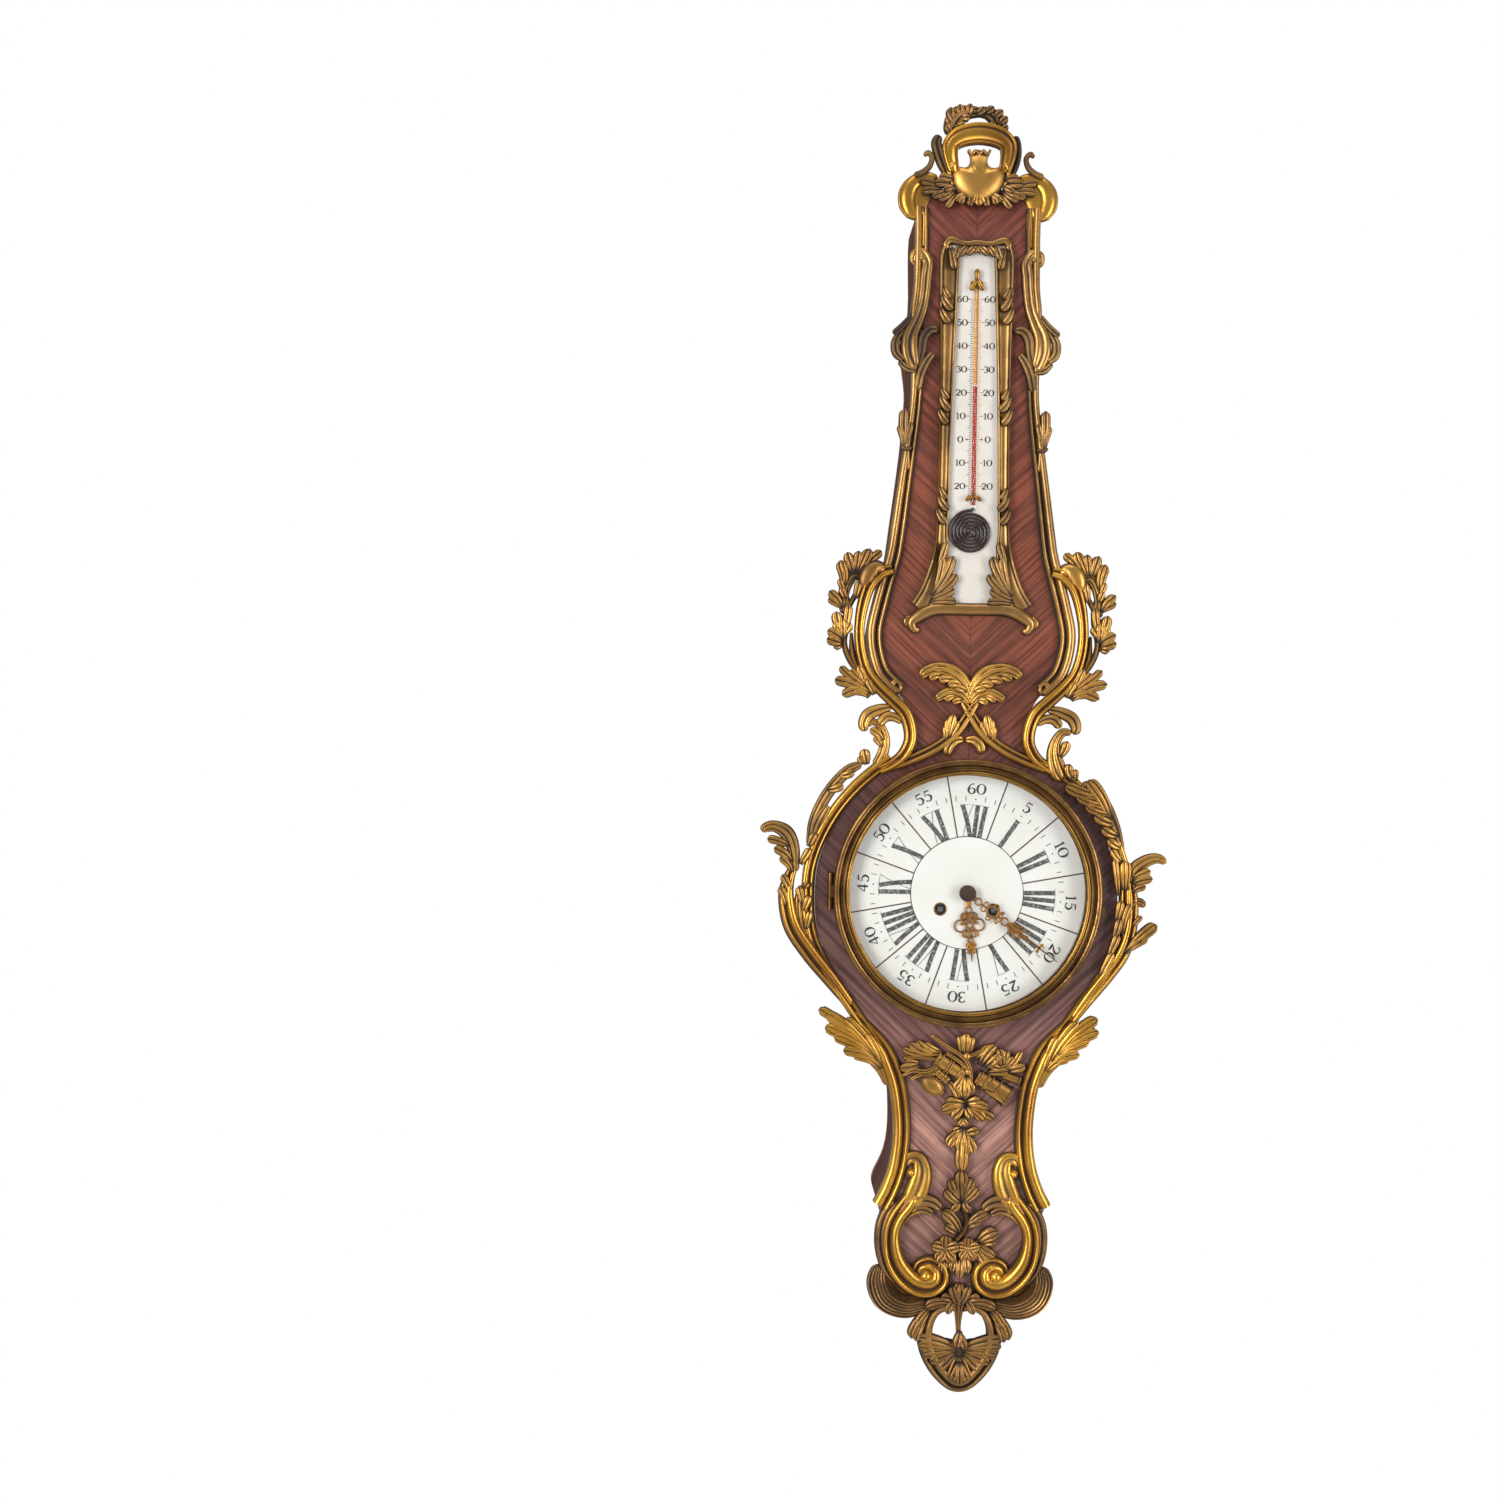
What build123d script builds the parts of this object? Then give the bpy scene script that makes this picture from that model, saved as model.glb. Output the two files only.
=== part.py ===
"""Wall clock with a thermometer above its dial, in a veneered case with gilt mounts.

Millimetres. The front looks along -Y, the wall is the plane y = 0 and +Z is up.
The origin is the hole that the clock hangs by. "Height" or "level" below is the
distance from the wall, and tables of shares are thousandths of the overall height,
measured from the dial's centre: across to the right and up.
"""
from math import asin, atan2, cos, degrees, hypot, pi, radians, sin, sqrt
import os

from build123d import *

os.makedirs("parts", exist_ok=True)

# Overall
overall_height = 1200.0
overall_height_share = 1000.0
mil = overall_height / overall_height_share
hang_height_share = 556.0
dial_z = -hang_height_share * mil
overrun = 1.0
run_gap = 0.05
clear_gap = 0.4

# Case: back board, ring of side walls and front panel
board_thick = 8.0
case_depth = 78.0
wall_thick = 10.0
panel_thick = 12.0
panel_level = case_depth + panel_thick
panel_bore = 80.0

# Hanging plate and the screws of the back
hanger_thick = 3.0
hanger_half_width = 17.0
hanger_above = 11.0
hanger_below = 62.0
hang_bore = 4.0
screw_radius = 1.6
screw_head_radius = 3.2
screw_head_thick = 2.0
back_screw_length = 22.0
hanger_screw_x = 10.0
hanger_screw_rows = (-26.0, -52.0)

# Gilt mounts: how far each layer stands out, and widths of the bands
moulding_thick = 7.0
leaf_thick = 7.0
vein_thick = 2.0
crest_thick = 6.0
moulding_level = panel_level + moulding_thick
leaf_level = moulding_level + leaf_thick
neck_half_width = 6.0
dial_band_half_width = 4.8
foot_half_width = 7.4
stem_half_width = 3.8
stem_foot_half_width = 2.8
scroll_half_width = 4.4
scroll_end_half_width = 2.2
vein_share = 0.28
vein_end_share = 0.09
vein_stop_shares = (0.08, 0.3, 0.55, 0.85)

# Dial: its opening is the size that the ring, the plaques, the bezel and the hands follow
dial_turn = -4.5
ring_sight_radius = 109.3
ring_width = 14.3
ring_thick = 6.0
ring_outer_radius = ring_sight_radius + ring_width
dial_plate_lap = 2.7
dial_plate_radius = ring_sight_radius + dial_plate_lap
dial_plate_thick = 2.0
enamel_thick = 2.0
centre_plaque_thick = 3.2
centre_plaque_radius = 51.8
plaque_gap = 0.7
plaque_rim_gap = 0.3
plaque_outer_radius = ring_sight_radius - plaque_rim_gap
plaque_joint = 0.8
plaque_inner_radius = centre_plaque_radius + plaque_joint
dial_foot_radius = 2.5
dial_foot_ring = 56.0
dial_feet_degrees = (90, 210, 330)
hour_count = 12
top_degrees = 90

# Bezel, its glass and its hinge
bezel_gap = 0.4
bezel_overhang = 0.6
bezel_outer_radius = ring_outer_radius + bezel_overhang
bezel_thick = 11.5
bezel_bead_radius = 3.0
bezel_cove_radius = 3.2
glass_lap = 4.1
glass_radius = ring_sight_radius + glass_lap
glass_seat = 6.8
glass_thick = 1.5
glass_rise = 10.0
hinge_offset = 2.7
hinge_above_ring = 3.0
knuckle_radius = 2.4
hinge_pin_radius = 1.1
knuckle_length = 11.0
knuckle_gap = 0.4
thumb_tab_radius = 3.4
thumb_tab_thick = 4.0
thumb_tab_drop = 14.0

# Thermometer
frame_thick = 9.0
plate_thick = 2.0
tube_radius = 2.0
bulb_tube_radius = 1.45
bulb_pitch = 3.4
bulb_inner_radius = 1.9
bulb_half_turns = 11
bulb_bend_radius = 2.2
bulb_side_gap = 3.41
clip_width = 11.0
clip_height = 4.5
clip_wall = 1.0

# Movement: plates and pillars
plate_radius = 66.0
plate_sheet = 2.5
back_plate_level = 37.5
plates_apart = 33.5
pillar_radius = 3.0
pillar_ring = 60.0
pillar_degrees = (65, 115, 250, 290)
front_plate_level = back_plate_level + plate_sheet + plates_apart
motion_level = front_plate_level + plate_sheet

# Movement: trains. Teeth are shares of the module or of the pitch.
wheel_tooth_shares = (1.0, 0.95, 0.44, 0.14)
leaf_tooth_shares = (0.55, 1.4, 0.34, 0.16)
winding_x = 24.6
winding_z = -15.3
great_teeth = 96
centre_leaves = 12
centre_teeth = 80
third_leaves = 8
centre_module = 0.5
third_teeth = 96
escape_leaves = 8
third_module = 0.36
escape_teeth = 30
escape_radius = 13.0
third_x = -13.5
motion_teeth = 36
motion_leaves = 12
motion_module = 0.7
hour_teeth = 40
minute_leaves = 10
wheel_thick = 1.5
leaf_length = 4.0
arbor_radius = 1.5
thin_arbor_radius = 0.8
barrel_radius = 21.5
barrel_length = 14.0
winder_radius = 3.2
winder_square = 4.6
winder_tip = 4.0
ratchet_radius = 8.0
ratchet_teeth = 20
barrel_cap = 1.5
arm_count = 5
arm_width = 2.4

# Levels of the wheels, from the wall
third_wheel_level = 42.0
escape_wheel_level = 52.0
going_wheel_level = 58.5
strike_wheel_level = 64.0
centre_wheel_level = 67.5
motion_wheel_level = 78.0
hour_wheel_level = 84.0

# Hands
cannon_pipe_radius = 2.2
hour_pipe_radius = 3.4
hand_thick = 1.2
hour_hand_level = 96.2
minute_hand_level = 99.4
collet_radius = 7.6
collet_thick = 2.2
dial_hole_radius = 5.2

# Pendulum, bell and hammer
pallet_drop = 48.0
pendulum_length = 248.0
rod_radius = 1.3
rod_level = 32.0
hub_radius = 4.0
bob_radius = 24.0
bob_thick = 12.0
nut_radius = 4.0
nut_thick = 4.0
pallet_reach_share = 1.09
pallet_heel_share = 1.12
bell_x = -24.0
bell_up = 18.0
bell_radius = 32.0
bell_depth = 15.0
bell_wall = 1.6
bell_flat_radius = 6.0
bell_middle_degrees = 40
bell_level = 11.0
bell_post_radius = 2.5
hammer_x = 24.0
hammer_up = 43.0
hammer_head_x = 10.6
hammer_head_up = 5.4
hammer_head_radius = 4.0
hammer_arm_width = 3.0
hammer_level = 19.0
hammer_head_length = 6.0


def front(level):
    """Sketch plane that stands off the wall by level and looks to the front."""
    return Plane.XZ.offset(level)


# Outlines keep to the ring round the dial: fully up to the near share, not at all past the far one
ring_outer_share = 103.0
near_share = 135.0
far_share = 265.0
ring_swell = ring_outer_radius / (ring_outer_share * mil)


def at(x, z, side=1):
    """Place in millimetres of shares measured from the dial's centre."""
    pull = min(1, max(0, (far_share - hypot(x, z)) / (far_share - near_share)))
    swollen_mil = mil * (1 + (ring_swell - 1) * pull)
    return (side * x * swollen_mil, dial_z + z * swollen_mil)


def places(shares, side=1):
    return [at(x, z, side) for x, z in shares]


def from_dial(x, z):
    """Place in millimetres of lengths measured from the dial's centre."""
    return (x, dial_z + z)


def rail(points):
    """A smooth line through places, to set other outlines out from."""
    return Edge.make_spline([Vector(x, z) for x, z in points])


def beside(line, share, reach):
    """Place at a share of a line's length and at a reach to its left."""
    spot = line.position_at(share)
    way = line.tangent_at(share)
    return (spot.X - way.Y * reach, spot.Y + way.X * reach)


def strip(points, first_half, last_half, stations=14, belly=0):
    """Face of a band along a line, its half width going from the first to the last."""
    line = rail(points)
    left = []
    right = []
    for i in range(stations + 1):
        share = i / stations
        half = first_half + (last_half - first_half) * share + belly * sin(pi * share)
        left.append(beside(line, share, half))
        right.append(beside(line, share, -half))
    with BuildLine() as rim:
        Spline(*left)
        Line(left[-1], right[-1])
        Spline(*right)
        Line(right[0], left[0])
    return make_face(rim.edges(), mode=Mode.PRIVATE)


def swell(share, base_share=0.5, belly_share=0.35):
    """How wide a leaf is along its rib: from its base to its belly, then to nothing at the tip."""
    if share < belly_share:
        return base_share + (1 - base_share) * share / belly_share
    return sqrt(max(0, 1 - ((share - belly_share) / (1 - belly_share)) ** 2))


def leaf(points, half, lobes, notch_share=0.74, crown_share=0.55):
    """Face of a leaf with lobes: one arc for each lobe up one edge and down the other."""
    rib = rail(points)
    with BuildLine() as rim:
        for hand in (1, -1):
            for i in range(lobes):
                low = i / lobes
                crown = (i + crown_share) / lobes
                high = (i + 1) / lobes
                ThreePointArc(
                    beside(rib, low, hand * half * swell(low) * notch_share),
                    beside(rib, crown, hand * half * swell(crown)),
                    beside(rib, high, hand * half * swell(high) * notch_share),
                )
        base = half * swell(0) * notch_share
        Line(beside(rib, 0, base), beside(rib, 0, -base))
    return make_face(rim.edges(), mode=Mode.PRIVATE)


def vein(points, half):
    """Face of the raised rib of a leaf, short of its ends."""
    rib = rail(points)
    inner = [beside(rib, share, 0) for share in vein_stop_shares]
    return strip(inner, half * vein_share, half * vein_end_share)


def whorl(x, z, first, last, start_angle, turns, steps=14):
    """Shares along a spiral round (x, z), from the first radius to the last."""
    spots = []
    for i in range(steps + 1):
        share = i / steps
        angle = radians(start_angle + 360 * turns * share)
        reach = first + (last - first) * share
        spots.append((x + reach * cos(angle), z + reach * sin(angle)))
    return spots


def gear(teeth, module, tooth_shares, phase):
    """Face of a wheel with plain tapered teeth, one of them centred on the phase angle."""
    add, deep, root, tip = tooth_shares
    pitch_radius = teeth * module / 2
    low = pitch_radius - deep * module
    high = pitch_radius + add * module
    pitch = 360 / teeth
    corners = []
    for i in range(teeth):
        middle = phase + i * pitch
        for reach, turn in ((low, -root), (high, -tip), (high, tip), (low, root)):
            angle = radians(middle + turn * pitch / 2)
            corners.append((reach * cos(angle), reach * sin(angle)))
    with BuildLine() as rim:
        Polyline(*corners, close=True)
    return make_face(rim.edges(), mode=Mode.PRIVATE)


def half_outline(side):
    """The wooden case's edge on one side, as smooth runs between its corners."""
    return [places(run, side) for run in wood_edge_shares]


def wood_half_at(z):
    """Half the width of the case at a height in millimetres, read along its edge."""
    spots = [spot for run in half_outline(1) for spot in run]
    for (x0, z0), (x1, z1) in zip(spots, spots[1:]):
        if z1 <= z <= z0 and z0 > z1:
            return x0 + (x1 - x0) * (z0 - z) / (z0 - z1)
    return spots[-1][0]


# Edge of the wood on the right, from the top to the bottom
shoulder_shares = (30, 545)
wood_edge_shares = [
    [(46.5, 528), (46.5, 490), (46.5, 470), (48.5, 452), (51.5, 437), (51, 420), (48.5, 400),
     (49.5, 380), (51, 360), (55.5, 320), (60.5, 280), (63.5, 260), (69, 240), (74, 220),
     (77.5, 200), (77, 184), (72, 171), (61, 160)],
    [(61, 160), (47, 141), (43, 126), (46, 112), (57, 100)],
    [(57, 100), (72, 92), (88, 78), (100, 60), (108.8, 40), (115.8, 18), (117.3, -4.5),
     (115.8, -26), (110, -45.5), (101, -66), (87.5, -88), (73, -109), (62, -130)],
    [(62, -130), (55, -152), (52.3, -181), (53, -204), (58, -223), (64.5, -238), (62, -250)],
    [(62, -250), (57, -262), (58.5, -278), (54, -292), (44, -304), (30, -312), (14, -321),
     (0, -326)],
]

with BuildLine() as outline:
    for side in (1, -1):
        for run in half_outline(side):
            Spline(*run)
        Line(at(*shoulder_shares, side), half_outline(side)[0][0])
    Line(at(*shoulder_shares, -1), at(*shoulder_shares))
wood_face = make_face(outline.edges(), mode=Mode.PRIVATE)


def wall_inside(side):
    """The side wall's inner edge, set in from the wood's edge, and its lowest place."""
    shoulder = at(*shoulder_shares, side)
    spots = [(shoulder[0], shoulder[1] - wall_thick)]
    for run, stations in zip(wood_edge_shares, wall_stations):
        line = rail(places(run, side))
        for i in range(stations):
            spots.append(beside(line, (i + 0.5) / stations, -side * wall_thick))
    spots.append((0, at(*wood_edge_shares[-1][-1])[1] + wall_thick))
    return spots


wall_stations = (14, 4, 10, 6, 5)
with BuildLine() as inside:
    for side in (1, -1):
        spots = wall_inside(side)
        Line(spots[0], spots[1])
        Spline(*spots[1:])
    Line(wall_inside(1)[0], wall_inside(-1)[0])
inside_face = make_face(inside.edges(), mode=Mode.PRIVATE)

# Screws of the back sit in the middle of the side walls
back_screw_shares = (470, 330, 215, 30, -60, -190, -275)
back_screw_spots = []
for z_share in back_screw_shares:
    z = at(0, z_share)[1]
    for side in (1, -1):
        back_screw_spots.append((side * (wood_half_at(z) - wall_thick / 2), z))
hanger_screw_spots = []
for row in hanger_screw_rows:
    for side in (1, -1):
        hanger_screw_spots.append((side * hanger_screw_x, row))

# Case
with BuildPart() as back_board:
    with BuildSketch(front(0)):
        add(wood_face)
    extrude(amount=board_thick)
    with BuildSketch(front(0)):
        with Locations((0, (hanger_above - hanger_below) / 2)):
            Rectangle(2 * hanger_half_width, hanger_above + hanger_below)
    extrude(amount=hanger_thick, mode=Mode.SUBTRACT)
    with BuildSketch(front(0)):
        with Locations(*back_screw_spots):
            Circle(screw_head_radius)
    extrude(amount=screw_head_thick, mode=Mode.SUBTRACT)
    with BuildSketch(front(0)):
        with Locations(*(back_screw_spots + hanger_screw_spots)):
            Circle(screw_radius)
    extrude(amount=board_thick + overrun, mode=Mode.SUBTRACT)
back_board.part.label = "back_board"
export_step(back_board.part, "parts/back_board.step")

with BuildPart() as case_sides:
    with BuildSketch(front(board_thick)):
        add(wood_face)
        add(inside_face, mode=Mode.SUBTRACT)
    extrude(amount=case_depth - board_thick)
    with BuildSketch(front(board_thick)):
        with Locations(*back_screw_spots):
            Circle(screw_radius)
    extrude(amount=back_screw_length - board_thick, mode=Mode.SUBTRACT)
case_sides.part.label = "case_sides"
export_step(case_sides.part, "parts/case_sides.step")

with BuildPart() as front_panel:
    with BuildSketch(front(case_depth)):
        add(wood_face)
        with Locations(from_dial(0, 0)):
            Circle(panel_bore, mode=Mode.SUBTRACT)
    extrude(amount=panel_thick)
front_panel.part.label = "front_panel"
export_step(front_panel.part, "parts/front_panel.step")

with BuildPart() as hanger_plate:
    with BuildSketch(front(0)):
        with Locations((0, (hanger_above - hanger_below) / 2)):
            Rectangle(2 * hanger_half_width, hanger_above + hanger_below)
        Circle(hang_bore, mode=Mode.SUBTRACT)
        with Locations(*hanger_screw_spots):
            Circle(screw_radius, mode=Mode.SUBTRACT)
    extrude(amount=hanger_thick)
    with BuildSketch(front(0)):
        with Locations(*hanger_screw_spots):
            Circle(screw_head_radius)
    extrude(amount=screw_head_thick, mode=Mode.SUBTRACT)
hanger_plate.part.label = "hanger_plate"
export_step(hanger_plate.part, "parts/hanger_plate.step")


def screw_group(spots, length):
    """Screws with flat heads, let in flush from the back."""
    with BuildPart() as group:
        with BuildSketch(front(0)):
            with Locations(*spots):
                Circle(screw_head_radius)
        extrude(amount=screw_head_thick)
        with BuildSketch(front(screw_head_thick)):
            with Locations(*spots):
                Circle(screw_radius)
        extrude(amount=length - screw_head_thick)
    return group


back_screws = screw_group(back_screw_spots, back_screw_length)
back_screws.part.label = "back_screws"
export_step(back_screws.part, "parts/back_screws.step")

hanger_screws = screw_group(hanger_screw_spots, board_thick)
hanger_screws.part.label = "hanger_screws"
export_step(hanger_screws.part, "parts/hanger_screws.step")

# Crest: leaves on the case's top, an arch with a ribbon over it and a shield in front
crest_leaf_shares = [
    ([(12, 536), (26, 536), (38, 540), (47, 546)], 6.5, 3),
    ([(8, 548), (20, 556), (28, 570), (31, 588)], 6.0, 3),
    ([(18, 556), (28, 560), (36, 562), (43, 556)], 4.0, 2),
]
crest_plate_shares = (0, 552, 40, 36)
with BuildPart() as crest_leaves:
    with BuildSketch(front(panel_level)):
        x, z, wide, tall = crest_plate_shares
        with Locations(at(x, z)):
            Rectangle(wide * mil, tall * mil)
        for side in (1, -1):
            for run, half, lobes in crest_leaf_shares:
                add(leaf(places(run, side), half * mil, lobes))
    extrude(amount=crest_thick)
crest_leaves.part.label = "crest_leaves"
export_step(crest_leaves.part, "parts/crest_leaves.step")

crest_arch_shares = [(20.5, 561), (25.5, 572), (24.5, 581), (14, 587), (0, 588.5), (-14, 587),
                     (-24.5, 581), (-25.5, 572), (-20.5, 561)]
crest_ribbon_shares = [(19, 588), (18.5, 598), (13, 604), (4, 605.5), (-4, 606), (-13, 603),
                       (-18, 597), (-17.5, 588)]
crest_arch_half = 6.0
crest_ribbon_half = 4.6
with BuildPart() as crest_arch:
    with BuildSketch(front(panel_level + crest_thick)):
        add(strip(places(crest_arch_shares), crest_arch_half, crest_arch_half, stations=20))
        add(strip(places(crest_ribbon_shares), crest_ribbon_half, crest_ribbon_half, stations=20))
    extrude(amount=crest_thick)
crest_arch.part.label = "crest_arch"
export_step(crest_arch.part, "parts/crest_arch.step")

shield_runs_shares = [
    [(0, 537.5), (11, 543), (15.5, 549), (15, 556), (7, 559), (6, 566), (7.5, 573), (0, 574)],
]
with BuildPart() as crest_shield:
    with BuildSketch(front(panel_level + crest_thick)):
        with BuildLine():
            for side in (1, -1):
                for run in shield_runs_shares:
                    Spline(*places(run, side))
        make_face()
    extrude(amount=crest_thick + vein_thick)
crest_shield.part.label = "crest_shield"
export_step(crest_shield.part, "parts/crest_shield.step")

# Mounts that come in a left and a right
neck_path_shares = [(42.8, 516), (42.5, 490), (42.5, 470), (44.5, 452), (47.5, 437), (47, 420),
                    (44.5, 400), (45.5, 380), (47, 360), (51.5, 320), (56.5, 280), (59.5, 260),
                    (65, 240), (70, 220), (73.5, 200), (73, 184), (68, 171), (58, 161)]
neck_leaf_shares = [
    ([(45, 452), (53, 440), (61, 428), (66, 410)], 9.0, 4),
    ([(42, 448), (35, 440), (31, 422)], 5.0, 3),
    ([(49, 336), (54, 350), (59.5, 370)], 4.6, 2),
]
neck_volute_shares = (45, 500)
neck_volute_radius = 8.4
scroll_foot_shares = (42.4, 524.5)
scroll_eye_shares = (46, 538)
scroll_reach_shares = (16.0, 3.0)
scroll_start_degrees = -100
scroll_turns = 1.2
scroll_path_shares = whorl(*scroll_eye_shares, *scroll_reach_shares, scroll_start_degrees,
                           scroll_turns)
branch_stem_shares = [(63, 255), (74, 247), (84, 236), (88, 219), (87.5, 202), (83, 182),
                      (74, 165), (61, 152), (49, 139), (45, 127), (46, 117)]
branch_foot_shares = [(56, 147), (49, 139), (45, 127), (46, 117)]
branch_leaf_shares = [
    ([(74, 148), (88, 160), (97, 182), (100, 205), (98, 230), (88, 257)], 12.0, 6),
    ([(88, 214), (98, 222), (105, 232), (113, 231)], 6.5, 3),
]
band_path_shares = [(72, 94), (88, 79.5), (102.5, 61.5), (114.3, 40), (121.5, 18), (123, -4.5),
                    (121.3, -26.5), (115, -46.5), (103.3, -67.3), (88.4, -88.8), (73.8, -109.8),
                    (66, -119)]
dial_leaf_shares = [
    ([(88, -94), (105, -76), (120, -52), (129, -26), (130.5, -2), (126, 24)], 10.0, 6),
    ([(124, 14), (120, 44), (110, 66), (96, 84), (74, 106)], 6.5, 5),
    ([(124, 10), (138, 19), (148, 34), (162, 38)], 9.0, 3),
    ([(128, -30), (138, -20), (148, -10)], 5.0, 2),
]
foot_path_shares = [(61, -127), (55, -139), (49.5, -155), (47.2, -181), (48, -205), (53, -225),
                    (60.5, -241)]
foot_leaf_shares = [
    ([(58, -138), (74, -130), (91, -116), (110, -100)], 10.5, 4),
]
base_eye_shares = [(37, -222), (28, -296)]
base_upper_whorl_shares = (37, -222, 3.0, 9.0)
base_lower_whorl_shares = (27, -296, 9.5, 3.0)
base_path_shares = (
    whorl(*base_upper_whorl_shares, -50, 0.65, steps=8)
    + [(31, -233), (40, -241), (51, -251), (57.5, -264), (57, -279), (50, -293), (39, -302)]
    + whorl(*base_lower_whorl_shares, -95, -0.75, steps=8)
)
base_leaf_shares = [
    ([(59, -250), (63, -266), (60, -290)], 5.0, 3),
    ([(32, -307), (46, -315), (59, -311), (73, -296)], 9.0, 4),
    ([(40, -240), (30, -241), (19, -246)], 4.0, 2),
]


def add_leaves(table, side):
    for run, half, lobes in table:
        add(leaf(places(run, side), half * mil, lobes))


def add_veins(table, side):
    for run, half, lobes in table:
        add(vein(places(run, side), half * mil))


for side_name, side in (("left", -1), ("right", 1)):
    name = "neck_moulding_" + side_name
    with BuildPart() as neck_moulding:
        with BuildSketch(front(panel_level)):
            add(strip(places(neck_path_shares, side), neck_half_width, neck_half_width, stations=26))
            with Locations(at(*neck_volute_shares, side)):
                Circle(neck_volute_radius)
        extrude(amount=moulding_thick)
        with BuildSketch(front(moulding_level)):
            add_leaves(neck_leaf_shares, side)
        extrude(amount=leaf_thick)
        with BuildSketch(front(leaf_level)):
            add_veins(neck_leaf_shares[:2], side)
        extrude(amount=vein_thick)
    neck_moulding.part.label = name
    export_step(neck_moulding.part, "parts/" + name + ".step")

    name = "shoulder_scroll_" + side_name
    with BuildPart() as shoulder_scroll:
        with BuildSketch(front(panel_level + crest_thick)):
            add(strip(places(scroll_path_shares, side), scroll_half_width,
                      scroll_end_half_width, stations=24))
            with Locations(at(*scroll_eye_shares, side)):
                Circle(scroll_half_width)
        extrude(amount=leaf_thick)
        with BuildSketch(front(panel_level)):
            with Locations(at(*scroll_foot_shares, side)):
                Circle(scroll_half_width)
        extrude(amount=crest_thick)
    shoulder_scroll.part.label = name
    export_step(shoulder_scroll.part, "parts/" + name + ".step")

    name = "side_branch_" + side_name
    with BuildPart() as side_branch:
        with BuildSketch(front(moulding_level)):
            add(strip(places(branch_stem_shares, side), stem_half_width, stem_half_width,
                      stations=22))
            add_leaves(branch_leaf_shares, side)
        extrude(amount=leaf_thick)
        with BuildSketch(front(panel_level)):
            add(strip(places(branch_foot_shares, side), stem_foot_half_width,
                      stem_foot_half_width))
        extrude(amount=moulding_thick)
        with BuildSketch(front(leaf_level)):
            add_veins(branch_leaf_shares, side)
        extrude(amount=vein_thick)
    side_branch.part.label = name
    export_step(side_branch.part, "parts/" + name + ".step")

    name = "dial_band_" + side_name
    with BuildPart() as dial_band:
        with BuildSketch(front(panel_level)):
            add(strip(places(band_path_shares, side), dial_band_half_width, dial_band_half_width,
                      stations=24))
        extrude(amount=moulding_thick)
    dial_band.part.label = name
    export_step(dial_band.part, "parts/" + name + ".step")

    name = "dial_branch_" + side_name
    with BuildPart() as dial_branch:
        with BuildSketch(front(moulding_level)):
            add_leaves(dial_leaf_shares, side)
        extrude(amount=leaf_thick)
        with BuildSketch(front(leaf_level)):
            add_veins(dial_leaf_shares[:3], side)
        extrude(amount=vein_thick)
    dial_branch.part.label = name
    export_step(dial_branch.part, "parts/" + name + ".step")

    name = "foot_moulding_" + side_name
    with BuildPart() as foot_moulding:
        with BuildSketch(front(panel_level)):
            add(strip(places(foot_path_shares, side), foot_half_width, foot_half_width, stations=18))
        extrude(amount=moulding_thick)
        with BuildSketch(front(moulding_level)):
            add_leaves(foot_leaf_shares, side)
        extrude(amount=leaf_thick)
        with BuildSketch(front(leaf_level)):
            add_veins(foot_leaf_shares, side)
        extrude(amount=vein_thick)
    foot_moulding.part.label = name
    export_step(foot_moulding.part, "parts/" + name + ".step")

    name = "base_scroll_" + side_name
    with BuildPart() as base_scroll:
        with BuildSketch(front(panel_level)):
            add(strip(places(base_path_shares, side), scroll_end_half_width,
                      scroll_end_half_width, stations=44, belly=scroll_end_half_width))
            add_leaves(base_leaf_shares, side)
            with Locations(*places(base_eye_shares, side)):
                Circle(scroll_half_width)
        extrude(amount=moulding_thick)
    base_scroll.part.label = name
    export_step(base_scroll.part, "parts/" + name + ".step")

# Crossed leaves at the waist
cross_leaf_shares = [
    ([(0, 138), (5, 154), (14, 168), (27, 176), (42, 169)], 7.0, 4),
    ([(0, 142), (10, 126), (26, 112), (46, 103), (66, 93)], 6.0, 5),
    ([(2, 142), (14, 149.5), (25, 152)], 4.0, 2),
]
cross_tail_shares = ([(0, 140), (0, 124), (0, 106)], 9.0, 4)
cross_pin_share = 140
cross_pin_radius = 8.0
with BuildPart() as crossed_acanthus:
    with BuildSketch(front(panel_level)):
        for side in (1, -1):
            add_leaves(cross_leaf_shares, side)
        run, half, lobes = cross_tail_shares
        add(leaf(places(run), half * mil, lobes))
    extrude(amount=moulding_thick)
    with BuildSketch(front(moulding_level)):
        for side in (1, -1):
            add_veins(cross_leaf_shares[:2], side)
        with Locations(at(0, cross_pin_share)):
            Circle(cross_pin_radius)
    extrude(amount=vein_thick)
crossed_acanthus.part.label = "crossed_acanthus"
export_step(crossed_acanthus.part, "parts/crossed_acanthus.step")

# Trophy, flower drop, flowers and pendant below the dial
trophy_leaf_shares = [
    ([(2, -126), (14, -118), (30, -114), (44, -116)], 6.0, 3),
    ([(4, -138), (18, -146), (30, -152)], 6.0, 3),
    ([(2, -140), (8, -152), (12, -162)], 5.0, 3),
]
trophy_rod_shares = [
    ([(30, -124), (10, -132), (-12, -142), (-28, -150)], 4.2, 6.2),
    ([(-34, -123), (-14, -131), (8, -140), (33, -151)], 3.4, 5.6),
]
trophy_knot_share = -130
trophy_knot_radius = 10.0
with BuildPart() as trophy_mount:
    with BuildSketch(front(panel_level)):
        for side in (1, -1):
            add_leaves(trophy_leaf_shares, side)
        for run, first, last in trophy_rod_shares:
            add(strip(places(run), first * mil, last * mil))
    extrude(amount=moulding_thick)
    with BuildSketch(front(moulding_level)):
        for run, first, last in trophy_rod_shares[:1]:
            add(strip(places(run), first * mil / 2, last * mil / 2))
        with Locations(at(0, trophy_knot_share)):
            Circle(trophy_knot_radius)
    extrude(amount=vein_thick)
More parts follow.
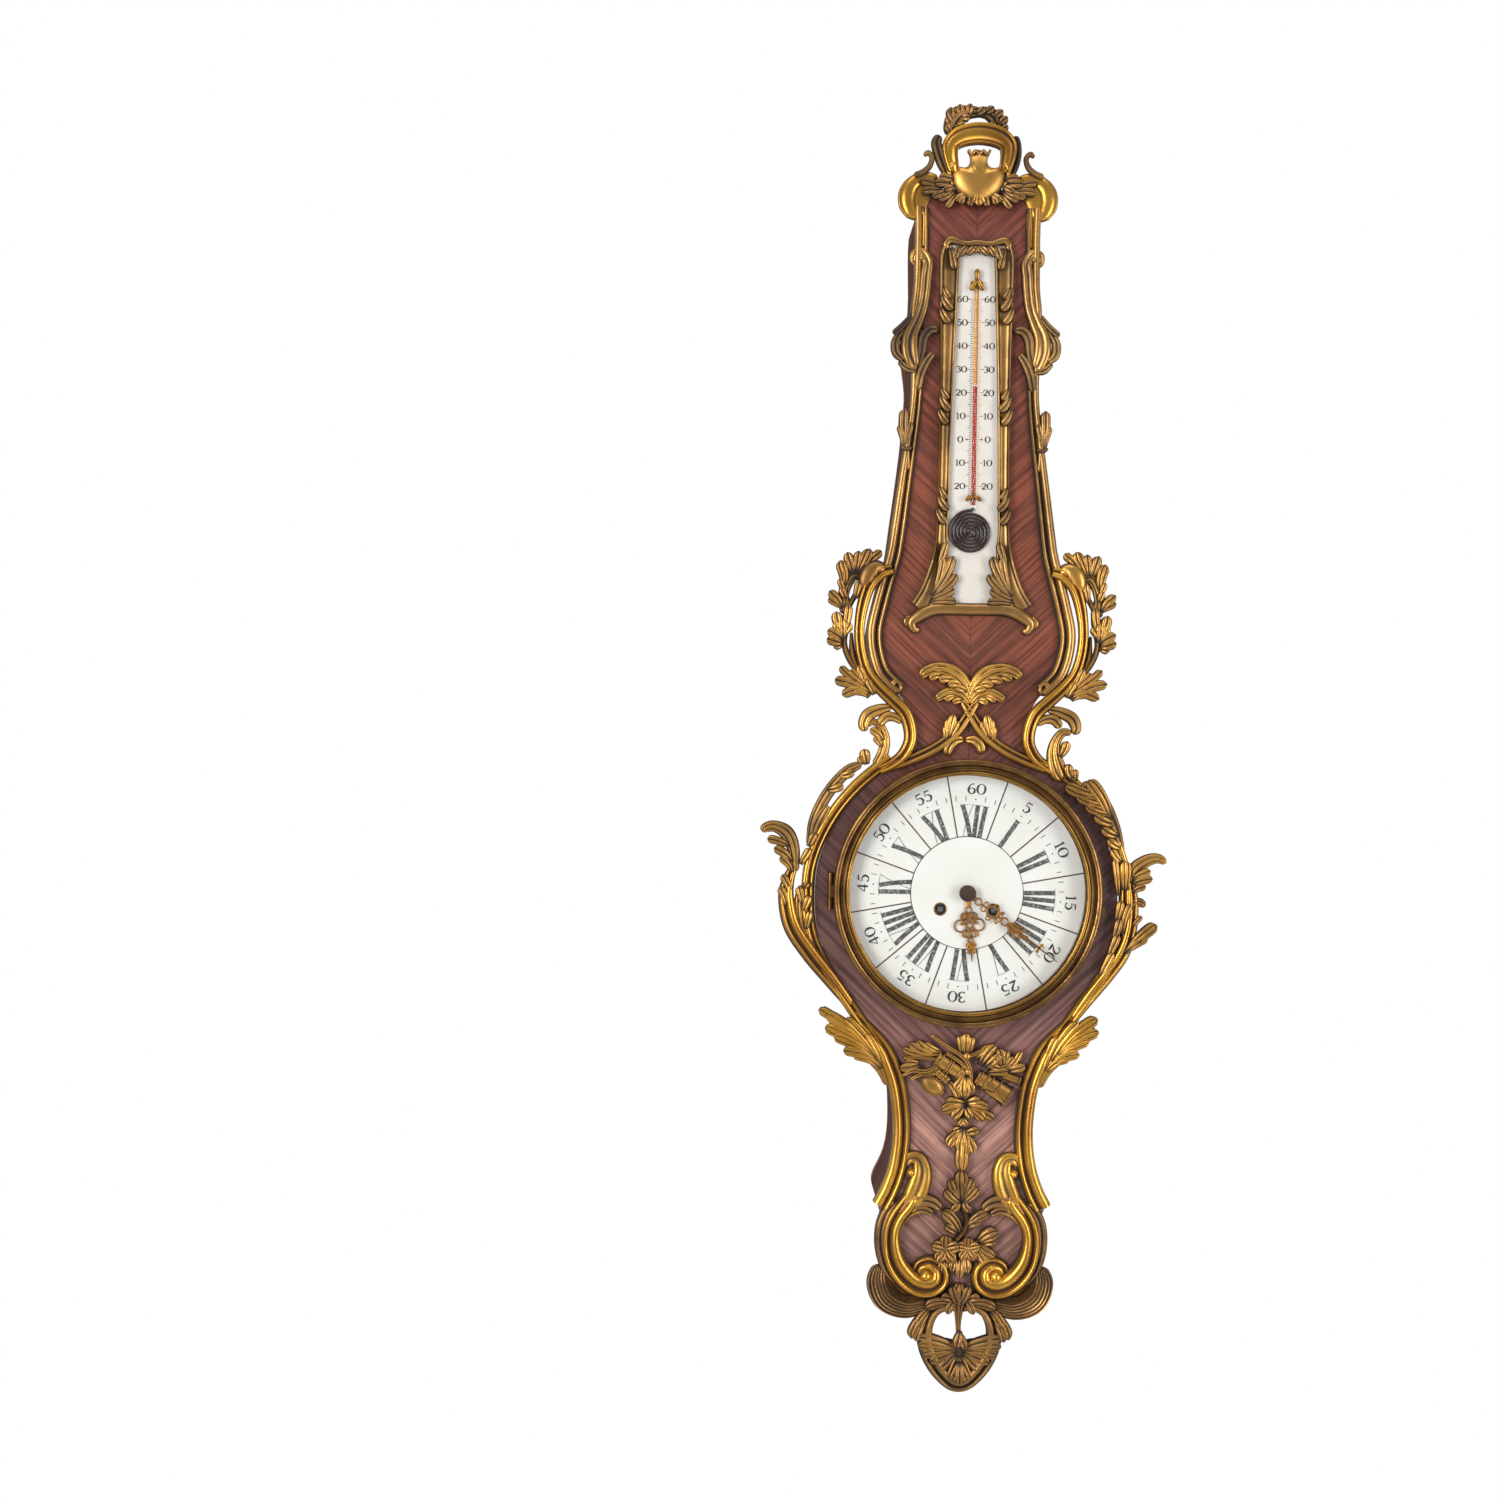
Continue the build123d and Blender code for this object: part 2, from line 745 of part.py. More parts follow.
trophy_mount.part.label = "trophy_mount"
export_step(trophy_mount.part, "parts/trophy_mount.step")

drop_leaf_shares = [
    ([(0, -166), (0, -182), (0, -196)], 6.0, 3),
    ([(0, -190), (1, -202), (1, -214)], 4.5, 2),
]
drop_side_shares = [
    ([(0, -174), (9, -170), (19, -166)], 4.5, 2),
]
with BuildPart() as flower_drop:
    with BuildSketch(front(panel_level)):
        for run, half, lobes in drop_leaf_shares:
            add(leaf(places(run), half * mil, lobes))
        for side in (1, -1):
            add_leaves(drop_side_shares, side)
    extrude(amount=moulding_thick)
flower_drop.part.label = "flower_drop"
export_step(flower_drop.part, "parts/flower_drop.step")

flower_shares = [(-11, -271, 4.6), (10, -273, 4.2)]
petal_count = 5
petal_share = 0.8
flower_eye_share = 0.62
flower_leaf_shares = [
    ([(8, -266), (17, -264), (26, -262)], 3.6, 2),
    ([(-10, -266), (-20, -259), (-29, -259)], 3.6, 2),
    ([(0, -252), (0, -236), (0, -218)], 9.0, 3),
]
flower_stem_shares = [(0, -240), (-1, -252), (-5, -262), (-10, -270)]
flower_link_shares = [(-10, -270), (0, -268), (10, -272)]
with BuildPart() as base_flowers:
    with BuildSketch(front(panel_level)):
        for x, z, reach in flower_shares:
            with Locations(at(x, z)):
                with PolarLocations(reach * mil, petal_count):
                    Circle(reach * petal_share * mil)
                Circle(reach * mil)
        for run, half, lobes in flower_leaf_shares:
            add(leaf(places(run), half * mil, lobes))
        add(strip(places(flower_stem_shares), vein_thick, vein_thick))
        add(strip(places(flower_link_shares), vein_thick, vein_thick))
    extrude(amount=moulding_thick)
    with BuildSketch(front(moulding_level)):
        for x, z, reach in flower_shares:
            with Locations(at(x, z)):
                Circle(reach * flower_eye_share * mil)
    extrude(amount=vein_thick)
base_flowers.part.label = "base_flowers"
export_step(base_flowers.part, "parts/base_flowers.step")

pendant_edge_shares = [(0, -328), (14, -325), (28, -329), (33, -339), (30, -356), (21, -374),
                       (8, -386), (0, -388)]
pendant_hole_shares = (11.5, -339)
pendant_hole_size_shares = (6.0, 7.5)
pendant_leaf_shares = ([(0, -306), (0, -322), (0, -338)], 11.0, 4)
pendant_side_shares = ([(28, -344), (34, -342), (41, -341)], 5.0, 2)
with BuildPart() as pendant_drop:
    with BuildSketch(front(panel_level)):
        with BuildLine():
            for side in (1, -1):
                Spline(*places(pendant_edge_shares, side))
        make_face()
        for side in (1, -1):
            with Locations(at(*pendant_hole_shares, side)):
                wide, tall = pendant_hole_size_shares
                Ellipse(wide * mil, tall * mil, mode=Mode.SUBTRACT)
        run, half, lobes = pendant_leaf_shares
        add(leaf(places(run), half * mil, lobes))
        run, half, lobes = pendant_side_shares
        for side in (1, -1):
            add(leaf(places(run, side), half * mil, lobes))
    extrude(amount=moulding_thick)
pendant_drop.part.label = "pendant_drop"
export_step(pendant_drop.part, "parts/pendant_drop.step")

# Thermometer: frame, plate, tube with a spiral bulb and two clips. The bulb is wound as a chain
# of half circles, and the widths of the frame and of the plate follow it.
bulb_reach = bulb_inner_radius + (bulb_half_turns - 1) * bulb_pitch / 2 + bulb_tube_radius
bulb_sight_share = 19.8
frame_mil = (bulb_reach + bulb_side_gap) / bulb_sight_share


def on_frame(x, z, side=1):
    """Place in millimetres of shares on the thermometer."""
    return (side * x * frame_mil, at(0, z)[1])


def frame_places(shares, side=1):
    return [on_frame(x, z, side) for x, z in shares]


frame_edge_shares = [(23, 507), (26, 500), (26.4, 470), (26.7, 422), (27.2, 378), (27.7, 313),
                     (28, 280), (29.6, 263), (33.8, 246), (39.7, 228), (48.5, 213)]
frame_foot_shares = [(48.5, 213), (42, 207), (34, 205), (22, 210), (0, 213)]
sight_edge_shares = [(12, 496), (16.5, 488), (16.8, 455), (17.4, 422), (18, 378), (18.9, 313),
                     (19.8, 282), (18.4, 266), (19, 252), (25, 236), (35, 222)]
plate_edge_shares = [(22, 501), (22, 422), (23, 313), (23, 270), (30, 246), (41, 218)]
with BuildPart() as thermometer_frame:
    with BuildSketch(front(panel_level)):
        with BuildLine():
            for side in (1, -1):
                Spline(*frame_places(frame_edge_shares, side))
                Spline(*frame_places(frame_foot_shares, side))
            Line(on_frame(*frame_edge_shares[0], -1), on_frame(*frame_edge_shares[0]))
        make_face()
        with BuildLine():
            for side in (1, -1):
                Spline(*frame_places(sight_edge_shares, side))
            Line(on_frame(*sight_edge_shares[0], -1), on_frame(*sight_edge_shares[0]))
            Line(on_frame(*sight_edge_shares[-1], -1), on_frame(*sight_edge_shares[-1]))
        make_face(mode=Mode.SUBTRACT)
    extrude(amount=frame_thick)
    with BuildSketch(front(panel_level)):
        with BuildLine():
            for side in (1, -1):
                Polyline(*frame_places(plate_edge_shares, side))
            Line(on_frame(*plate_edge_shares[0], -1), on_frame(*plate_edge_shares[0]))
            Line(on_frame(*plate_edge_shares[-1], -1), on_frame(*plate_edge_shares[-1]))
        make_face()
    extrude(amount=plate_thick, mode=Mode.SUBTRACT)
thermometer_frame.part.label = "thermometer_frame"
export_step(thermometer_frame.part, "parts/thermometer_frame.step")

with BuildPart() as thermometer_plate:
    with BuildSketch(front(panel_level)):
        with BuildLine():
            for side in (1, -1):
                Polyline(*frame_places(plate_edge_shares, side))
            Line(on_frame(*plate_edge_shares[0], -1), on_frame(*plate_edge_shares[0]))
            Line(on_frame(*plate_edge_shares[-1], -1), on_frame(*plate_edge_shares[-1]))
        make_face()
    extrude(amount=plate_thick)
thermometer_plate.part.label = "thermometer_plate"
export_step(thermometer_plate.part, "parts/thermometer_plate.step")

plate_level = panel_level + plate_thick
tube_top_share = 478
bulb_centre_share = 280
bulb_x = -bulb_bend_radius
bulb_level = plate_level + bulb_tube_radius
bulb_spot = (bulb_x, at(0, bulb_centre_share)[1] - bulb_inner_radius)
bulb_spots = [bulb_spot]
for turn in range(bulb_half_turns):
    radius = bulb_inner_radius + turn * bulb_pitch / 2
    up = 1 if turn % 2 == 0 else -1
    bulb_spots.append((bulb_x, bulb_spots[-1][1] + up * 2 * radius))
with BuildPart() as thermometer_bulb:
    with BuildLine(front(bulb_level)) as bulb_path:
        for turn in range(bulb_half_turns):
            radius = bulb_inner_radius + turn * bulb_pitch / 2
            up = 1 if turn % 2 == 0 else -1
            low, high = bulb_spots[turn], bulb_spots[turn + 1]
            middle = (bulb_x - up * radius, (low[1] + high[1]) / 2)
            ThreePointArc(low, middle, high)
        bend = CenterArc((bulb_x, bulb_spots[-1][1] + bulb_bend_radius), bulb_bend_radius, -90, 90)
    with BuildSketch(Plane(origin=bulb_path.line @ 0, z_dir=bulb_path.line % 0)):
        Circle(bulb_tube_radius)
    sweep(path=bulb_path.line, transition=Transition.ROUND)
thermometer_bulb.part.label = "thermometer_bulb"
export_step(thermometer_bulb.part, "parts/thermometer_bulb.step")
print("least gap of the bulb's tube to itself", bulb_pitch - 2 * bulb_tube_radius)

tube_foot_z = bulb_spots[-1][1] + bulb_bend_radius
tube_top_z = at(0, tube_top_share)[1]
tube_level = plate_level + tube_radius
with BuildPart() as thermometer_tube:
    with BuildSketch(Plane.XY.offset(tube_foot_z)):
        with Locations((0, -tube_level)):
            Circle(tube_radius)
    extrude(amount=tube_top_z - tube_foot_z)
thermometer_tube.part.label = "thermometer_tube"
export_step(thermometer_tube.part, "parts/thermometer_tube.step")

clip_shares = (472, 306)
with BuildPart() as tube_clips:
    with BuildSketch(front(plate_level)):
        for share in clip_shares:
            with Locations(at(0, share)):
                Rectangle(clip_width, clip_height)
    extrude(amount=2 * tube_radius + clip_wall)
    with BuildSketch(Plane.XY.offset(tube_foot_z)):
        with Locations((0, -tube_level)):
            Circle(tube_radius)
        with Locations((0, -plate_level - tube_radius / 2)):
            Rectangle(2 * tube_radius, tube_radius)
    extrude(amount=tube_top_z - tube_foot_z + overrun, mode=Mode.SUBTRACT)
tube_clips.part.label = "tube_clips"
export_step(tube_clips.part, "parts/tube_clips.step")

# Dial: brass plate on three feet, twelve hour plaques and the middle plaque
dial_level = panel_level + dial_plate_thick
winder_spots = [from_dial(side * winding_x, winding_z) for side in (1, -1)]
dial_feet = []
for turn in dial_feet_degrees:
    dial_feet.append(from_dial(dial_foot_ring * cos(radians(turn)),
                               dial_foot_ring * sin(radians(turn))))
with BuildPart() as dial_plate:
    with BuildSketch(front(panel_level)):
        with Locations(from_dial(0, 0)):
            Circle(dial_plate_radius)
            Circle(dial_hole_radius, mode=Mode.SUBTRACT)
        with Locations(*winder_spots):
            Circle(dial_hole_radius, mode=Mode.SUBTRACT)
    extrude(amount=dial_plate_thick)
    with BuildSketch(front(motion_level)):
        with Locations(*dial_feet):
            Circle(dial_foot_radius)
    extrude(amount=panel_level - motion_level)
dial_plate.part.label = "dial_plate"
export_step(dial_plate.part, "parts/dial_plate.step")

with BuildPart() as hour_plaques:
    with BuildSketch(front(dial_level)):
        for hour in range(hour_count):
            middle = top_degrees + dial_turn - hour * 360 / hour_count
            half_step = 180 / hour_count
            corners = []
            for reach in (plaque_inner_radius, plaque_outer_radius):
                half = half_step - degrees(asin(plaque_gap / 2 / reach))
                for turn in (-half, 0, half):
                    angle = radians(middle + turn)
                    corners.append(from_dial(reach * cos(angle), reach * sin(angle)))
            with BuildLine():
                ThreePointArc(*corners[:3])
                ThreePointArc(*corners[3:])
                Line(corners[0], corners[3])
                Line(corners[2], corners[5])
            make_face()
    extrude(amount=enamel_thick)
hour_plaques.part.label = "hour_plaques"
export_step(hour_plaques.part, "parts/hour_plaques.step")

with BuildPart() as centre_plaque:
    with BuildSketch(front(dial_level)):
        with Locations(from_dial(0, 0)):
            Circle(centre_plaque_radius)
            Circle(dial_hole_radius, mode=Mode.SUBTRACT)
        with Locations(*winder_spots):
            Circle(dial_hole_radius, mode=Mode.SUBTRACT)
    extrude(amount=centre_plaque_thick)
centre_plaque.part.label = "centre_plaque"
export_step(centre_plaque.part, "parts/centre_plaque.step")

# Fixed ring round the dial, with the two outer knuckles of the bezel's hinge
ring_level = panel_level + ring_thick
hinge_x = -(bezel_outer_radius + hinge_offset)
hinge_level = ring_level + hinge_above_ring
ring_knuckles = (-(knuckle_length + knuckle_gap), knuckle_length + knuckle_gap)
with BuildPart() as dial_ring:
    with BuildSketch(front(panel_level)):
        with Locations(from_dial(0, 0)):
            Circle(ring_outer_radius)
            Circle(ring_sight_radius, mode=Mode.SUBTRACT)
    extrude(amount=ring_thick)
    with BuildSketch(front(panel_level)):
        with Locations(from_dial(0, 0)):
            Circle(dial_plate_radius)
    extrude(amount=dial_plate_thick, mode=Mode.SUBTRACT)
    for row in ring_knuckles:
        with BuildSketch(Plane.XY.offset(dial_z + row - knuckle_length / 2)):
            with Locations((hinge_x, -hinge_level)):
                Circle(knuckle_radius)
            with Locations((hinge_x, -(panel_level + hinge_level) / 2)):
                Rectangle(2 * knuckle_radius, hinge_level - panel_level)
            with Locations((hinge_x + knuckle_radius, -panel_level - ring_thick / 2)):
                Rectangle(2 * (hinge_offset + knuckle_radius), ring_thick)
            with Locations((hinge_x, -hinge_level)):
                Circle(hinge_pin_radius, mode=Mode.SUBTRACT)
        extrude(amount=knuckle_length)
dial_ring.part.label = "dial_ring"
export_step(dial_ring.part, "parts/dial_ring.step")

# Bezel: a turned ring, hinged on the left, with a thumb tab on the right
bezel_level = ring_level + bezel_gap
glass_level = bezel_level + glass_seat
bezel_top = bezel_level + bezel_thick
glass_pocket = glass_level + glass_thick - bezel_level
with BuildPart() as bezel_ring:
    with BuildSketch(front(bezel_level)):
        with Locations(from_dial(0, 0)):
            Circle(bezel_outer_radius)
            Circle(ring_sight_radius, mode=Mode.SUBTRACT)
    extrude(amount=bezel_thick - bezel_bead_radius)
    with BuildSketch(Plane.XY.offset(dial_z)):
        with Locations((bezel_outer_radius - bezel_bead_radius, -(bezel_top - bezel_bead_radius))):
            Circle(bezel_bead_radius)
    revolve(axis=Axis((0, 0, dial_z), (0, 1, 0)))
    with BuildSketch(Plane.XY.offset(dial_z)):
        with Locations(((bezel_outer_radius + ring_sight_radius) / 2,
                        -(bezel_top - bezel_bead_radius))):
            Circle(bezel_cove_radius)
    revolve(axis=Axis((0, 0, dial_z), (0, 1, 0)), mode=Mode.SUBTRACT)
    with BuildSketch(front(bezel_level)):
        with Locations(from_dial(0, 0)):
            Circle(glass_radius)
    extrude(amount=glass_pocket, mode=Mode.SUBTRACT)
    with BuildSketch(Plane.XY.offset(dial_z)):
        with Locations((hinge_x, -hinge_level)):
            Circle(knuckle_radius)
        with Locations((hinge_x + knuckle_radius, -hinge_level)):
            Rectangle(2 * knuckle_radius, 2 * knuckle_radius)
    extrude(amount=knuckle_length / 2, both=True)
    with BuildSketch(Plane.XY.offset(dial_z)):
        with Locations((hinge_x, -hinge_level)):
            Circle(hinge_pin_radius + run_gap)
    extrude(amount=knuckle_length, both=True, mode=Mode.SUBTRACT)
    with BuildSketch(front(bezel_level)):
        with Locations(from_dial(bezel_outer_radius, -thumb_tab_drop)):
            Circle(thumb_tab_radius)
    extrude(amount=thumb_tab_thick)
bezel_ring.part.label = "bezel_ring"
export_step(bezel_ring.part, "parts/bezel_ring.step")

with BuildPart() as bezel_pin:
    with BuildSketch(Plane.XY.offset(dial_z)):
        with Locations((hinge_x, -hinge_level)):
            Circle(hinge_pin_radius)
    extrude(amount=1.5 * knuckle_length + knuckle_gap, both=True)
bezel_pin.part.label = "bezel_pin"
export_step(bezel_pin.part, "parts/bezel_pin.step")

# Glass: a flat rim in the bezel's seat and a dome over the hands
dome_foot = ring_sight_radius - clear_gap
with BuildPart() as bezel_glass:
    with BuildSketch(Plane.XY.offset(dial_z)):
        with BuildLine():
            outer = ThreePointArc(
                (0, -(glass_level + glass_thick + glass_rise)),
                (dome_foot / sqrt(2), -(glass_level + glass_thick + glass_rise / 2)),
                (dome_foot, -(glass_level + glass_thick)),
            )
            inner = ThreePointArc(
                (0, -(glass_level + glass_rise)),
                ((dome_foot - glass_thick) / sqrt(2), -(glass_level + glass_rise / 2)),
                (dome_foot - glass_thick, -glass_level),
            )
            Line((0, -(glass_level + glass_rise)), (0, -(glass_level + glass_thick + glass_rise)))
            Polyline(outer @ 1, (glass_radius, -(glass_level + glass_thick)),
                     (glass_radius, -glass_level), inner @ 1)
        make_face()
    revolve(axis=Axis((0, 0, dial_z), (0, 1, 0)))
bezel_glass.part.label = "bezel_glass"
export_step(bezel_glass.part, "parts/bezel_glass.step")

# Places of the movement's arbors, measured from the dial's centre
great_distance = hypot(winding_x, winding_z)
great_module = 2 * great_distance / (great_teeth + centre_leaves)
third_distance = centre_module * (centre_teeth + third_leaves) / 2
third_up = sqrt(third_distance ** 2 - third_x ** 2)
escape_distance = third_module * (third_teeth + escape_leaves) / 2
escape_up = third_up + sqrt(escape_distance ** 2 - third_x ** 2)
motion_distance = motion_module * (motion_teeth + motion_leaves) / 2
hour_module = 2 * motion_distance / (hour_teeth + minute_leaves)
arbor_bores = [
    (0, 0, cannon_pipe_radius + run_gap),
    (third_x, third_up, thin_arbor_radius + run_gap),
    (0, escape_up, thin_arbor_radius + run_gap),
    (0, pallet_drop, arbor_radius + run_gap),
    (hammer_x, hammer_up, arbor_radius + run_gap),
    (winding_x, winding_z, winder_radius + run_gap),
    (-winding_x, winding_z, winder_radius + run_gap),
]


def toward(x0, z0, x1, z1):
    """Angle of the line from one arbor to another."""
    return degrees(atan2(z1 - z0, x1 - x0))


def cylinder(spot, low, high, radius):
    """A plain round of metal along the line of sight, from one level to another."""
    with BuildPart() as metal:
        with BuildSketch(front(low)):
            with Locations(from_dial(*spot)):
                Circle(radius)
        extrude(amount=high - low)
    return metal.part


pillar_spots = []
for turn in pillar_degrees:
    pillar_spots.append(from_dial(pillar_ring * cos(radians(turn)),
                                  pillar_ring * sin(radians(turn))))

with BuildPart() as movement_front_plate:
    with BuildSketch(front(front_plate_level)):
        with Locations(from_dial(0, 0)):
            Circle(plate_radius)
        for x, z, bore in arbor_bores:
            with Locations(from_dial(x, z)):
                Circle(bore, mode=Mode.SUBTRACT)
    extrude(amount=plate_sheet)
    with BuildSketch(front(motion_level)):
        with Locations(from_dial(0, motion_distance)):
            Circle(arbor_radius)
    extrude(amount=hour_wheel_level + 2 * wheel_thick - motion_level)
movement_front_plate.part.label = "movement_front_plate"
export_step(movement_front_plate.part, "parts/movement_front_plate.step")

# The back plate carries the riveted pillars and the post of the bell
with BuildPart() as movement_back_plate:
    with BuildSketch(front(back_plate_level)):
        with Locations(from_dial(0, 0)):
            Circle(plate_radius)
        for x, z, bore in arbor_bores:
            with Locations(from_dial(x, z)):
                Circle(bore, mode=Mode.SUBTRACT)
    extrude(amount=plate_sheet)
    with BuildSketch(front(back_plate_level + plate_sheet)):
        with Locations(*pillar_spots):
            Circle(pillar_radius)
    extrude(amount=plates_apart)
    with BuildSketch(front(bell_level + bell_wall)):
        with Locations(from_dial(bell_x, bell_up)):
            Circle(bell_post_radius)
    extrude(amount=back_plate_level - bell_level - bell_wall)
movement_back_plate.part.label = "movement_back_plate"
export_step(movement_back_plate.part, "parts/movement_back_plate.step")


def wheel(spot, level, teeth, module, phase, hub):
    """A wheel with crossed-out arms and one tooth centred on the phase angle."""
    rim = teeth * module / 2 - arm_width
    with BuildPart() as metal:
        with BuildSketch(front(level)):
            with Locations(from_dial(*spot)):
                add(gear(teeth, module, wheel_tooth_shares, phase))
                Circle(rim, mode=Mode.SUBTRACT)
                Circle(hub)
                with PolarLocations(rim / 2, arm_count):
                    Rectangle(rim + arm_width / 2, arm_width)
        extrude(amount=wheel_thick)
    return metal.part


def pinion(spot, level, leaves, module, phase, length):
    """A pinion with a gap between its leaves centred on the phase angle."""
    with BuildPart() as metal:
        with BuildSketch(front(level)):
            with Locations(from_dial(*spot)):
                add(gear(leaves, module, leaf_tooth_shares, phase + 180 / leaves))
        extrude(amount=length)
    return metal.part


third_spot = (third_x, third_up)
escape_spot = (0, escape_up)
minute_spot = (0, motion_distance)
pivot_low = back_plate_level
pivot_high = motion_level
centre_hub = 3.4

# Centre wheel: its pinion is driven by the going barrel, and its arbor turns the hands
with BuildPart() as centre_wheel:
    add(cylinder((0, 0), pivot_low, back_plate_level + plate_sheet, cannon_pipe_radius))
    add(cylinder((0, 0), back_plate_level + plate_sheet, minute_hand_level + hand_thick, arbor_radius))
    add(cylinder((0, 0), going_wheel_level + leaf_length, centre_wheel_level, cannon_pipe_radius))
    add(pinion((0, 0), going_wheel_level - wheel_thick / 2, centre_leaves, great_module,
               toward(0, 0, winding_x, winding_z), leaf_length))
    add(wheel((0, 0), centre_wheel_level, centre_teeth, centre_module,
              toward(0, 0, *third_spot), centre_hub))
centre_wheel.part.label = "centre_wheel"
export_step(centre_wheel.part, "parts/centre_wheel.step")

with BuildPart() as third_wheel:
    add(cylinder(third_spot, pivot_low, pivot_high, thin_arbor_radius))
    add(pinion(third_spot, centre_wheel_level - wheel_thick / 2, third_leaves, centre_module,
               toward(*third_spot, 0, 0), leaf_length))
    add(wheel(third_spot, third_wheel_level, third_teeth, third_module,
              toward(*third_spot, *escape_spot), arm_width))
third_wheel.part.label = "third_wheel"
export_step(third_wheel.part, "parts/third_wheel.step")

escape_tooth_shares = (0, 4.0, 0.5, 0.12)
with BuildPart() as escape_wheel:
    add(cylinder(escape_spot, pivot_low, pivot_high, thin_arbor_radius))
    add(pinion(escape_spot, third_wheel_level - wheel_thick / 2, escape_leaves, third_module,
               toward(*escape_spot, *third_spot), leaf_length))
    escape_module = 2 * escape_radius / escape_teeth
    with BuildSketch(front(escape_wheel_level)):
        with Locations(from_dial(*escape_spot)):
            add(gear(escape_teeth, escape_module, escape_tooth_shares, 90))
            Circle(escape_radius - 2 * arm_width, mode=Mode.SUBTRACT)
            Circle(arm_width)
            with PolarLocations(escape_radius / 3, arm_count):
                Rectangle(escape_radius - arm_width, arm_width / 2)
    extrude(amount=wheel_thick)
escape_wheel.part.label = "escape_wheel"
export_step(escape_wheel.part, "parts/escape_wheel.step")

# Motion work behind the dial
with BuildPart() as cannon_pinion:
    add(cylinder((0, 0), motion_level - plate_sheet, minute_hand_level, cannon_pipe_radius))
    add(pinion((0, 0), motion_wheel_level - wheel_thick / 2, motion_leaves, motion_module, 90,
               leaf_length - wheel_thick))
    with BuildSketch(front(motion_level - plate_sheet)):
        with Locations(from_dial(0, 0)):
            Circle(arbor_radius)
    extrude(amount=minute_hand_level - motion_level + plate_sheet, mode=Mode.SUBTRACT)
cannon_pinion.part.label = "cannon_pinion"
export_step(cannon_pinion.part, "parts/cannon_pinion.step")

with BuildPart() as minute_wheel:
    add(wheel(minute_spot, motion_wheel_level, motion_teeth, motion_module, -90,
              arbor_radius + arm_width))
    add(pinion(minute_spot, motion_wheel_level + wheel_thick, minute_leaves, hour_module, -90,
               hour_wheel_level + wheel_thick - motion_wheel_level))
    with BuildSketch(front(motion_wheel_level)):
        with Locations(from_dial(*minute_spot)):
            Circle(arbor_radius + run_gap)
    extrude(amount=hour_wheel_level - motion_level + 2 * wheel_thick, mode=Mode.SUBTRACT)
minute_wheel.part.label = "minute_wheel"
export_step(minute_wheel.part, "parts/minute_wheel.step")

with BuildPart() as hour_wheel:
    add(wheel((0, 0), hour_wheel_level, hour_teeth, hour_module, 90, hour_pipe_radius + arm_width / 2))
    add(cylinder((0, 0), hour_wheel_level - wheel_thick, hour_hand_level + hand_thick, hour_pipe_radius))
    with BuildSketch(front(hour_wheel_level - wheel_thick)):
        with Locations(from_dial(0, 0)):
            Circle(cannon_pipe_radius + run_gap)
    extrude(amount=hour_hand_level - hour_wheel_level + 3 * wheel_thick, mode=Mode.SUBTRACT)
hour_wheel.part.label = "hour_wheel"
export_step(hour_wheel.part, "parts/hour_wheel.step")

# Hands, drawn along their own line from the centre out, then turned to the photographed time
minute_hand_degrees = -36.5
hour_hand_degrees = -85.0
sight_share = 91.0833
hand_mil = ring_sight_radius / sight_share
minute_ring_shares = [(13, 3.6), (20.5, 3.8), (31, 7.0), (40.5, 3.2), (46.5, 3.0), (53, 3.8)]
minute_hole_shares = [(13, 2.0), (31, 4.6), (40.5, 1.6)]
minute_stem_shares = [(0, 3.6), (20, 2.2), (53, 2.4), (66, 1.2), (86.5, 0.5)]
minute_bar_shares = (71, 4.5, 1.2)
hour_ring_shares = [(15, 0, 4.2), (23.5, 5.4, 4.2), (23.5, -5.4, 4.2), (31, 0, 4.2)]
hour_hole_shares = [(23.5, 5.6, 2.3), (23.5, -5.6, 2.3), (31, 0, 2.3)]
hour_stem_shares = [(0, 3.6), (15, 2.0), (31, 1.8), (36, 3.0), (46, 1.6), (53, 0.5)]


def hand_stem(shares):
    """Face of a hand's tapering stem, laid along +X from the centre."""
    upper = [(reach * hand_mil, half * hand_mil) for reach, half in shares]
    lower = [(x, -half) for x, half in reversed(upper)]
    with BuildLine() as rim:
        Polyline(*(upper + lower), close=True)
    return make_face(rim.edges(), mode=Mode.PRIVATE)


with BuildPart() as minute_hand:
    with BuildSketch(Plane(origin=(0, -minute_hand_level, dial_z),
                           x_dir=Vector(1, 0, 0).rotate(Axis.Y, -minute_hand_degrees),
                           z_dir=(0, -1, 0))):
        add(hand_stem(minute_stem_shares))
        Circle(collet_radius - clear_gap)
        for reach, radius in minute_ring_shares:
            with Locations((reach * hand_mil, 0)):
                Circle(radius * hand_mil)
        reach, half, thick = minute_bar_shares
        with Locations((reach * hand_mil, 0)):
            Rectangle(thick * hand_mil, 2 * half * hand_mil)
        for reach, radius in minute_hole_shares:
            with Locations((reach * hand_mil, 0)):
                Circle(radius * hand_mil, mode=Mode.SUBTRACT)
        Circle(arbor_radius, mode=Mode.SUBTRACT)
    extrude(amount=hand_thick)
minute_hand.part.label = "minute_hand"
export_step(minute_hand.part, "parts/minute_hand.step")

with BuildPart() as hour_hand:
    with BuildSketch(Plane(origin=(0, -hour_hand_level, dial_z),
                           x_dir=Vector(1, 0, 0).rotate(Axis.Y, -hour_hand_degrees),
                           z_dir=(0, -1, 0))):
        add(hand_stem(hour_stem_shares))
        Circle(hour_pipe_radius + arm_width)
        for reach, across, radius in hour_ring_shares:
            with Locations((reach * hand_mil, across * hand_mil)):
                Circle(radius * hand_mil)
        for reach, across, radius in hour_hole_shares:
            with Locations((reach * hand_mil, across * hand_mil)):
                Circle(radius * hand_mil, mode=Mode.SUBTRACT)
        Circle(hour_pipe_radius, mode=Mode.SUBTRACT)
    extrude(amount=hand_thick)
hour_hand.part.label = "hour_hand"
export_step(hour_hand.part, "parts/hour_hand.step")

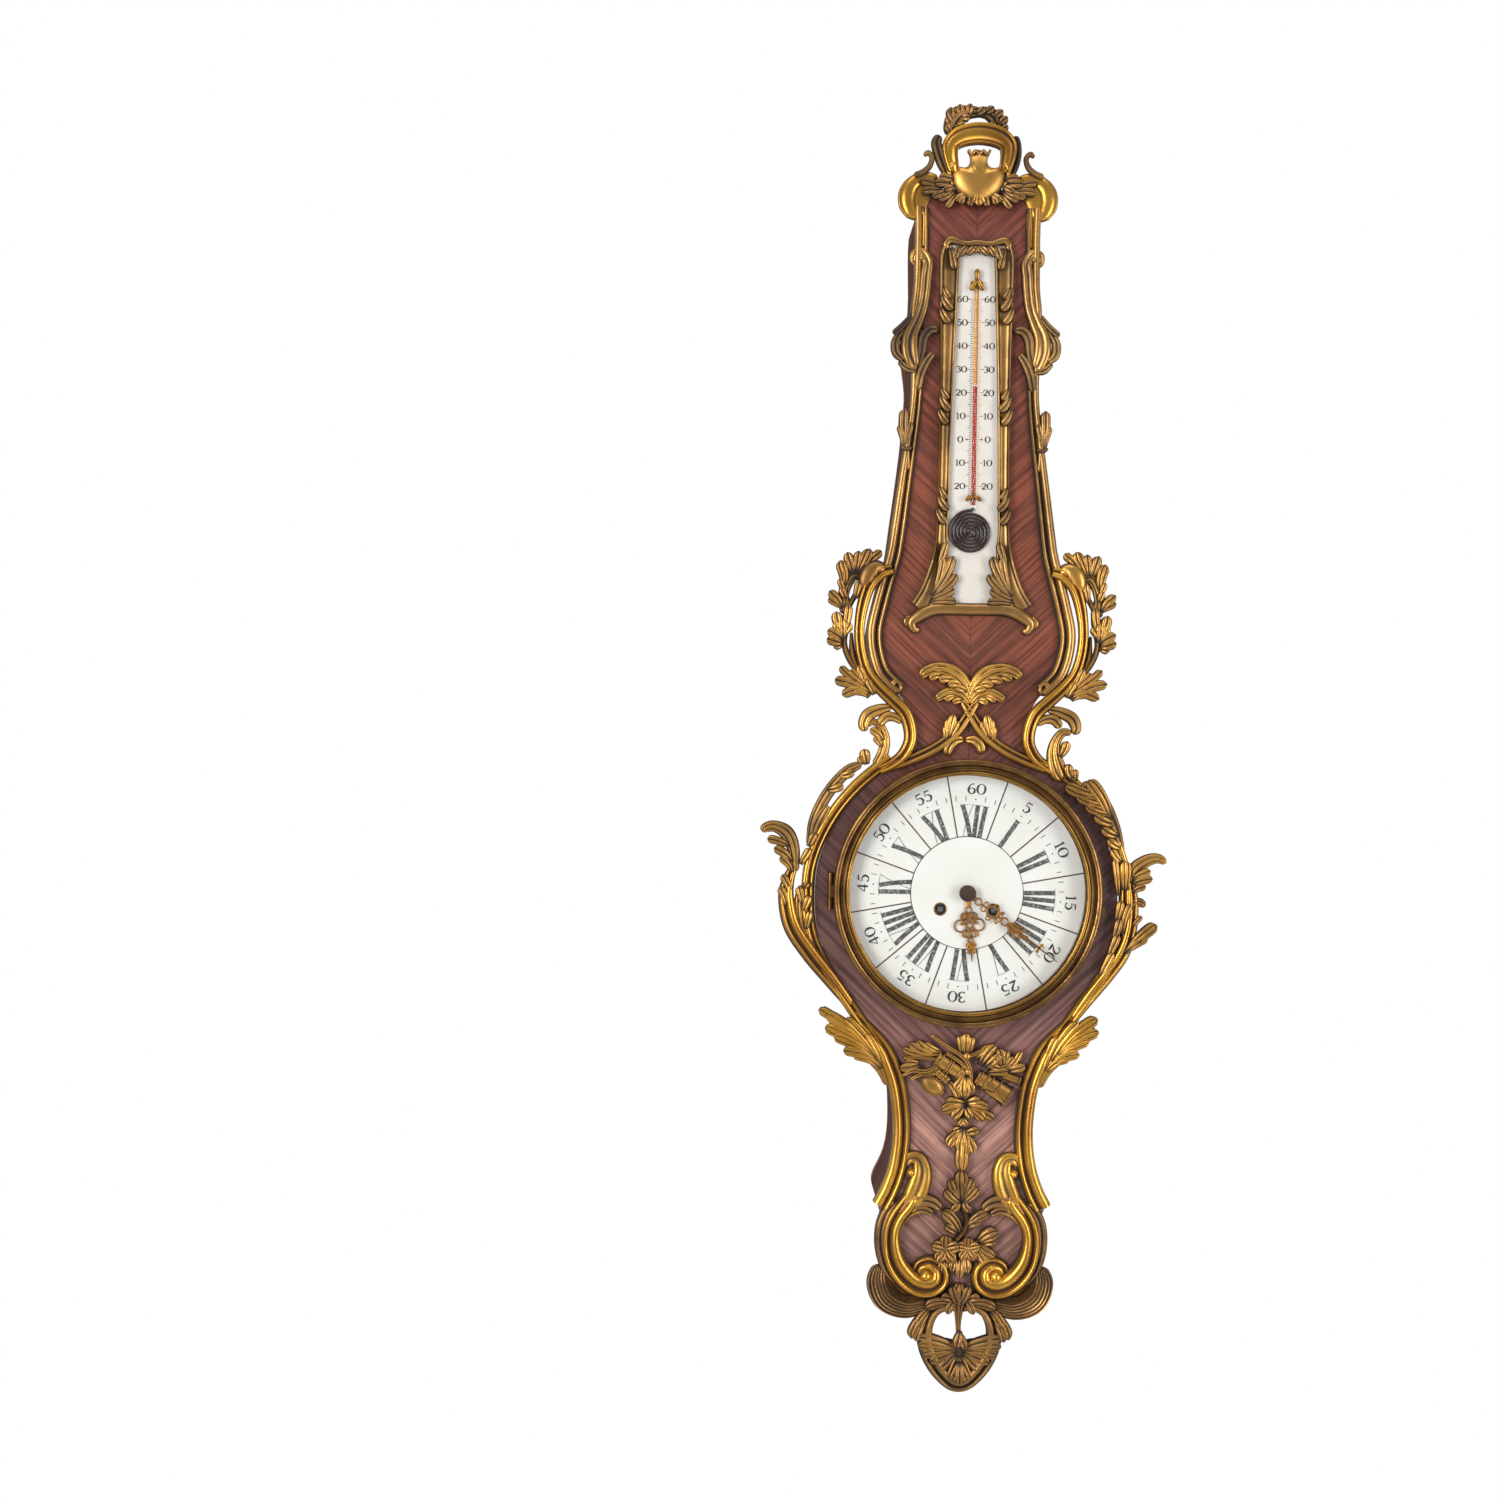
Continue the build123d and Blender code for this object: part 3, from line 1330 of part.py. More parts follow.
with BuildPart() as hand_collet:
    add(cylinder((0, 0), minute_hand_level + hand_thick, minute_hand_level + hand_thick + collet_thick,
                 collet_radius))
hand_collet.part.label = "hand_collet"
export_step(hand_collet.part, "parts/hand_collet.step")

# Barrels, and the winding arbors that carry their ratchets and squares
for name, side, level, drum_low in (
    ("going_barrel", 1, going_wheel_level, going_wheel_level - barrel_length),
    ("strike_barrel", -1, strike_wheel_level, strike_wheel_level - barrel_length),
):
    spot = (side * winding_x, winding_z)
    with BuildPart() as barrel:
        add(wheel(spot, level, great_teeth, great_module, toward(*spot, 0, 0), barrel_radius))
        add(cylinder(spot, drum_low, level, barrel_radius))
        with BuildSketch(front(drum_low + barrel_cap)):
            with Locations(from_dial(*spot)):
                Circle(barrel_radius - barrel_cap)
        extrude(amount=barrel_length - barrel_cap, mode=Mode.SUBTRACT)
        with BuildSketch(front(drum_low)):
            with Locations(from_dial(*spot)):
                Circle(winder_radius + run_gap)
        extrude(amount=barrel_length + 2 * wheel_thick, mode=Mode.SUBTRACT)
    barrel.part.label = name
    export_step(barrel.part, "parts/" + name + ".step")

ratchet_tooth_shares = (0.6, 0.8, 0.5, 0.1)
ratchet_module = 2 * ratchet_radius / ratchet_teeth
for name, side in (("going_winder", 1), ("strike_winder", -1)):
    spot = (side * winding_x, winding_z)
    with BuildPart() as winder:
        add(cylinder(spot, pivot_low, motion_level + clear_gap + wheel_thick, winder_radius))
        with BuildSketch(front(motion_level + clear_gap)):
            with Locations(from_dial(*spot)):
                add(gear(ratchet_teeth, ratchet_module, ratchet_tooth_shares, 90))
        extrude(amount=wheel_thick)
        with BuildSketch(front(motion_level + clear_gap + wheel_thick)):
            with Locations(from_dial(*spot)):
                Rectangle(winder_square, winder_square)
        extrude(amount=dial_level + winder_tip - motion_level - clear_gap - wheel_thick)
    winder.part.label = name
    export_step(winder.part, "parts/" + name + ".step")

# Pendulum: the pallets' arbor carries the rod behind the back plate
pallet_spot = (0, pallet_drop)
pallet_reach = escape_radius * pallet_reach_share
pallet_turn = 33
with BuildPart() as pallet_arbor:
    add(cylinder(pallet_spot, rod_level - hub_radius / 2, pivot_high, arbor_radius))
    with BuildSketch(front(escape_wheel_level)):
        with Locations(from_dial(*pallet_spot)):
            Circle(hub_radius)
        for hand in (1, -1):
            angle = radians(90 - hand * pallet_turn)
            knee = from_dial(pallet_reach * pallet_heel_share * cos(angle),
                             escape_up + pallet_reach * pallet_heel_share * sin(angle))
            heel = from_dial(pallet_reach * cos(angle), escape_up + pallet_reach * sin(angle))
            with BuildLine():
                Polyline(from_dial(0, pallet_drop + rod_radius), from_dial(0, pallet_drop - rod_radius),
                         heel, knee, close=True)
            make_face()
    extrude(amount=wheel_thick)
pallet_arbor.part.label = "pallet_arbor"
export_step(pallet_arbor.part, "parts/pallet_arbor.step")

bob_z = dial_z + pallet_drop - pendulum_length
nut_z = bob_z - bob_radius - nut_thick
with BuildPart() as pendulum:
    with BuildSketch(front(rod_level - hub_radius / 2)):
        with Locations(from_dial(*pallet_spot)):
            Circle(hub_radius)
            Circle(arbor_radius, mode=Mode.SUBTRACT)
    extrude(amount=hub_radius)
    with BuildSketch(Plane.XY.offset(nut_z - nut_thick)):
        with Locations((0, -rod_level)):
            Circle(rod_radius)
    extrude(amount=dial_z + pallet_drop - arbor_radius - 2 * run_gap - nut_z + nut_thick)
    with BuildSketch(front(rod_level - hub_radius)):
        with Locations(from_dial(*pallet_spot)):
            Circle(arbor_radius)
    extrude(amount=2 * hub_radius, mode=Mode.SUBTRACT)
    with BuildSketch(Plane.XY.offset(nut_z)):
        with Locations((0, -rod_level)):
            Circle(nut_radius)
    extrude(amount=nut_thick)
pendulum.part.label = "pendulum"
export_step(pendulum.part, "parts/pendulum.step")

with BuildPart() as pendulum_bob:
    with BuildSketch(Plane.XY.offset(bob_z)):
        with BuildLine():
            ThreePointArc((0, -rod_level - bob_thick / 2), (bob_radius / sqrt(2), -rod_level - bob_thick / 3),
                          (bob_radius, -rod_level))
            ThreePointArc((0, -rod_level + bob_thick / 2), (bob_radius / sqrt(2), -rod_level + bob_thick / 3),
                          (bob_radius, -rod_level))
            Line((0, -rod_level - bob_thick / 2), (0, -rod_level + bob_thick / 2))
        make_face()
    revolve(axis=Axis((0, 0, bob_z), (0, 1, 0)))
    with BuildSketch(Plane.XY.offset(bob_z - 2 * bob_radius)):
        with Locations((0, -rod_level)):
            Circle(rod_radius)
    extrude(amount=4 * bob_radius, mode=Mode.SUBTRACT)
pendulum_bob.part.label = "pendulum_bob"
export_step(pendulum_bob.part, "parts/pendulum_bob.step")

# Bell and hammer
bell_middle = radians(bell_middle_degrees)
bell_shoulder = bell_depth * (1 - cos(bell_middle))
with BuildPart() as bell:
    with BuildSketch(Plane.XY.offset(dial_z + bell_up)):
        with BuildLine():
            ThreePointArc((bell_x + bell_flat_radius, -bell_level),
                          (bell_x + bell_radius * cos(bell_middle), -bell_level - bell_shoulder),
                          (bell_x + bell_radius, -bell_level - bell_depth))
            ThreePointArc((bell_x + bell_flat_radius, -bell_level - bell_wall),
                          (bell_x + (bell_radius - bell_wall) * cos(bell_middle),
                           -bell_level - bell_wall - bell_shoulder),
                          (bell_x + bell_radius - bell_wall, -bell_level - bell_depth))
            Line((bell_x + bell_radius, -bell_level - bell_depth),
                 (bell_x + bell_radius - bell_wall, -bell_level - bell_depth))
            Polyline((bell_x + bell_flat_radius, -bell_level), (bell_x, -bell_level),
                     (bell_x, -bell_level - bell_wall),
                     (bell_x + bell_flat_radius, -bell_level - bell_wall))
        make_face()
    revolve(axis=Axis((bell_x, 0, dial_z + bell_up), (0, 1, 0)))
bell.part.label = "bell"
export_step(bell.part, "parts/bell.step")

with BuildPart() as hammer:
    add(cylinder((hammer_x, hammer_up), hammer_level, pivot_high, arbor_radius))
    with BuildSketch(front(hammer_level)):
        with Locations(from_dial(hammer_x, hammer_up)):
            Circle(hub_radius)
        with Locations(from_dial(hammer_head_x, hammer_head_up)):
            Circle(hammer_head_radius)
        add(strip([from_dial(hammer_x, hammer_up), from_dial(hammer_head_x, hammer_head_up)],
                  hammer_arm_width / 2, hammer_arm_width / 2, stations=2))
    extrude(amount=hammer_arm_width)
    add(cylinder((hammer_head_x, hammer_head_up), hammer_level, hammer_level + hammer_head_length,
                 hammer_head_radius))
hammer.part.label = "hammer"
export_step(hammer.part, "parts/hammer.step")
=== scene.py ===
# %% [markdown]
# # Dressing a wall clock with gilt mounts
# The clock hangs on a wall: a violin-shaped case in veneer, a thermometer on its neck, a dial of
# enamel plaques at its waist and cast, gilded mounts round every edge. The CAD model holds the
# sizes and the moving parts. Here each surface gets its finish, and the cast mounts get their
# carving. All work is done in metres, in the CAD model's own frame.

# %% Load the fixed frame
import math

import bmesh
import bpy
import numpy as np
from mathutils import Matrix, Vector


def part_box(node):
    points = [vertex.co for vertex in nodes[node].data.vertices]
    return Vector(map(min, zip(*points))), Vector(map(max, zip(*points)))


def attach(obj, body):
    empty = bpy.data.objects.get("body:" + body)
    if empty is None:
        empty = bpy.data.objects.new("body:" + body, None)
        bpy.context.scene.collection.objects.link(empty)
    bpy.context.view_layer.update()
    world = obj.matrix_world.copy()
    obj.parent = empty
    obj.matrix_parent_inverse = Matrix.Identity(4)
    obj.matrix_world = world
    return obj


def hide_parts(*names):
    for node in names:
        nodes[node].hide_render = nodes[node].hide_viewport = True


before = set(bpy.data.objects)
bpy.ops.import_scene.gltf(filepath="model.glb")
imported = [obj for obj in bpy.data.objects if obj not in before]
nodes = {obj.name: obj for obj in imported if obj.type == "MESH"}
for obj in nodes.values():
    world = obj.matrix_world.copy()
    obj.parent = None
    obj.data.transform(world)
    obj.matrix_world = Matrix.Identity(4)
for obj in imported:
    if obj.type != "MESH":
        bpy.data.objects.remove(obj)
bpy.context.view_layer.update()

# %% [markdown]
# The mounts are drawn as a carver would, on the front of the case: across, up, and how far a
# place stands out from the wood. The unit is a thousandth of the clock's height, which the CAD
# drawing also uses, so the two agree. One function turns drawing units into the frame's metres.

# %% The drawing unit, the dial's centre and the wood's front, all read from the frame
dial_low, dial_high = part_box("dial_plate")
panel_low, panel_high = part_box("front_panel")
SHOULDER_UP = 545.0
DIAL_Z = (dial_low[2] + dial_high[2]) / 2
UNIT = (panel_high[2] - DIAL_Z) / SHOULDER_UP
PANEL_Y = panel_low[1]
MM = 0.001


def to_frame(spots):
    """Drawing units (across, up, out) to metres in the frame."""
    spots = np.asarray(spots, float)
    return np.stack([spots[:, 0] * UNIT, PANEL_Y - spots[:, 2] * UNIT, DIAL_Z + spots[:, 1] * UNIT], 1)


def level_of(node):
    """How far a node's front stands out from the wood, in drawing units."""
    return (PANEL_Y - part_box(node)[0][1]) / UNIT


print("unit mm", UNIT / MM, "dial z", DIAL_Z, "wood front y", PANEL_Y)

# %% [markdown]
# Every cast mount is made of limbs: a section carried along a line, wide or narrow, high or low
# as it goes. A leaf is a body with round-ended lobes laid over it, each furrowed or stranded, which
# is how a chaser cuts it in wax before it is cast. A limb is closed at its back and ends, and it
# keeps a number for each point, its relief: 1 on the crests that hands and cloths rub bright, 0
# in the hollows where old wax and dust stay dark and where it also paints in the shade that falls
# there. The gilding reads it.

# %% Lines
SPLINE_STEPS = 24


def smooth_line(rows, steps):
    """Rows of numbers along a line, made dense by a spline that passes through every row."""
    rows = np.asarray(rows, float)
    padded = np.vstack([2 * rows[0] - rows[1], rows, 2 * rows[-1] - rows[-2]])
    fine = []
    for i in range(len(rows) - 1):
        p0, p1, p2, p3 = padded[i:i + 4]
        for t in np.linspace(0, 1, SPLINE_STEPS, endpoint=False):
            fine.append(0.5 * (2 * p1 + (p2 - p0) * t + (2 * p0 - 5 * p1 + 4 * p2 - p3) * t ** 2
                               + (3 * p1 - p0 - 3 * p2 + p3) * t ** 3))
    fine = np.array(fine + [rows[-1]])
    run = np.concatenate([[0], np.cumsum(np.hypot(*np.diff(fine[:, :2], axis=0).T))])
    places = np.linspace(0, run[-1], steps)
    return np.stack([np.interp(places, run, column) for column in fine.T], 1)


def leftward(line):
    """Unit directions to the left of a line of places."""
    way = np.gradient(line[:, :2], axis=0)
    way = way / np.maximum(np.hypot(*way.T), 1e-9)[:, None]
    return np.stack([-way[:, 1], way[:, 0]], 1)


# %% Sections: across from -1 to 1, height from 0 to 1, relief
BAND = smooth_line([(-1, 0, 0), (-.97, .45, .15), (-.84, .8, .7), (-.6, .98, 1), (-.35, 1, 1),
                    (-.12, .86, .85), (.04, .56, .25), (.12, .4, 0), (.2, .38, 0), (.3, .54, .35),
                    (.46, .74, .9), (.62, .76, .9), (.78, .56, .35), (.88, .28, 0), (1, .2, 0),
                    (1, 0, 0)], 34)
ROUND = smooth_line([(-1, 0, 0), (-.93, .4, .1), (-.78, .68, .5), (-.55, .88, .85), (-.28, .98, 1),
                     (0, 1, 1), (.28, .98, 1), (.55, .88, .85), (.78, .68, .5), (.93, .4, .1), (1, 0, 0)],
                    19)
FURROW = smooth_line([(-1, 0, 0), (-.93, .5, .15), (-.76, .84, .75), (-.5, .98, 1), (-.22, .88, .7),
                      (0, .7, .1), (.22, .88, .7), (.5, .98, 1), (.76, .84, .75), (.93, .5, .15),
                      (1, 0, 0)], 19)
RIB = smooth_line([(-1, 0, 0), (-.8, .25, .1), (-.4, .62, .5), (0, 1, 1), (.4, .62, .5), (.8, .25, .1),
                   (1, 0, 0)], 13)
STRANDS = smooth_line([(-1, 0, 0), (-.95, .45, .15), (-.8, .74, .8), (-.62, .8, .95), (-.46, .64, .15),
                       (-.3, .88, .9), (-.06, 1, 1), (.14, .92, .9), (.28, .7, .15), (.44, .84, .9),
                       (.64, .82, .95), (.82, .62, .6), (.95, .4, .15), (1, 0, 0)], 25)
COVE = smooth_line([(-1, 0, 0), (-.98, .8, .6), (-.86, 1, 1), (-.74, .86, .6), (-.66, .52, .1),
                    (-.4, .4, .8), (0, .36, .95), (.4, .46, .85), (.62, .62, .1), (.72, .84, .7),
                    (.84, .9, 1), (.96, .7, .6), (1, 0, 0)], 28)
SHELL = smooth_line([(-1, 0, 0)] + [(u / 7, 0.5 + 0.45 * math.cos(u / 7 * 1.3) - 0.17 * (u % 2),
                                     1 - 0.95 * (u % 2)) for u in range(-6, 7)] + [(1, 0, 0)], 47)
FLAT = np.array([(-1, 0, 1), (-1, 1, 1), (1, 1, 1), (1, 0, 1)])
print("sections ready:", len(BAND), "points in a band")


# %% Limbs
def tube_faces(rings, sides):
    """Faces between equal rings of points, and one over each end."""
    faces = []
    for i in range(rings - 1):
        for j in range(sides):
            k = (j + 1) % sides
            faces.append((i * sides + j, i * sides + k, (i + 1) * sides + k, (i + 1) * sides + j))
    return faces + [tuple(range(sides)), tuple(range((rings - 1) * sides, rings * sides))]


class Carving:
    """Collects limbs in drawing units until they become one cast piece."""

    def __init__(self):
        self.spots, self.faces, self.relief, self.count = [], [], [], 0

    def add(self, spots, faces, relief):
        self.spots.append(spots)
        self.faces += [tuple(i + self.count for i in face) for face in faces]
        self.relief.append(relief)
        self.count += len(spots)

    def limb(self, line, half, rise, lift=0.0, section=ROUND, side=1, shade=1.0):
        """Carries a section along a line. Half width, rise and lift are numbers or one per place."""
        line = np.asarray(line, float)
        count = len(line)
        half, rise, lift = (np.broadcast_to(np.asarray(v, float), count) for v in (half, rise, lift))
        aside = leftward(line)[:, None, :] * (section[:, 0] * half[:, None])[..., None]
        flat = line[:, None, :2] + aside
        out = lift[:, None] + section[:, 1] * rise[:, None]
        spots = np.concatenate([flat, out[..., None]], 2).reshape(-1, 3)
        spots[:, 0] *= side
        shade = np.broadcast_to(np.asarray(shade, float), count)
        self.add(spots, tube_faces(count, len(section)), (shade[:, None] * section[:, 2]).ravel())

    def button(self, x, z, radius, rise, lift=0.0, side=1, rings=7, sides=18):
        """A round boss with a low dome."""
        spots, relief = [], []
        for i in range(rings):
            tilt = math.pi / 2 * i / (rings - 1)
            for j in range(sides):
                turn = 2 * math.pi * j / sides
                reach = radius * (math.cos(tilt) if i < rings - 1 else 0.06)
                spots.append((side * (x + reach * math.cos(turn)), z + reach * math.sin(turn),
                              lift + rise * math.sin(tilt)))
                # Relief falls toward the foot of the boss, which darkens there as painted shade.
                relief.append(0.15 + 0.85 * i / (rings - 1))
        self.add(np.array(spots), tube_faces(rings, sides), np.array(relief))

    def cushion(self, outline, rise, lift=0.0, side=1, rings=8, shade=1.0, heart=None):
        """A domed plate inside an outline."""
        outline = np.asarray(outline, float)
        centre = outline.mean(0) if heart is None else np.asarray(heart, float)
        count = len(outline)
        tilts = np.linspace(0, np.pi / 2, rings)
        reach = np.append(np.cos(tilts[:-1]) ** 0.7, 0.04)
        flat = centre + (outline - centre) * reach[:, None, None]
        out = np.broadcast_to((lift + rise * np.sin(tilts))[:, None, None], (rings, count, 1))
        spots = np.concatenate([flat, out], 2).reshape(-1, 3) * (side, 1, 1)
        # Relief falls toward the outline, so the plate darkens at its edge as painted shade.
        self.add(spots, tube_faces(rings, count), np.repeat(np.linspace(0.2, 1, rings), count) * shade)


# %% Leaves: the lobes that every leaf is built from
LAST_RING = 0.996
LOBE_FULLNESS = 1.4
STRANDED_FROM = 4.6


def frond(carving, rows, side=1, lift=2.0, rise=0.75, tip=1.6):
    """Round-ended lobes: root across and up, tip across and up, half width, and a sideways bow if any."""
    share = np.linspace(0, 1, 16)
    share[-1] = LAST_RING
    for x, z, tip_x, tip_z, half, *bow in rows:
        along = np.array([tip_x - x, tip_z - z])
        aside = np.array([-along[1], along[0]]) / np.hypot(*along) * (bow[0] if bow else 0.0)
        half *= LOBE_FULLNESS
        profile = STRANDS if half > STRANDED_FROM else FURROW
        start = 1 - min(0.55, half / np.hypot(*along))
        swell = np.interp(share, [0, 0.35, 0.7, 1], [0.5, 0.85, 1, 0.95])
        swell *= np.sqrt(1 - np.clip((share - start) / (1 - start), 0, 1) ** 2)
        line = np.array([x, z]) + np.outer(share, along) + np.outer(np.sin(np.pi * share), aside)
        height = (0.8 + half * rise) * np.interp(share, [0, 0.6, 1], [0.7, 1, 0.8])
        level = lift + 0.6 * np.sin(np.pi * share) + tip * share ** 3
        # Painted shade: the relief drops where a lobe tucks under at its root and at its curled tip.
        rubbed_and_shaded = np.interp(share, [0, 0.3, 0.8, 1], [0.2, 0.95, 1, 0.55])
        carving.limb(line, half * np.maximum(swell, 0.12), height, level, profile, side, rubbed_and_shaded)


print("a lobe over", STRANDED_FROM, "units of half width is stranded instead of furrowed")

# %% [markdown]
# A piece leaves the drawing as one mesh: its places go to metres, its faces are turned outward,
# and edges sharper than a set angle stay crisp while all others shade round. Its relief goes
# along as a point attribute.

# %% From a carving to a finished piece
def finish_mesh(mesh, sharp_degrees=42):
    """Turns faces outward and shades them round, with crisp corners."""
    edit = bmesh.new()
    edit.from_mesh(mesh)
    bmesh.ops.recalc_face_normals(edit, faces=edit.faces)
    edit.to_mesh(mesh)
    edit.free()
    mesh.polygons.foreach_set("use_smooth", np.ones(len(mesh.polygons), bool))
    mesh.set_sharp_from_angle(angle=math.radians(sharp_degrees))


def add_piece(name, mesh, body, stands_for=()):
    """Puts a mesh in the scene, lets it ride on a body and hides the CAD parts it stands for."""
    piece = bpy.data.objects.new(name, mesh)
    bpy.context.scene.collection.objects.link(piece)
    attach(piece, body)
    if stands_for:
        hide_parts(*stands_for)
    print("piece", name, len(mesh.polygons), "faces")


def cast(name, carving, material, stands_for=(), body="case"):
    """A carving becomes a piece."""
    mesh = bpy.data.meshes.new(name)
    mesh.from_pydata(to_frame(np.vstack(carving.spots)).tolist(), [], carving.faces)
    relief = mesh.attributes.new("relief", "FLOAT", "POINT")
    relief.data.foreach_set("value", np.concatenate(carving.relief).astype(np.float32))
    mesh.materials.append(material)
    finish_mesh(mesh, sharp_degrees=70)
    add_piece(name, mesh, body, stands_for)


# %% [markdown]
# ## Finishes
# Old gilding is two things at once: bright gold where it is rubbed, and brown wax, soot and
# bare bronze in the hollows, and here the same brown also paints in the shade of the hollows.
# Four gilt finishes need that, one of them for the duller mounts of the neck, so grime and
# painted shade are one shared node group that turns relief and noise into a mask. The grain of
# the wood is a group too. The shader itself stays in each material.

# %% Helpers for node trees
def wire(tree, kind, links=None, **settings):
    """Adds a node. Links is a dictionary of input name or number to a value or a socket."""
    made = tree.nodes.new(kind)
    for key, value in settings.items():
        setattr(made, key, value)
    for key, value in (links or {}).items():
        socket = made.inputs[key]
        if isinstance(value, bpy.types.NodeSocket):
            tree.links.new(value, socket)
        else:
            socket.default_value = value
    return made


def math_node(tree, operation, *values, clamp=False):
    made = wire(tree, "ShaderNodeMath", dict(enumerate(values)), operation=operation, use_clamp=clamp)
    return made.outputs[0]


def mix_colour(tree, share, first, second, blend="MIX"):
    made = wire(tree, "ShaderNodeMix", data_type="RGBA", blend_type=blend)
    for number, value in ((0, share), (6, first), (7, second)):
        if isinstance(value, bpy.types.NodeSocket):
            tree.links.new(value, made.inputs[number])
        else:
            made.inputs[number].default_value = value
    return made.outputs[2]


def span(tree, value, low, high, first=0.0, last=1.0, smooth=False):
    """Value from low to high becomes first to last."""
    made = wire(tree, "ShaderNodeMapRange", {"Value": value, "From Min": low, "From Max": high,
                                             "To Min": first, "To Max": last},
                interpolation_type="SMOOTHSTEP" if smooth else "LINEAR")
    return made.outputs[0]


def noise(tree, place, scale, detail=3.0, rough=0.55):
    made = wire(tree, "ShaderNodeTexNoise", {"Vector": place, "Scale": scale, "Detail": detail,
                                             "Roughness": rough})
    return made.outputs["Fac"]


def rgb(code):
    """A colour written as six hex digits, as the linear numbers that shaders use."""
    values = [int(code[i:i + 2], 16) / 255 for i in (0, 2, 4)]
    return [v / 12.92 if v < 0.04045 else ((v + 0.055) / 1.055) ** 2.4 for v in values] + [1.0]


def shader_group(name, inputs, outputs):
    """An empty shader group with named sockets: inputs as (name, kind, value)."""
    group = bpy.data.node_groups.new(name, "ShaderNodeTree")
    for title, kind, value in inputs:
        socket = group.interface.new_socket(title, in_out="INPUT", socket_type="NodeSocket" + kind)
        if value is not None:
            socket.default_value = value
    for title, kind in outputs:
        group.interface.new_socket(title, in_out="OUTPUT", socket_type="NodeSocket" + kind)
    return group, group.nodes.new("NodeGroupInput"), group.nodes.new("NodeGroupOutput")


# %% Shared effect: grime and painted shade in the hollows
def build_grime_group():
    group, given, result = shader_group(
        "Grime and painted shade in the hollows",
        [("Place", "Vector", None), ("Relief", "Float", 0.5), ("Amount", "Float", 0.6),
         ("Grain", "Float", 90.0)],
        [("Mask", "Float"), ("Speck", "Float"), ("Cloud", "Float")])
    place = given.outputs["Place"]
    cloud = noise(group, place, 14.0, 4.0, 0.6)
    speck = noise(group, place, given.outputs["Grain"], 5.0, 0.65)
    depth = math_node(group, "SUBTRACT", 1.0, given.outputs["Relief"])
    wander = math_node(group, "MULTIPLY_ADD", speck, 0.3, -0.15)
    drift = math_node(group, "MULTIPLY_ADD", cloud, 0.9, -0.45)
    total = math_node(group, "ADD", math_node(group, "ADD", depth, wander), drift)
    wanted = math_node(group, "MULTIPLY_ADD", given.outputs["Amount"], 0.9, -0.45)
    held = math_node(group, "ADD", total, wanted)
    mask = span(group, held, 0.16, 0.95, smooth=True)
    for title, value in (("Mask", mask), ("Speck", speck), ("Cloud", cloud)):
        group.links.new(value, result.inputs[title])
    return group


grime_and_shade_group = build_grime_group()


# %% Shared effect: straight grain, with strips of veneer of slightly different tone
def build_grain_group():
    group, given, result = shader_group(
        "Wood grain",
        [("Along", "Float", 0.0), ("Across", "Float", 0.0), ("Strip", "Float", 0.05),
         ("Fine", "Float", 620.0)],
        [("Streak", "Float"), ("Tone", "Float"), ("Seam", "Float"), ("Pore", "Float")])
    along, across = given.outputs["Along"], given.outputs["Across"]
    place = wire(group, "ShaderNodeCombineXYZ", {0: math_node(group, "MULTIPLY", along, 9.0),
                                                 1: math_node(group, "MULTIPLY", across, 240.0)})
    streak = noise(group, place.outputs[0], 1.0, 5.0, 0.62)
    fine = wire(group, "ShaderNodeCombineXYZ",
                {0: math_node(group, "MULTIPLY", along, 42.0),
                 1: math_node(group, "MULTIPLY", across, given.outputs["Fine"])})
    pore = span(group, noise(group, fine.outputs[0], 1.0, 2.0, 0.6), 0.52, 0.72)
    strips = math_node(group, "DIVIDE", across, given.outputs["Strip"])
    tone = wire(group, "ShaderNodeTexWhiteNoise", {"W": math_node(group, "FLOOR", strips)},
                noise_dimensions="1D").outputs["Value"]
    edge = math_node(group, "ABSOLUTE", math_node(group, "SUBTRACT", math_node(group, "FRACT", strips), 0.5))
    seam = span(group, edge, 0.482, 0.496)
    for title, value in (("Streak", streak), ("Tone", tone), ("Seam", seam), ("Pore", pore)):
        group.links.new(value, result.inputs[title])
    return group


grain_group = build_grain_group()
print("shared groups", [g.name for g in bpy.data.node_groups])


# %% A material with its shader ready
def new_material(name):
    """A material, its node tree, its shader node and the object coordinates."""
    material = bpy.data.materials.new(name)
    material.use_nodes = True
    tree = material.node_tree
    shader = tree.nodes["Principled BSDF"]
    place = tree.nodes.new("ShaderNodeTexCoord").outputs["Object"]
    return material, tree, shader, place


def bump(tree, shader, height, strength, depth):
    made = wire(tree, "ShaderNodeBump", {"Height": height, "Strength": strength, "Distance": depth})
    tree.links.new(made.outputs[0], shader.inputs["Normal"])


# %% Gilding
def gilding(name, bright, mellow, hollow, amount, rough=0.27):
    """Gilt bronze, rubbed on the crests, and brown in the hollows with grime and painted shade."""
    material, tree, shader, place = new_material(name)
    relief = wire(tree, "ShaderNodeAttribute", attribute_name="relief").outputs["Fac"]
    grime_and_shade = wire(tree, "ShaderNodeGroup", node_tree=grime_and_shade_group)
    for title, value in (("Place", place), ("Relief", relief)):
        tree.links.new(value, grime_and_shade.inputs[title])
    grime_and_shade.inputs["Amount"].default_value = amount
    mask, speck, cloud = (grime_and_shade.outputs[title] for title in ("Mask", "Speck", "Cloud"))
    gold = mix_colour(tree, span(tree, cloud, 0.35, 0.65), rgb(bright), rgb(mellow))
    # The hollow colour stands for grime and painted shade in the hollows.
    colour = mix_colour(tree, mask, gold, rgb(hollow))
    tree.links.new(colour, shader.inputs["Base Color"])
    tree.links.new(span(tree, mask, 0, 1, 1.0, 0.2), shader.inputs["Metallic"])
    tarnish = math_node(tree, "MULTIPLY_ADD", speck, 0.1, rough - 0.05)
    tree.links.new(math_node(tree, "MULTIPLY_ADD", mask, 0.26, tarnish), shader.inputs["Roughness"])
    bump(tree, shader, noise(tree, place, 700.0, 2.0), 0.04, 0.0003)
    return material


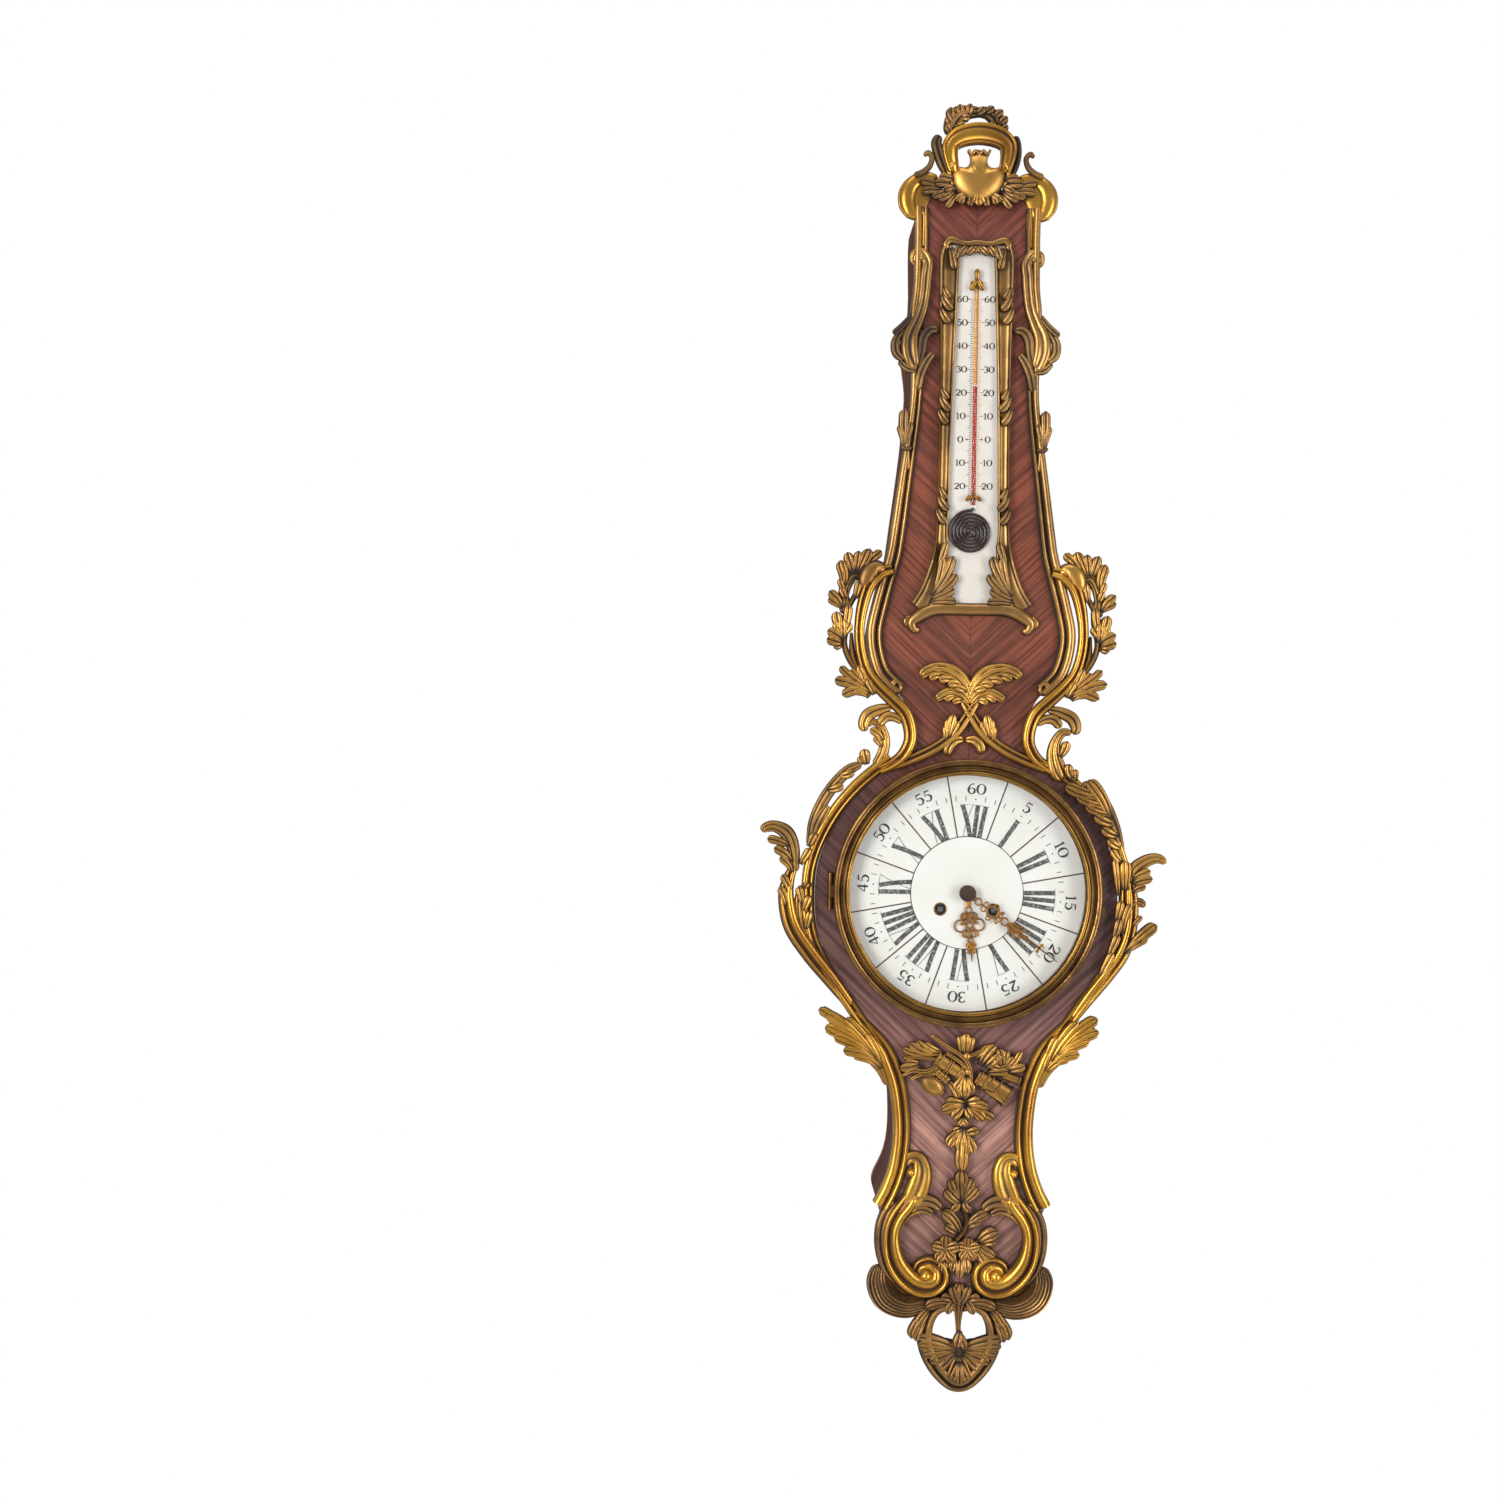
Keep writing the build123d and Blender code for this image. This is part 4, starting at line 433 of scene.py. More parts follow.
gilt_band = gilding("gilt_band", "e2ad4c", "b37e38", "432c1a", 0.52, 0.34)
gilt_leaf = gilding("gilt_leaf", "e3ad5a", "ab7d42", "2e2016", 0.58, 0.36)
gilt_dark = gilding("gilt_dark", "b88a50", "765737", "241a12", 0.62, 0.4)
gilt_neck = gilding("gilt_neck", "c89a5c", "8c6a42", "2a1e14", 0.58, 0.38)
print("gilt finishes", [material.name for material in bpy.data.materials if "gilt" in material.name])

# %% [markdown]
# The case is laid in veneer cut across the grain and matched in chevrons: from both sides the
# lines fall toward the middle, where the leaves meet in a dark seam. Mirroring the coordinate
# across makes both halves from one pattern. The foot is a pale pinkish purple, partly faded by
# light and partly painted sheen, and the wood round the dial is darker than the neck, so the
# colour also follows the height. A slightly paler diamond lies under the thermometer.

# %% Veneer of the front, and the plainer wood of the sides
def drawing_place(tree, place):
    """Across and up from the dial's centre in drawing units, and the place in metres, split."""
    split = wire(tree, "ShaderNodeSeparateXYZ", {0: place})
    up = math_node(tree, "DIVIDE", math_node(tree, "SUBTRACT", split.outputs[2], DIAL_Z), UNIT)
    across = math_node(tree, "DIVIDE", split.outputs[0], UNIT)
    return across, up, split


WOOD_LOW, WOOD_HIGH = -340, 560
# Tones up the front; the pale tone of the foot is partly painted sheen.
WOOD_TONES_AND_SHEEN = [(-340, "8c6358"), (-190, "b68677"), (-128, "94685f"), (-60, "75524d"), (70, "704b46"),
              (128, "824632"), (260, "8b4a33"), (400, "824331"), (545, "8e4b3c")]
DIAMOND_UP = 198.0
CHEVRON_DEGREES = 43


def build_veneer():
    material, tree, shader, place = new_material("chevron_veneer")
    across, up, split = drawing_place(tree, place)
    aside = math_node(tree, "ABSOLUTE", split.outputs[0])
    slant = math.radians(CHEVRON_DEGREES)
    along = math_node(tree, "ADD", math_node(tree, "MULTIPLY", aside, math.cos(slant)),
                      math_node(tree, "MULTIPLY", split.outputs[2], math.sin(slant)))
    over = math_node(tree, "SUBTRACT", math_node(tree, "MULTIPLY", split.outputs[2], math.cos(slant)),
                     math_node(tree, "MULTIPLY", aside, math.sin(slant)))
    grain = wire(tree, "ShaderNodeGroup", {"Along": along, "Across": over, "Strip": 0.023, "Fine": 620.0},
                 node_tree=grain_group)
    ramp = wire(tree, "ShaderNodeValToRGB", {0: span(tree, up, WOOD_LOW, WOOD_HIGH)})
    ramp.color_ramp.elements[0].position = 0.0
    ramp.color_ramp.elements[0].color = rgb(WOOD_TONES_AND_SHEEN[0][1])
    ramp.color_ramp.elements[1].position = 1.0
    ramp.color_ramp.elements[1].color = rgb(WOOD_TONES_AND_SHEEN[-1][1])
    for height, code in WOOD_TONES_AND_SHEEN[1:-1]:
        ramp.color_ramp.elements.new((height - WOOD_LOW) / (WOOD_HIGH - WOOD_LOW)).color = rgb(code)
    from_diamond = math_node(tree, "ABSOLUTE", math_node(tree, "SUBTRACT", up, DIAMOND_UP))
    patch = math_node(tree, "ADD", math_node(tree, "ABSOLUTE", across), from_diamond)
    paler = math_node(tree, "MULTIPLY", span(tree, patch, 22.0, 20.5), 0.16)
    base = mix_colour(tree, paler, ramp.outputs[0], rgb("9a5636"))
    tone = span(tree, grain.outputs["Tone"], 0, 1, 0.88, 1.12)
    strip_tone = wire(tree, "ShaderNodeCombineColor", {0: tone, 1: tone, 2: tone}).outputs[0]
    light = mix_colour(tree, 1.0, base, strip_tone, "MULTIPLY")
    dark = mix_colour(tree, 1.0, light, rgb("7d6660"), "MULTIPLY")
    streaked = mix_colour(tree, span(tree, grain.outputs["Streak"], 0.42, 0.6, 0.0, 0.7), light, dark)
    pores = math_node(tree, "MULTIPLY", grain.outputs["Pore"], 0.3)
    pored = mix_colour(tree, pores, streaked, rgb("2c1712"))
    middle = span(tree, math_node(tree, "ABSOLUTE", across), 0.55, 0.25)
    seam = math_node(tree, "MAXIMUM", math_node(tree, "MULTIPLY", grain.outputs["Seam"], 0.55),
                     math_node(tree, "MULTIPLY", middle, 0.5))
    tree.links.new(mix_colour(tree, seam, pored, rgb("22110d")), shader.inputs["Base Color"])
    haze = noise(tree, place, 26.0, 4.0)
    tree.links.new(span(tree, haze, 0.3, 0.7, 0.34, 0.5), shader.inputs["Roughness"])
    shader.inputs["Coat Weight"].default_value = 0.12
    shader.inputs["Coat Roughness"].default_value = 0.22
    bump(tree, shader, math_node(tree, "ADD", grain.outputs["Streak"],
                                 math_node(tree, "MULTIPLY", seam, -1.2)), 0.12, 0.0004)
    return material


def build_side_wood(name, low, high, strip):
    material, tree, shader, place = new_material(name)
    split = wire(tree, "ShaderNodeSeparateXYZ", {0: place})
    girth = math_node(tree, "ADD", math_node(tree, "ABSOLUTE", split.outputs[0]), split.outputs[1])
    grain = wire(tree, "ShaderNodeGroup", {"Along": split.outputs[2], "Across": girth, "Strip": strip,
                                           "Fine": 520.0}, node_tree=grain_group)
    colour = mix_colour(tree, span(tree, grain.outputs["Streak"], 0.35, 0.65), rgb(low), rgb(high))
    pores = math_node(tree, "MULTIPLY", grain.outputs["Pore"], 0.35)
    colour = mix_colour(tree, pores, colour, rgb("2b1a16"))
    tree.links.new(colour, shader.inputs["Base Color"])
    tree.links.new(span(tree, noise(tree, place, 30.0), 0.3, 0.7, 0.38, 0.55), shader.inputs["Roughness"])
    bump(tree, shader, grain.outputs["Streak"], 0.12, 0.0004)
    shader.inputs["Specular IOR Level"].default_value = 0.0
    return material


veneer = build_veneer()
side_wood = build_side_wood("side_wood", "523a33", "684d44", 0.4)
pine = build_side_wood("pine_back", "7a5634", "9a7248", 0.09)
print("woods", veneer.name, side_wood.name, pine.name)

# %% [markdown]
# The dial's plaques and the thermometer's plate are white enamel fired on copper: almost level,
# glassy, a little grey, with fine specks and faint warm clouds. The painted numerals have worn to
# a mottled grey. Turned brass shows fine rings round the dial's centre, which noise on the
# distance from the centre gives.

# %% Enamel, paint, brass, steel and glass
def build_enamel(name, clean, stained):
    material, tree, shader, place = new_material(name)
    cloud = noise(tree, place, 22.0, 3.0)
    colour = mix_colour(tree, span(tree, cloud, 0.3, 0.7), rgb(clean), rgb(stained))
    speck = span(tree, noise(tree, place, 900.0, 2.0), 0.74, 0.8)
    colour = mix_colour(tree, math_node(tree, "MULTIPLY", speck, 0.35), colour, rgb("b9b3a8"))
    tree.links.new(colour, shader.inputs["Base Color"])
    tree.links.new(span(tree, cloud, 0.3, 0.7, 0.16, 0.24), shader.inputs["Roughness"])
    shader.inputs["Coat Weight"].default_value = 0.3
    bump(tree, shader, noise(tree, place, 46.0, 2.0), 0.06, 0.001)
    return material


def build_paint(name, dark, worn, share):
    material, tree, shader, place = new_material(name)
    patch = noise(tree, place, 380.0, 4.0, 0.6)
    colour = mix_colour(tree, span(tree, patch, share, share + 0.12), rgb(dark), rgb(worn))
    tree.links.new(colour, shader.inputs["Base Color"])
    tree.links.new(span(tree, patch, 0.3, 0.7, 0.35, 0.6), shader.inputs["Roughness"])
    return material


def build_turned(name, bright, dull, centre_z, rough=0.34):
    """Metal turned on a lathe: rings of fine lines about the line of sight."""
    material, tree, shader, place = new_material(name)
    split = wire(tree, "ShaderNodeSeparateXYZ", {0: place})
    up = math_node(tree, "SUBTRACT", split.outputs[2], centre_z)
    flat = wire(tree, "ShaderNodeCombineXYZ", {0: split.outputs[0], 1: up})
    reach = wire(tree, "ShaderNodeVectorMath", {0: flat.outputs[0]}, operation="LENGTH").outputs["Value"]
    ring = wire(tree, "ShaderNodeCombineXYZ", {0: math_node(tree, "MULTIPLY", reach, 2600.0),
                                               1: math_node(tree, "MULTIPLY", split.outputs[1], 2600.0)})
    lines = noise(tree, ring.outputs[0], 1.0, 3.0, 0.7)
    cloud = noise(tree, place, 28.0, 4.0, 0.62)
    stain = span(tree, math_node(tree, "MULTIPLY_ADD", lines, 0.35, cloud), 0.52, 0.86, smooth=True)
    tree.links.new(mix_colour(tree, stain, rgb(bright), rgb(dull)), shader.inputs["Base Color"])
    shader.inputs["Metallic"].default_value = 0.95
    tree.links.new(math_node(tree, "MULTIPLY_ADD", stain, 0.2, rough - 0.08), shader.inputs["Roughness"])
    bump(tree, shader, lines, 0.1, 0.0002)
    return material


def build_glass(name, colour, rough):
    material, tree, shader, place = new_material(name)
    shader.inputs["Base Color"].default_value = rgb(colour)
    shader.inputs["Metallic"].default_value = 0.0
    shader.inputs["Transmission Weight"].default_value = 1.0
    shader.inputs["IOR"].default_value = 1.45
    smear = noise(tree, place, 60.0, 3.0)
    tree.links.new(span(tree, smear, 0.4, 0.8, rough, rough + 0.03), shader.inputs["Roughness"])
    path = wire(tree, "ShaderNodeLightPath")
    passing = math_node(tree, "MAXIMUM", path.outputs["Is Shadow Ray"], path.outputs["Is Diffuse Ray"])
    clear = wire(tree, "ShaderNodeBsdfTransparent", {"Color": (0.97, 0.98, 0.98, 1)})
    either = wire(tree, "ShaderNodeMixShader", {0: passing})
    tree.links.new(shader.outputs[0], either.inputs[1])
    tree.links.new(clear.outputs[0], either.inputs[2])
    tree.links.new(either.outputs[0], tree.nodes["Material Output"].inputs["Surface"])
    return material


enamel = build_enamel("white_enamel", "f8f4ee", "f0ebe2")
plate_enamel = build_enamel("plate_enamel", "e2ddd4", "d6cfc4")
numeral_paint = build_paint("numeral_paint", "474441", "9a958e", 0.5)
fine_paint = build_paint("fine_paint", "2c2825", "5c554c", 0.6)
joint_paint = build_paint("joint_paint", "3a281b", "644a32", 0.5)
red_paint = build_paint("red_paint", "a32a1c", "c4573f", 0.6)
ochre_paint = build_paint("ochre_paint", "c98a3a", "d9a75e", 0.5)
ring_brass = build_turned("ring_brass", "a07a48", "66492c", DIAL_Z, 0.34)
plate_brass = build_turned("plate_brass", "c9a052", "8d6c35", DIAL_Z, 0.34)
bell_metal = build_turned("bell_metal", "a98a55", "6e5836", DIAL_Z, 0.38)
hand_gilt = build_turned("hand_gilt", "b07a2e", "7d5422", DIAL_Z, 0.36)
collet_bronze = build_turned("collet_bronze", "5c4432", "33261d", DIAL_Z, 0.5)
steel = build_turned("steel_parts", "9a9a9e", "5d5a58", DIAL_Z, 0.35)
clear_glass = build_glass("clear_glass", "fbfdfd", 0.0)
print("materials", len(bpy.data.materials))


# %% [markdown]
# Wood, enamel, glass and the movement are already true in the CAD model, so they only take a finish
# here. To draw them again would add nothing.

# %% The CAD nodes that stay in view get their finish
def finish_node(material, *names):
    for name in names:
        nodes[name].data.materials.clear()
        nodes[name].data.materials.append(material)


def build_bulb_glass():
    material, tree, shader, place = new_material("dark_bulb")
    streak = noise(tree, place, 160.0, 3.0)
    tree.links.new(mix_colour(tree, streak, rgb("1c0f0c"), rgb("3a2420")), shader.inputs["Base Color"])
    tree.links.new(span(tree, streak, 0.3, 0.7, 0.16, 0.3), shader.inputs["Roughness"])
    shader.inputs["Coat Weight"].default_value = 0.5
    return material


finish_node(veneer, "front_panel")
finish_node(side_wood, "case_sides")
finish_node(pine, "back_board")
finish_node(enamel, "hour_plaques", "centre_plaque")
finish_node(plate_enamel, "thermometer_plate")
finish_node(build_paint("joint_filler", "4a3322", "6d4c30", 0.5), "dial_plate")
finish_node(build_bulb_glass(), "thermometer_bulb")
finish_node(clear_glass, "thermometer_tube", "bezel_glass")
finish_node(ring_brass, "dial_ring", "bezel_ring")
finish_node(plate_brass, "movement_front_plate", "movement_back_plate", "centre_wheel",
            "third_wheel", "escape_wheel", "minute_wheel", "hour_wheel", "going_barrel",
            "strike_barrel", "pendulum_bob")
finish_node(bell_metal, "bell")
finish_node(steel, "hanger_plate", "hanger_screws", "back_screws", "bezel_pin", "cannon_pinion",
            "going_winder", "strike_winder", "pallet_arbor", "pendulum", "hammer")
finish_node(collet_bronze, "hand_collet")

# %% [markdown]
# ## Edge mouldings
# The mouldings that frame the wood are one rule: a section with a broad bright band, a groove
# and a narrow bead, drawn along a line. That is the work of Geometry Nodes' Curve to Mesh, so
# one tree makes them all. The line carries its own half width, so a band can taper into a
# scroll, and the section carries its relief, which the tree hands on to the mesh.

# %% The tree that draws a section along a line
def geometry_tree(name, inputs, output):
    """An empty Geometry Nodes tree with named inputs, as (name, kind), and one output."""
    tree = bpy.data.node_groups.new(name, "GeometryNodeTree")
    for title, kind in inputs:
        tree.interface.new_socket(title, in_out="INPUT", socket_type="NodeSocket" + kind)
    tree.interface.new_socket(output, in_out="OUTPUT", socket_type="NodeSocketGeometry")
    return tree, tree.nodes.new("NodeGroupInput"), tree.nodes.new("NodeGroupOutput")


def coat_and_give(tree, geometry, given, result):
    """The last nodes of each tree: its geometry made real, in the finish that was asked for."""
    real = wire(tree, "GeometryNodeRealizeInstances", {"Geometry": geometry})
    coated = wire(tree, "GeometryNodeSetMaterial", {"Geometry": real.outputs[0],
                                                    "Material": given.outputs["Finish"]})
    tree.links.new(coated.outputs[0], result.inputs[0])


def build_moulding_tree():
    tree, given, result = geometry_tree(
        "Moulding along a line",
        (("Line", "Geometry"), ("Section", "Object"), ("Width", "Float"), ("Finish", "Material")),
        "Moulding")
    line = wire(tree, "GeometryNodeMeshToCurve", {"Mesh": given.outputs["Line"]})
    upright = wire(tree, "GeometryNodeSetCurveNormal", {"Curve": line.outputs[0]}, mode="Z_UP")
    drawn = wire(tree, "GeometryNodeObjectInfo", {"Object": given.outputs["Section"]})
    section = wire(tree, "GeometryNodeMeshToCurve", {"Mesh": drawn.outputs["Geometry"]})
    half = wire(tree, "GeometryNodeInputNamedAttribute", {"Name": "half_width"}, data_type="FLOAT")
    scale = math_node(tree, "MULTIPLY", half.outputs[0], given.outputs["Width"])
    swept = wire(tree, "GeometryNodeCurveToMesh", {"Curve": upright.outputs[0],
                                                   "Profile Curve": section.outputs[0], "Scale": scale,
                                                   "Fill Caps": True})
    stood = wire(tree, "GeometryNodeTransform", {"Geometry": swept.outputs[0]})
    stood.inputs["Rotation"].default_value = (math.radians(90), 0, 0)
    coat_and_give(tree, stood.outputs[0], given, result)
    return tree


moulding_tree = build_moulding_tree()


def socket_of(tree, title):
    return next(i.identifier for i in tree.interface.items_tree if i.name == title and i.in_out == "INPUT")


def section_object(name, section):
    """A closed outline in the plane, as a mesh of edges with its relief."""
    mesh = bpy.data.meshes.new(name)
    count = len(section)
    edges = [(i, (i + 1) % count) for i in range(count)]
    mesh.from_pydata([(-u, -h, 0) for u, h in section[:, :2]], edges, [])
    relief = mesh.attributes.new("relief", "FLOAT", "POINT")
    relief.data.foreach_set("value", section[:, 2].astype(np.float32))
    made = bpy.data.objects.new(name, mesh)
    bpy.context.scene.collection.objects.link(made)
    return made


def run_tree(name, mesh, tree, values):
    """Runs a Geometry Nodes tree on a mesh and gives the result as a plain mesh."""
    holder = bpy.data.objects.new(name, mesh)
    bpy.context.scene.collection.objects.link(holder)
    modifier = holder.modifiers.new("maker", "NODES")
    modifier.node_group = tree
    for title, value in values.items():
        modifier[socket_of(tree, title)] = value
    bpy.context.view_layer.update()
    made = bpy.data.meshes.new_from_object(holder.evaluated_get(bpy.context.evaluated_depsgraph_get()))
    holder.modifiers.remove(modifier)
    bpy.data.objects.remove(holder)
    made.name = name
    return made


def moulding_mesh(name, lines, section, material, closed=False):
    """Lines are (places, half widths, levels, side), all in drawing units."""
    spots, edges, widths = [], [], []
    for places, half, lift, side in lines:
        first, count = len(spots), len(places)
        half = np.broadcast_to(np.asarray(half, float), count)
        lift = np.broadcast_to(np.asarray(lift, float), count)
        for (x, z), w, out in zip(places[:, :2], half, lift):
            spots.append((side * x * UNIT, DIAL_Z + z * UNIT, out * UNIT - PANEL_Y))
            widths.append(w)
        edges += [(first + i, first + (i + 1) % count) for i in range(count if closed else count - 1)]
    mesh = bpy.data.meshes.new(name)
    mesh.from_pydata(spots, edges, [])
    mesh.attributes.new("half_width", "FLOAT", "POINT").data.foreach_set("value", widths)
    made = run_tree(name, mesh, moulding_tree, {"Section": section, "Width": UNIT, "Finish": material})
    finish_mesh(made)
    return made


band_section = section_object("band_section", BAND)
round_section = section_object("round_section", ROUND)
print("moulding tree inputs", [i.name for i in moulding_tree.interface.items_tree])

# %% [markdown]
# The neck's band runs from the shoulder's scroll down to a small foot over the waist. Its broad
# side faces out. A second, S-shaped band with a curled top rides on it, and ends below in a few
# curled tips.

# %% Neck, dial and foot mouldings
NECK_LINE = [(43.5, 530), (43, 505), (43.5, 470), (45.4, 452), (45.9, 437), (45.9, 420), (44.7, 400),
             (45.3, 380), (47.3, 360), (52.4, 320), (57.4, 280), (60.4, 260), (65.9, 240), (70.9, 220),
             (74.4, 202), (73.2, 186), (68.5, 171), (61, 162), (55, 157)]
DIAL_LINE = [(60, 103), (72, 94), (88, 79.5), (102.5, 61.5), (114.3, 40), (121.5, 18), (123, -4.5),
             (121.3, -26.5), (115, -46.5), (103.3, -67.3), (88.4, -88.8), (73.8, -109.8), (65, -123)]
FOOT_LINE = [(86, -95), (73, -108), (63, -120), (56.5, -133), (50.8, -150), (47.6, -172), (47.2, -192),
             (50, -213), (55.5, -230), (62, -243)]

BAND_HALVES = [("neck_moulding", NECK_LINE, 200, (240, 290, 380, 410, 490), (6.8, 6.2, 4.8, 5.2, 5.8)),
               ("dial_band", DIAL_LINE, 160, (-120, 100), (5.0, 5.0)),
               ("foot_moulding", FOOT_LINE, 120, (-240, -130, -96), (7.6, 7.2, 4.0))]
SIDES = (("right", 1), ("left", -1))
for name, rows, steps, heights, halves in BAND_HALVES:
    finish = gilt_neck if name == "neck_moulding" else gilt_band
    for side_name, side in SIDES:
        line = smooth_line(rows, steps)[::-side]
        half = np.interp(line[:, 1], heights, halves)
        mesh = moulding_mesh(f"{name}_{side_name}_band", [(line, half, 0.0, side)], band_section, finish)
        add_piece(f"{name}_{side_name}_band", mesh, "case", [f"{name}_{side_name}"])

# %% [markdown]
# ## Cast leaves and scrolls
# Each group below is one casting, drawn for the right side and mirrored for the left where the
# real pair matches. Lines are read from the front, in drawing units. Where leaves of the two
# sides differ, each side has its own line.

# %% Spirals, and round-ended rolls
def whorl(x, z, first, last, start_degrees, turns, steps=40):
    """A spiral line round a place."""
    turn = np.radians(start_degrees + 360 * turns * np.linspace(0, 1, steps))
    reach = np.linspace(first, last, steps)
    return np.stack([x + reach * np.cos(turn), z + reach * np.sin(turn)], 1)


def roll(carving, rows, rise=1.2, lift=0.6, section=ROUND, side=1, steps=50, shade=1.0, curl=0.0):
    """A round-ended limb along rows of (across, up, half width). Its end may curl away from the wood."""
    even = np.linspace(0, 1, steps)
    share = 0.6 * even + 0.2 * (1 - np.cos(np.pi * even))
    dense = smooth_line(rows, 4 * steps)
    line = np.stack([np.interp(share, np.linspace(0, 1, 4 * steps), column) for column in dense.T], 1)
    run = np.concatenate([[0], np.cumsum(np.hypot(*np.diff(line[:, :2], axis=0).T))])
    for reach, half in ((run, line[0, 2]), (run[-1] - run, line[-1, 2])):
        line[:, 2] *= np.sqrt(1 - np.clip(0.98 - reach / half, 0, 1) ** 2)
    carving.limb(line, line[:, 2], line[:, 2] * rise, lift + curl * share ** 3, section, side, shade)


# %% [markdown]
# On each side of the neck a furrowed S scroll rides on the band. It ends below in small curls, with
# a bud under them. A line with a changing width carves the scroll, and the curls are rolls whose
# ends lift off the wood.

# %% The neck's S scrolls with their curled ends, and a bud lower down
S_LINE = [(43.4, 489, 1.6), (46, 486, 2.2), (49.2, 488.4, 2.8), (48.4, 493.8, 3.4), (42.6, 494.4, 4.0),
          (38.4, 487, 4.6), (39.3, 477, 5.0), (40.2, 465, 4.9), (42, 452.5, 4.9), (46, 441, 5.4),
          (50.6, 430, 6.8), (51.2, 418.6, 7.4), (48.6, 409.4, 6.2), (45.6, 404, 3.6)]
NECK_CURLS = [
    ([(45, 404, 2.6), (42, 417, 3.6), (40.6, 428, 4.2), (36, 434, 4.0), (29.6, 434.6, 2.8)], 0.4),
    ([(44.6, 388, 3.2), (42.4, 400, 3.8), (38, 410, 3.6), (33, 416.4, 2.6)], 0.6),
    ([(49, 447, 2.2), (56, 438.6, 2.6), (64, 430.6, 2.9)], 0.5),
    ([(56, 436, 2.0), (62, 426, 3.4), (61.4, 416.4, 3.6), (56, 410.6, 2.2)], 0.7),
    ([(59.4, 410.4, 2.0), (53, 404.6, 3.0), (46, 402.6, 2.0)], 0.6)]
BUD = [(51.5, 342, 49, 363, 2.2, -1), (53, 342, 54.4, 373, 3.0, -1), (54, 342, 58.4, 361, 2.2, 1)]


def carve_neck(side):
    carving = Carving()
    roll(carving, S_LINE, 0.9, 1.6, FURROW, side, 120)
    carving.button(43.6, 489.6, 2.4, 4.5, 3.0, side)
    for rows, shade in NECK_CURLS:
        roll(carving, rows, 1.1, 2.6, FURROW, side, 26, shade, 2.0)
    roll(carving, [(50.5, 326, 1.6), (51.6, 336, 2.6), (52.2, 346, 3.0)], 1.6, 1.0, ROUND, side, 16)
    roll(carving, [(48, 343.5, 1.4), (52.5, 342, 1.9), (57, 344.5, 1.4)], 1.5, 4.2, ROUND, side, 9, 0.5)
    frond(carving, BUD, side, 2.0)
    carving.limb(smooth_line(whorl(56, 158.5, 5.0, 1.6, 80, -0.9), 30), np.linspace(3.2, 1.7, 30), 5.2,
                 0.4, ROUND, side)
    return carving


for side_name, side in SIDES:
    cast(f"neck_scroll_{side_name}", carve_neck(side), gilt_neck)

# %% [markdown]
# A thick scroll rolls over each shoulder, with a thin curled hook on top. Sculpting would do it
# too, but a roll along one drawn line keeps its taper and its curl in a short list.

# %% Shoulder scrolls
SHOULDER_ROLL = [(31, 551.5, 3.2), (38, 553, 4.6), (46, 551.5, 5.6), (52.6, 545, 6.4), (54.6, 535.6, 6.4),
                 (52, 527, 5.6), (46.4, 524.5, 4.2), (43.6, 529, 3.0), (46, 533.6, 2.2),
                 (48.8, 531.4, 1.4)]
HOOK_LINE = [(50, 553, 3.0), (43.5, 556, 2.6), (38.2, 561, 2.3), (36.4, 567.6, 2.1), (39.6, 571.6, 2.0),
             (42.4, 568.6, 1.7)]
SHOULDER_PLATE = [(30, 551), (38, 556), (48, 555), (56, 548), (58, 538), (54, 527), (47, 523), (41, 527),
                  (36, 537)]


def carve_shoulder(side):
    carving = Carving()
    carving.cushion(smooth_line(SHOULDER_PLATE + SHOULDER_PLATE[:1], 40)[:-1], 2.6, 0.4, side, shade=0.8)
    roll(carving, SHOULDER_ROLL, 0.8, 0.6, ROUND, side, 90)
    roll(carving, HOOK_LINE, 1.2, 4.0, ROUND, side, 40, 0.3)
    roll(carving, [(47, 555, 1.2), (55.4, 550, 1.3), (60.4, 541, 1.3), (59.8, 530, 1.2),
                   (53.6, 521.5, 1.0)], 1.6, 1.2, ROUND, side, 36, 0.6)
    carving.limb(smooth_line([(43, 526), (43, 512), (43.2, 500)], 12), 5.2, 3.4, 0.0, BAND, -side)
    return carving


for side_name, side in SIDES:
    cast(f"shoulder_{side_name}", carve_shoulder(side), gilt_band, [f"shoulder_scroll_{side_name}"])

# %% [markdown]
# The crest is an arch with a hollow face, a twisted garland over it, sprays of laurel and a plain
# shield. Arch and shield are even, so half of each is drawn and mirrored. The garland is not even,
# so it is drawn whole.

# %% Crest: arch, garland, sprays and shield
ARCH_LINE = [(19, 557, 3.8), (20.8, 564, 4.8), (22, 571, 5.6), (21, 578, 6.4), (13.4, 583.6, 7.4),
             (0, 586, 7.8)]
GARLAND_BODY = [
    ([(-23.6, 585, 3.4), (-22, 593, 6.0), (-17, 600.6, 7.2), (-9, 603.4, 5.4), (0, 603.4, 3.8),
      (6, 600, 2.0)], 2.2),
    ([(17.6, 586, 3.0), (15.6, 593, 4.8), (11, 600.4, 5.6), (4, 604, 4.4), (-3, 602, 2.4)], 1.2)]
GARLAND = [(-20, 590, -26, 599, 2.6), (-20, 594, -22.6, 605.6, 3.0, 1), (-14, 597, -16, 608, 3.0),
           (-9, 600, -7.6, 608.6, 2.8), (-14, 598, -8, 598.4, 2.6), (-18, 592, -12, 594, 2.6, -1),
           (-3, 601.4, 3, 606.6, 2.6, -1), (4, 602, 10.6, 606.4, 2.6), (11, 599, 17.4, 604, 2.6),
           (15, 594, 21, 599, 2.6), (17, 589, 21.4, 592.4, 2.4), (12, 596, 9, 592.6, 2.2),
           (-22, 586, -26, 592, 2.4)]
ARCH_CURLS = {1: [(23, 552, 2.6), (27, 562, 4.0), (29, 572, 4.2), (28.4, 581, 3.8), (26, 585, 3.0)],
              -1: [(23, 553, 2.6), (27.6, 563, 4.4), (31, 572, 4.6), (33, 580, 4.2), (30, 585, 3.4)]}
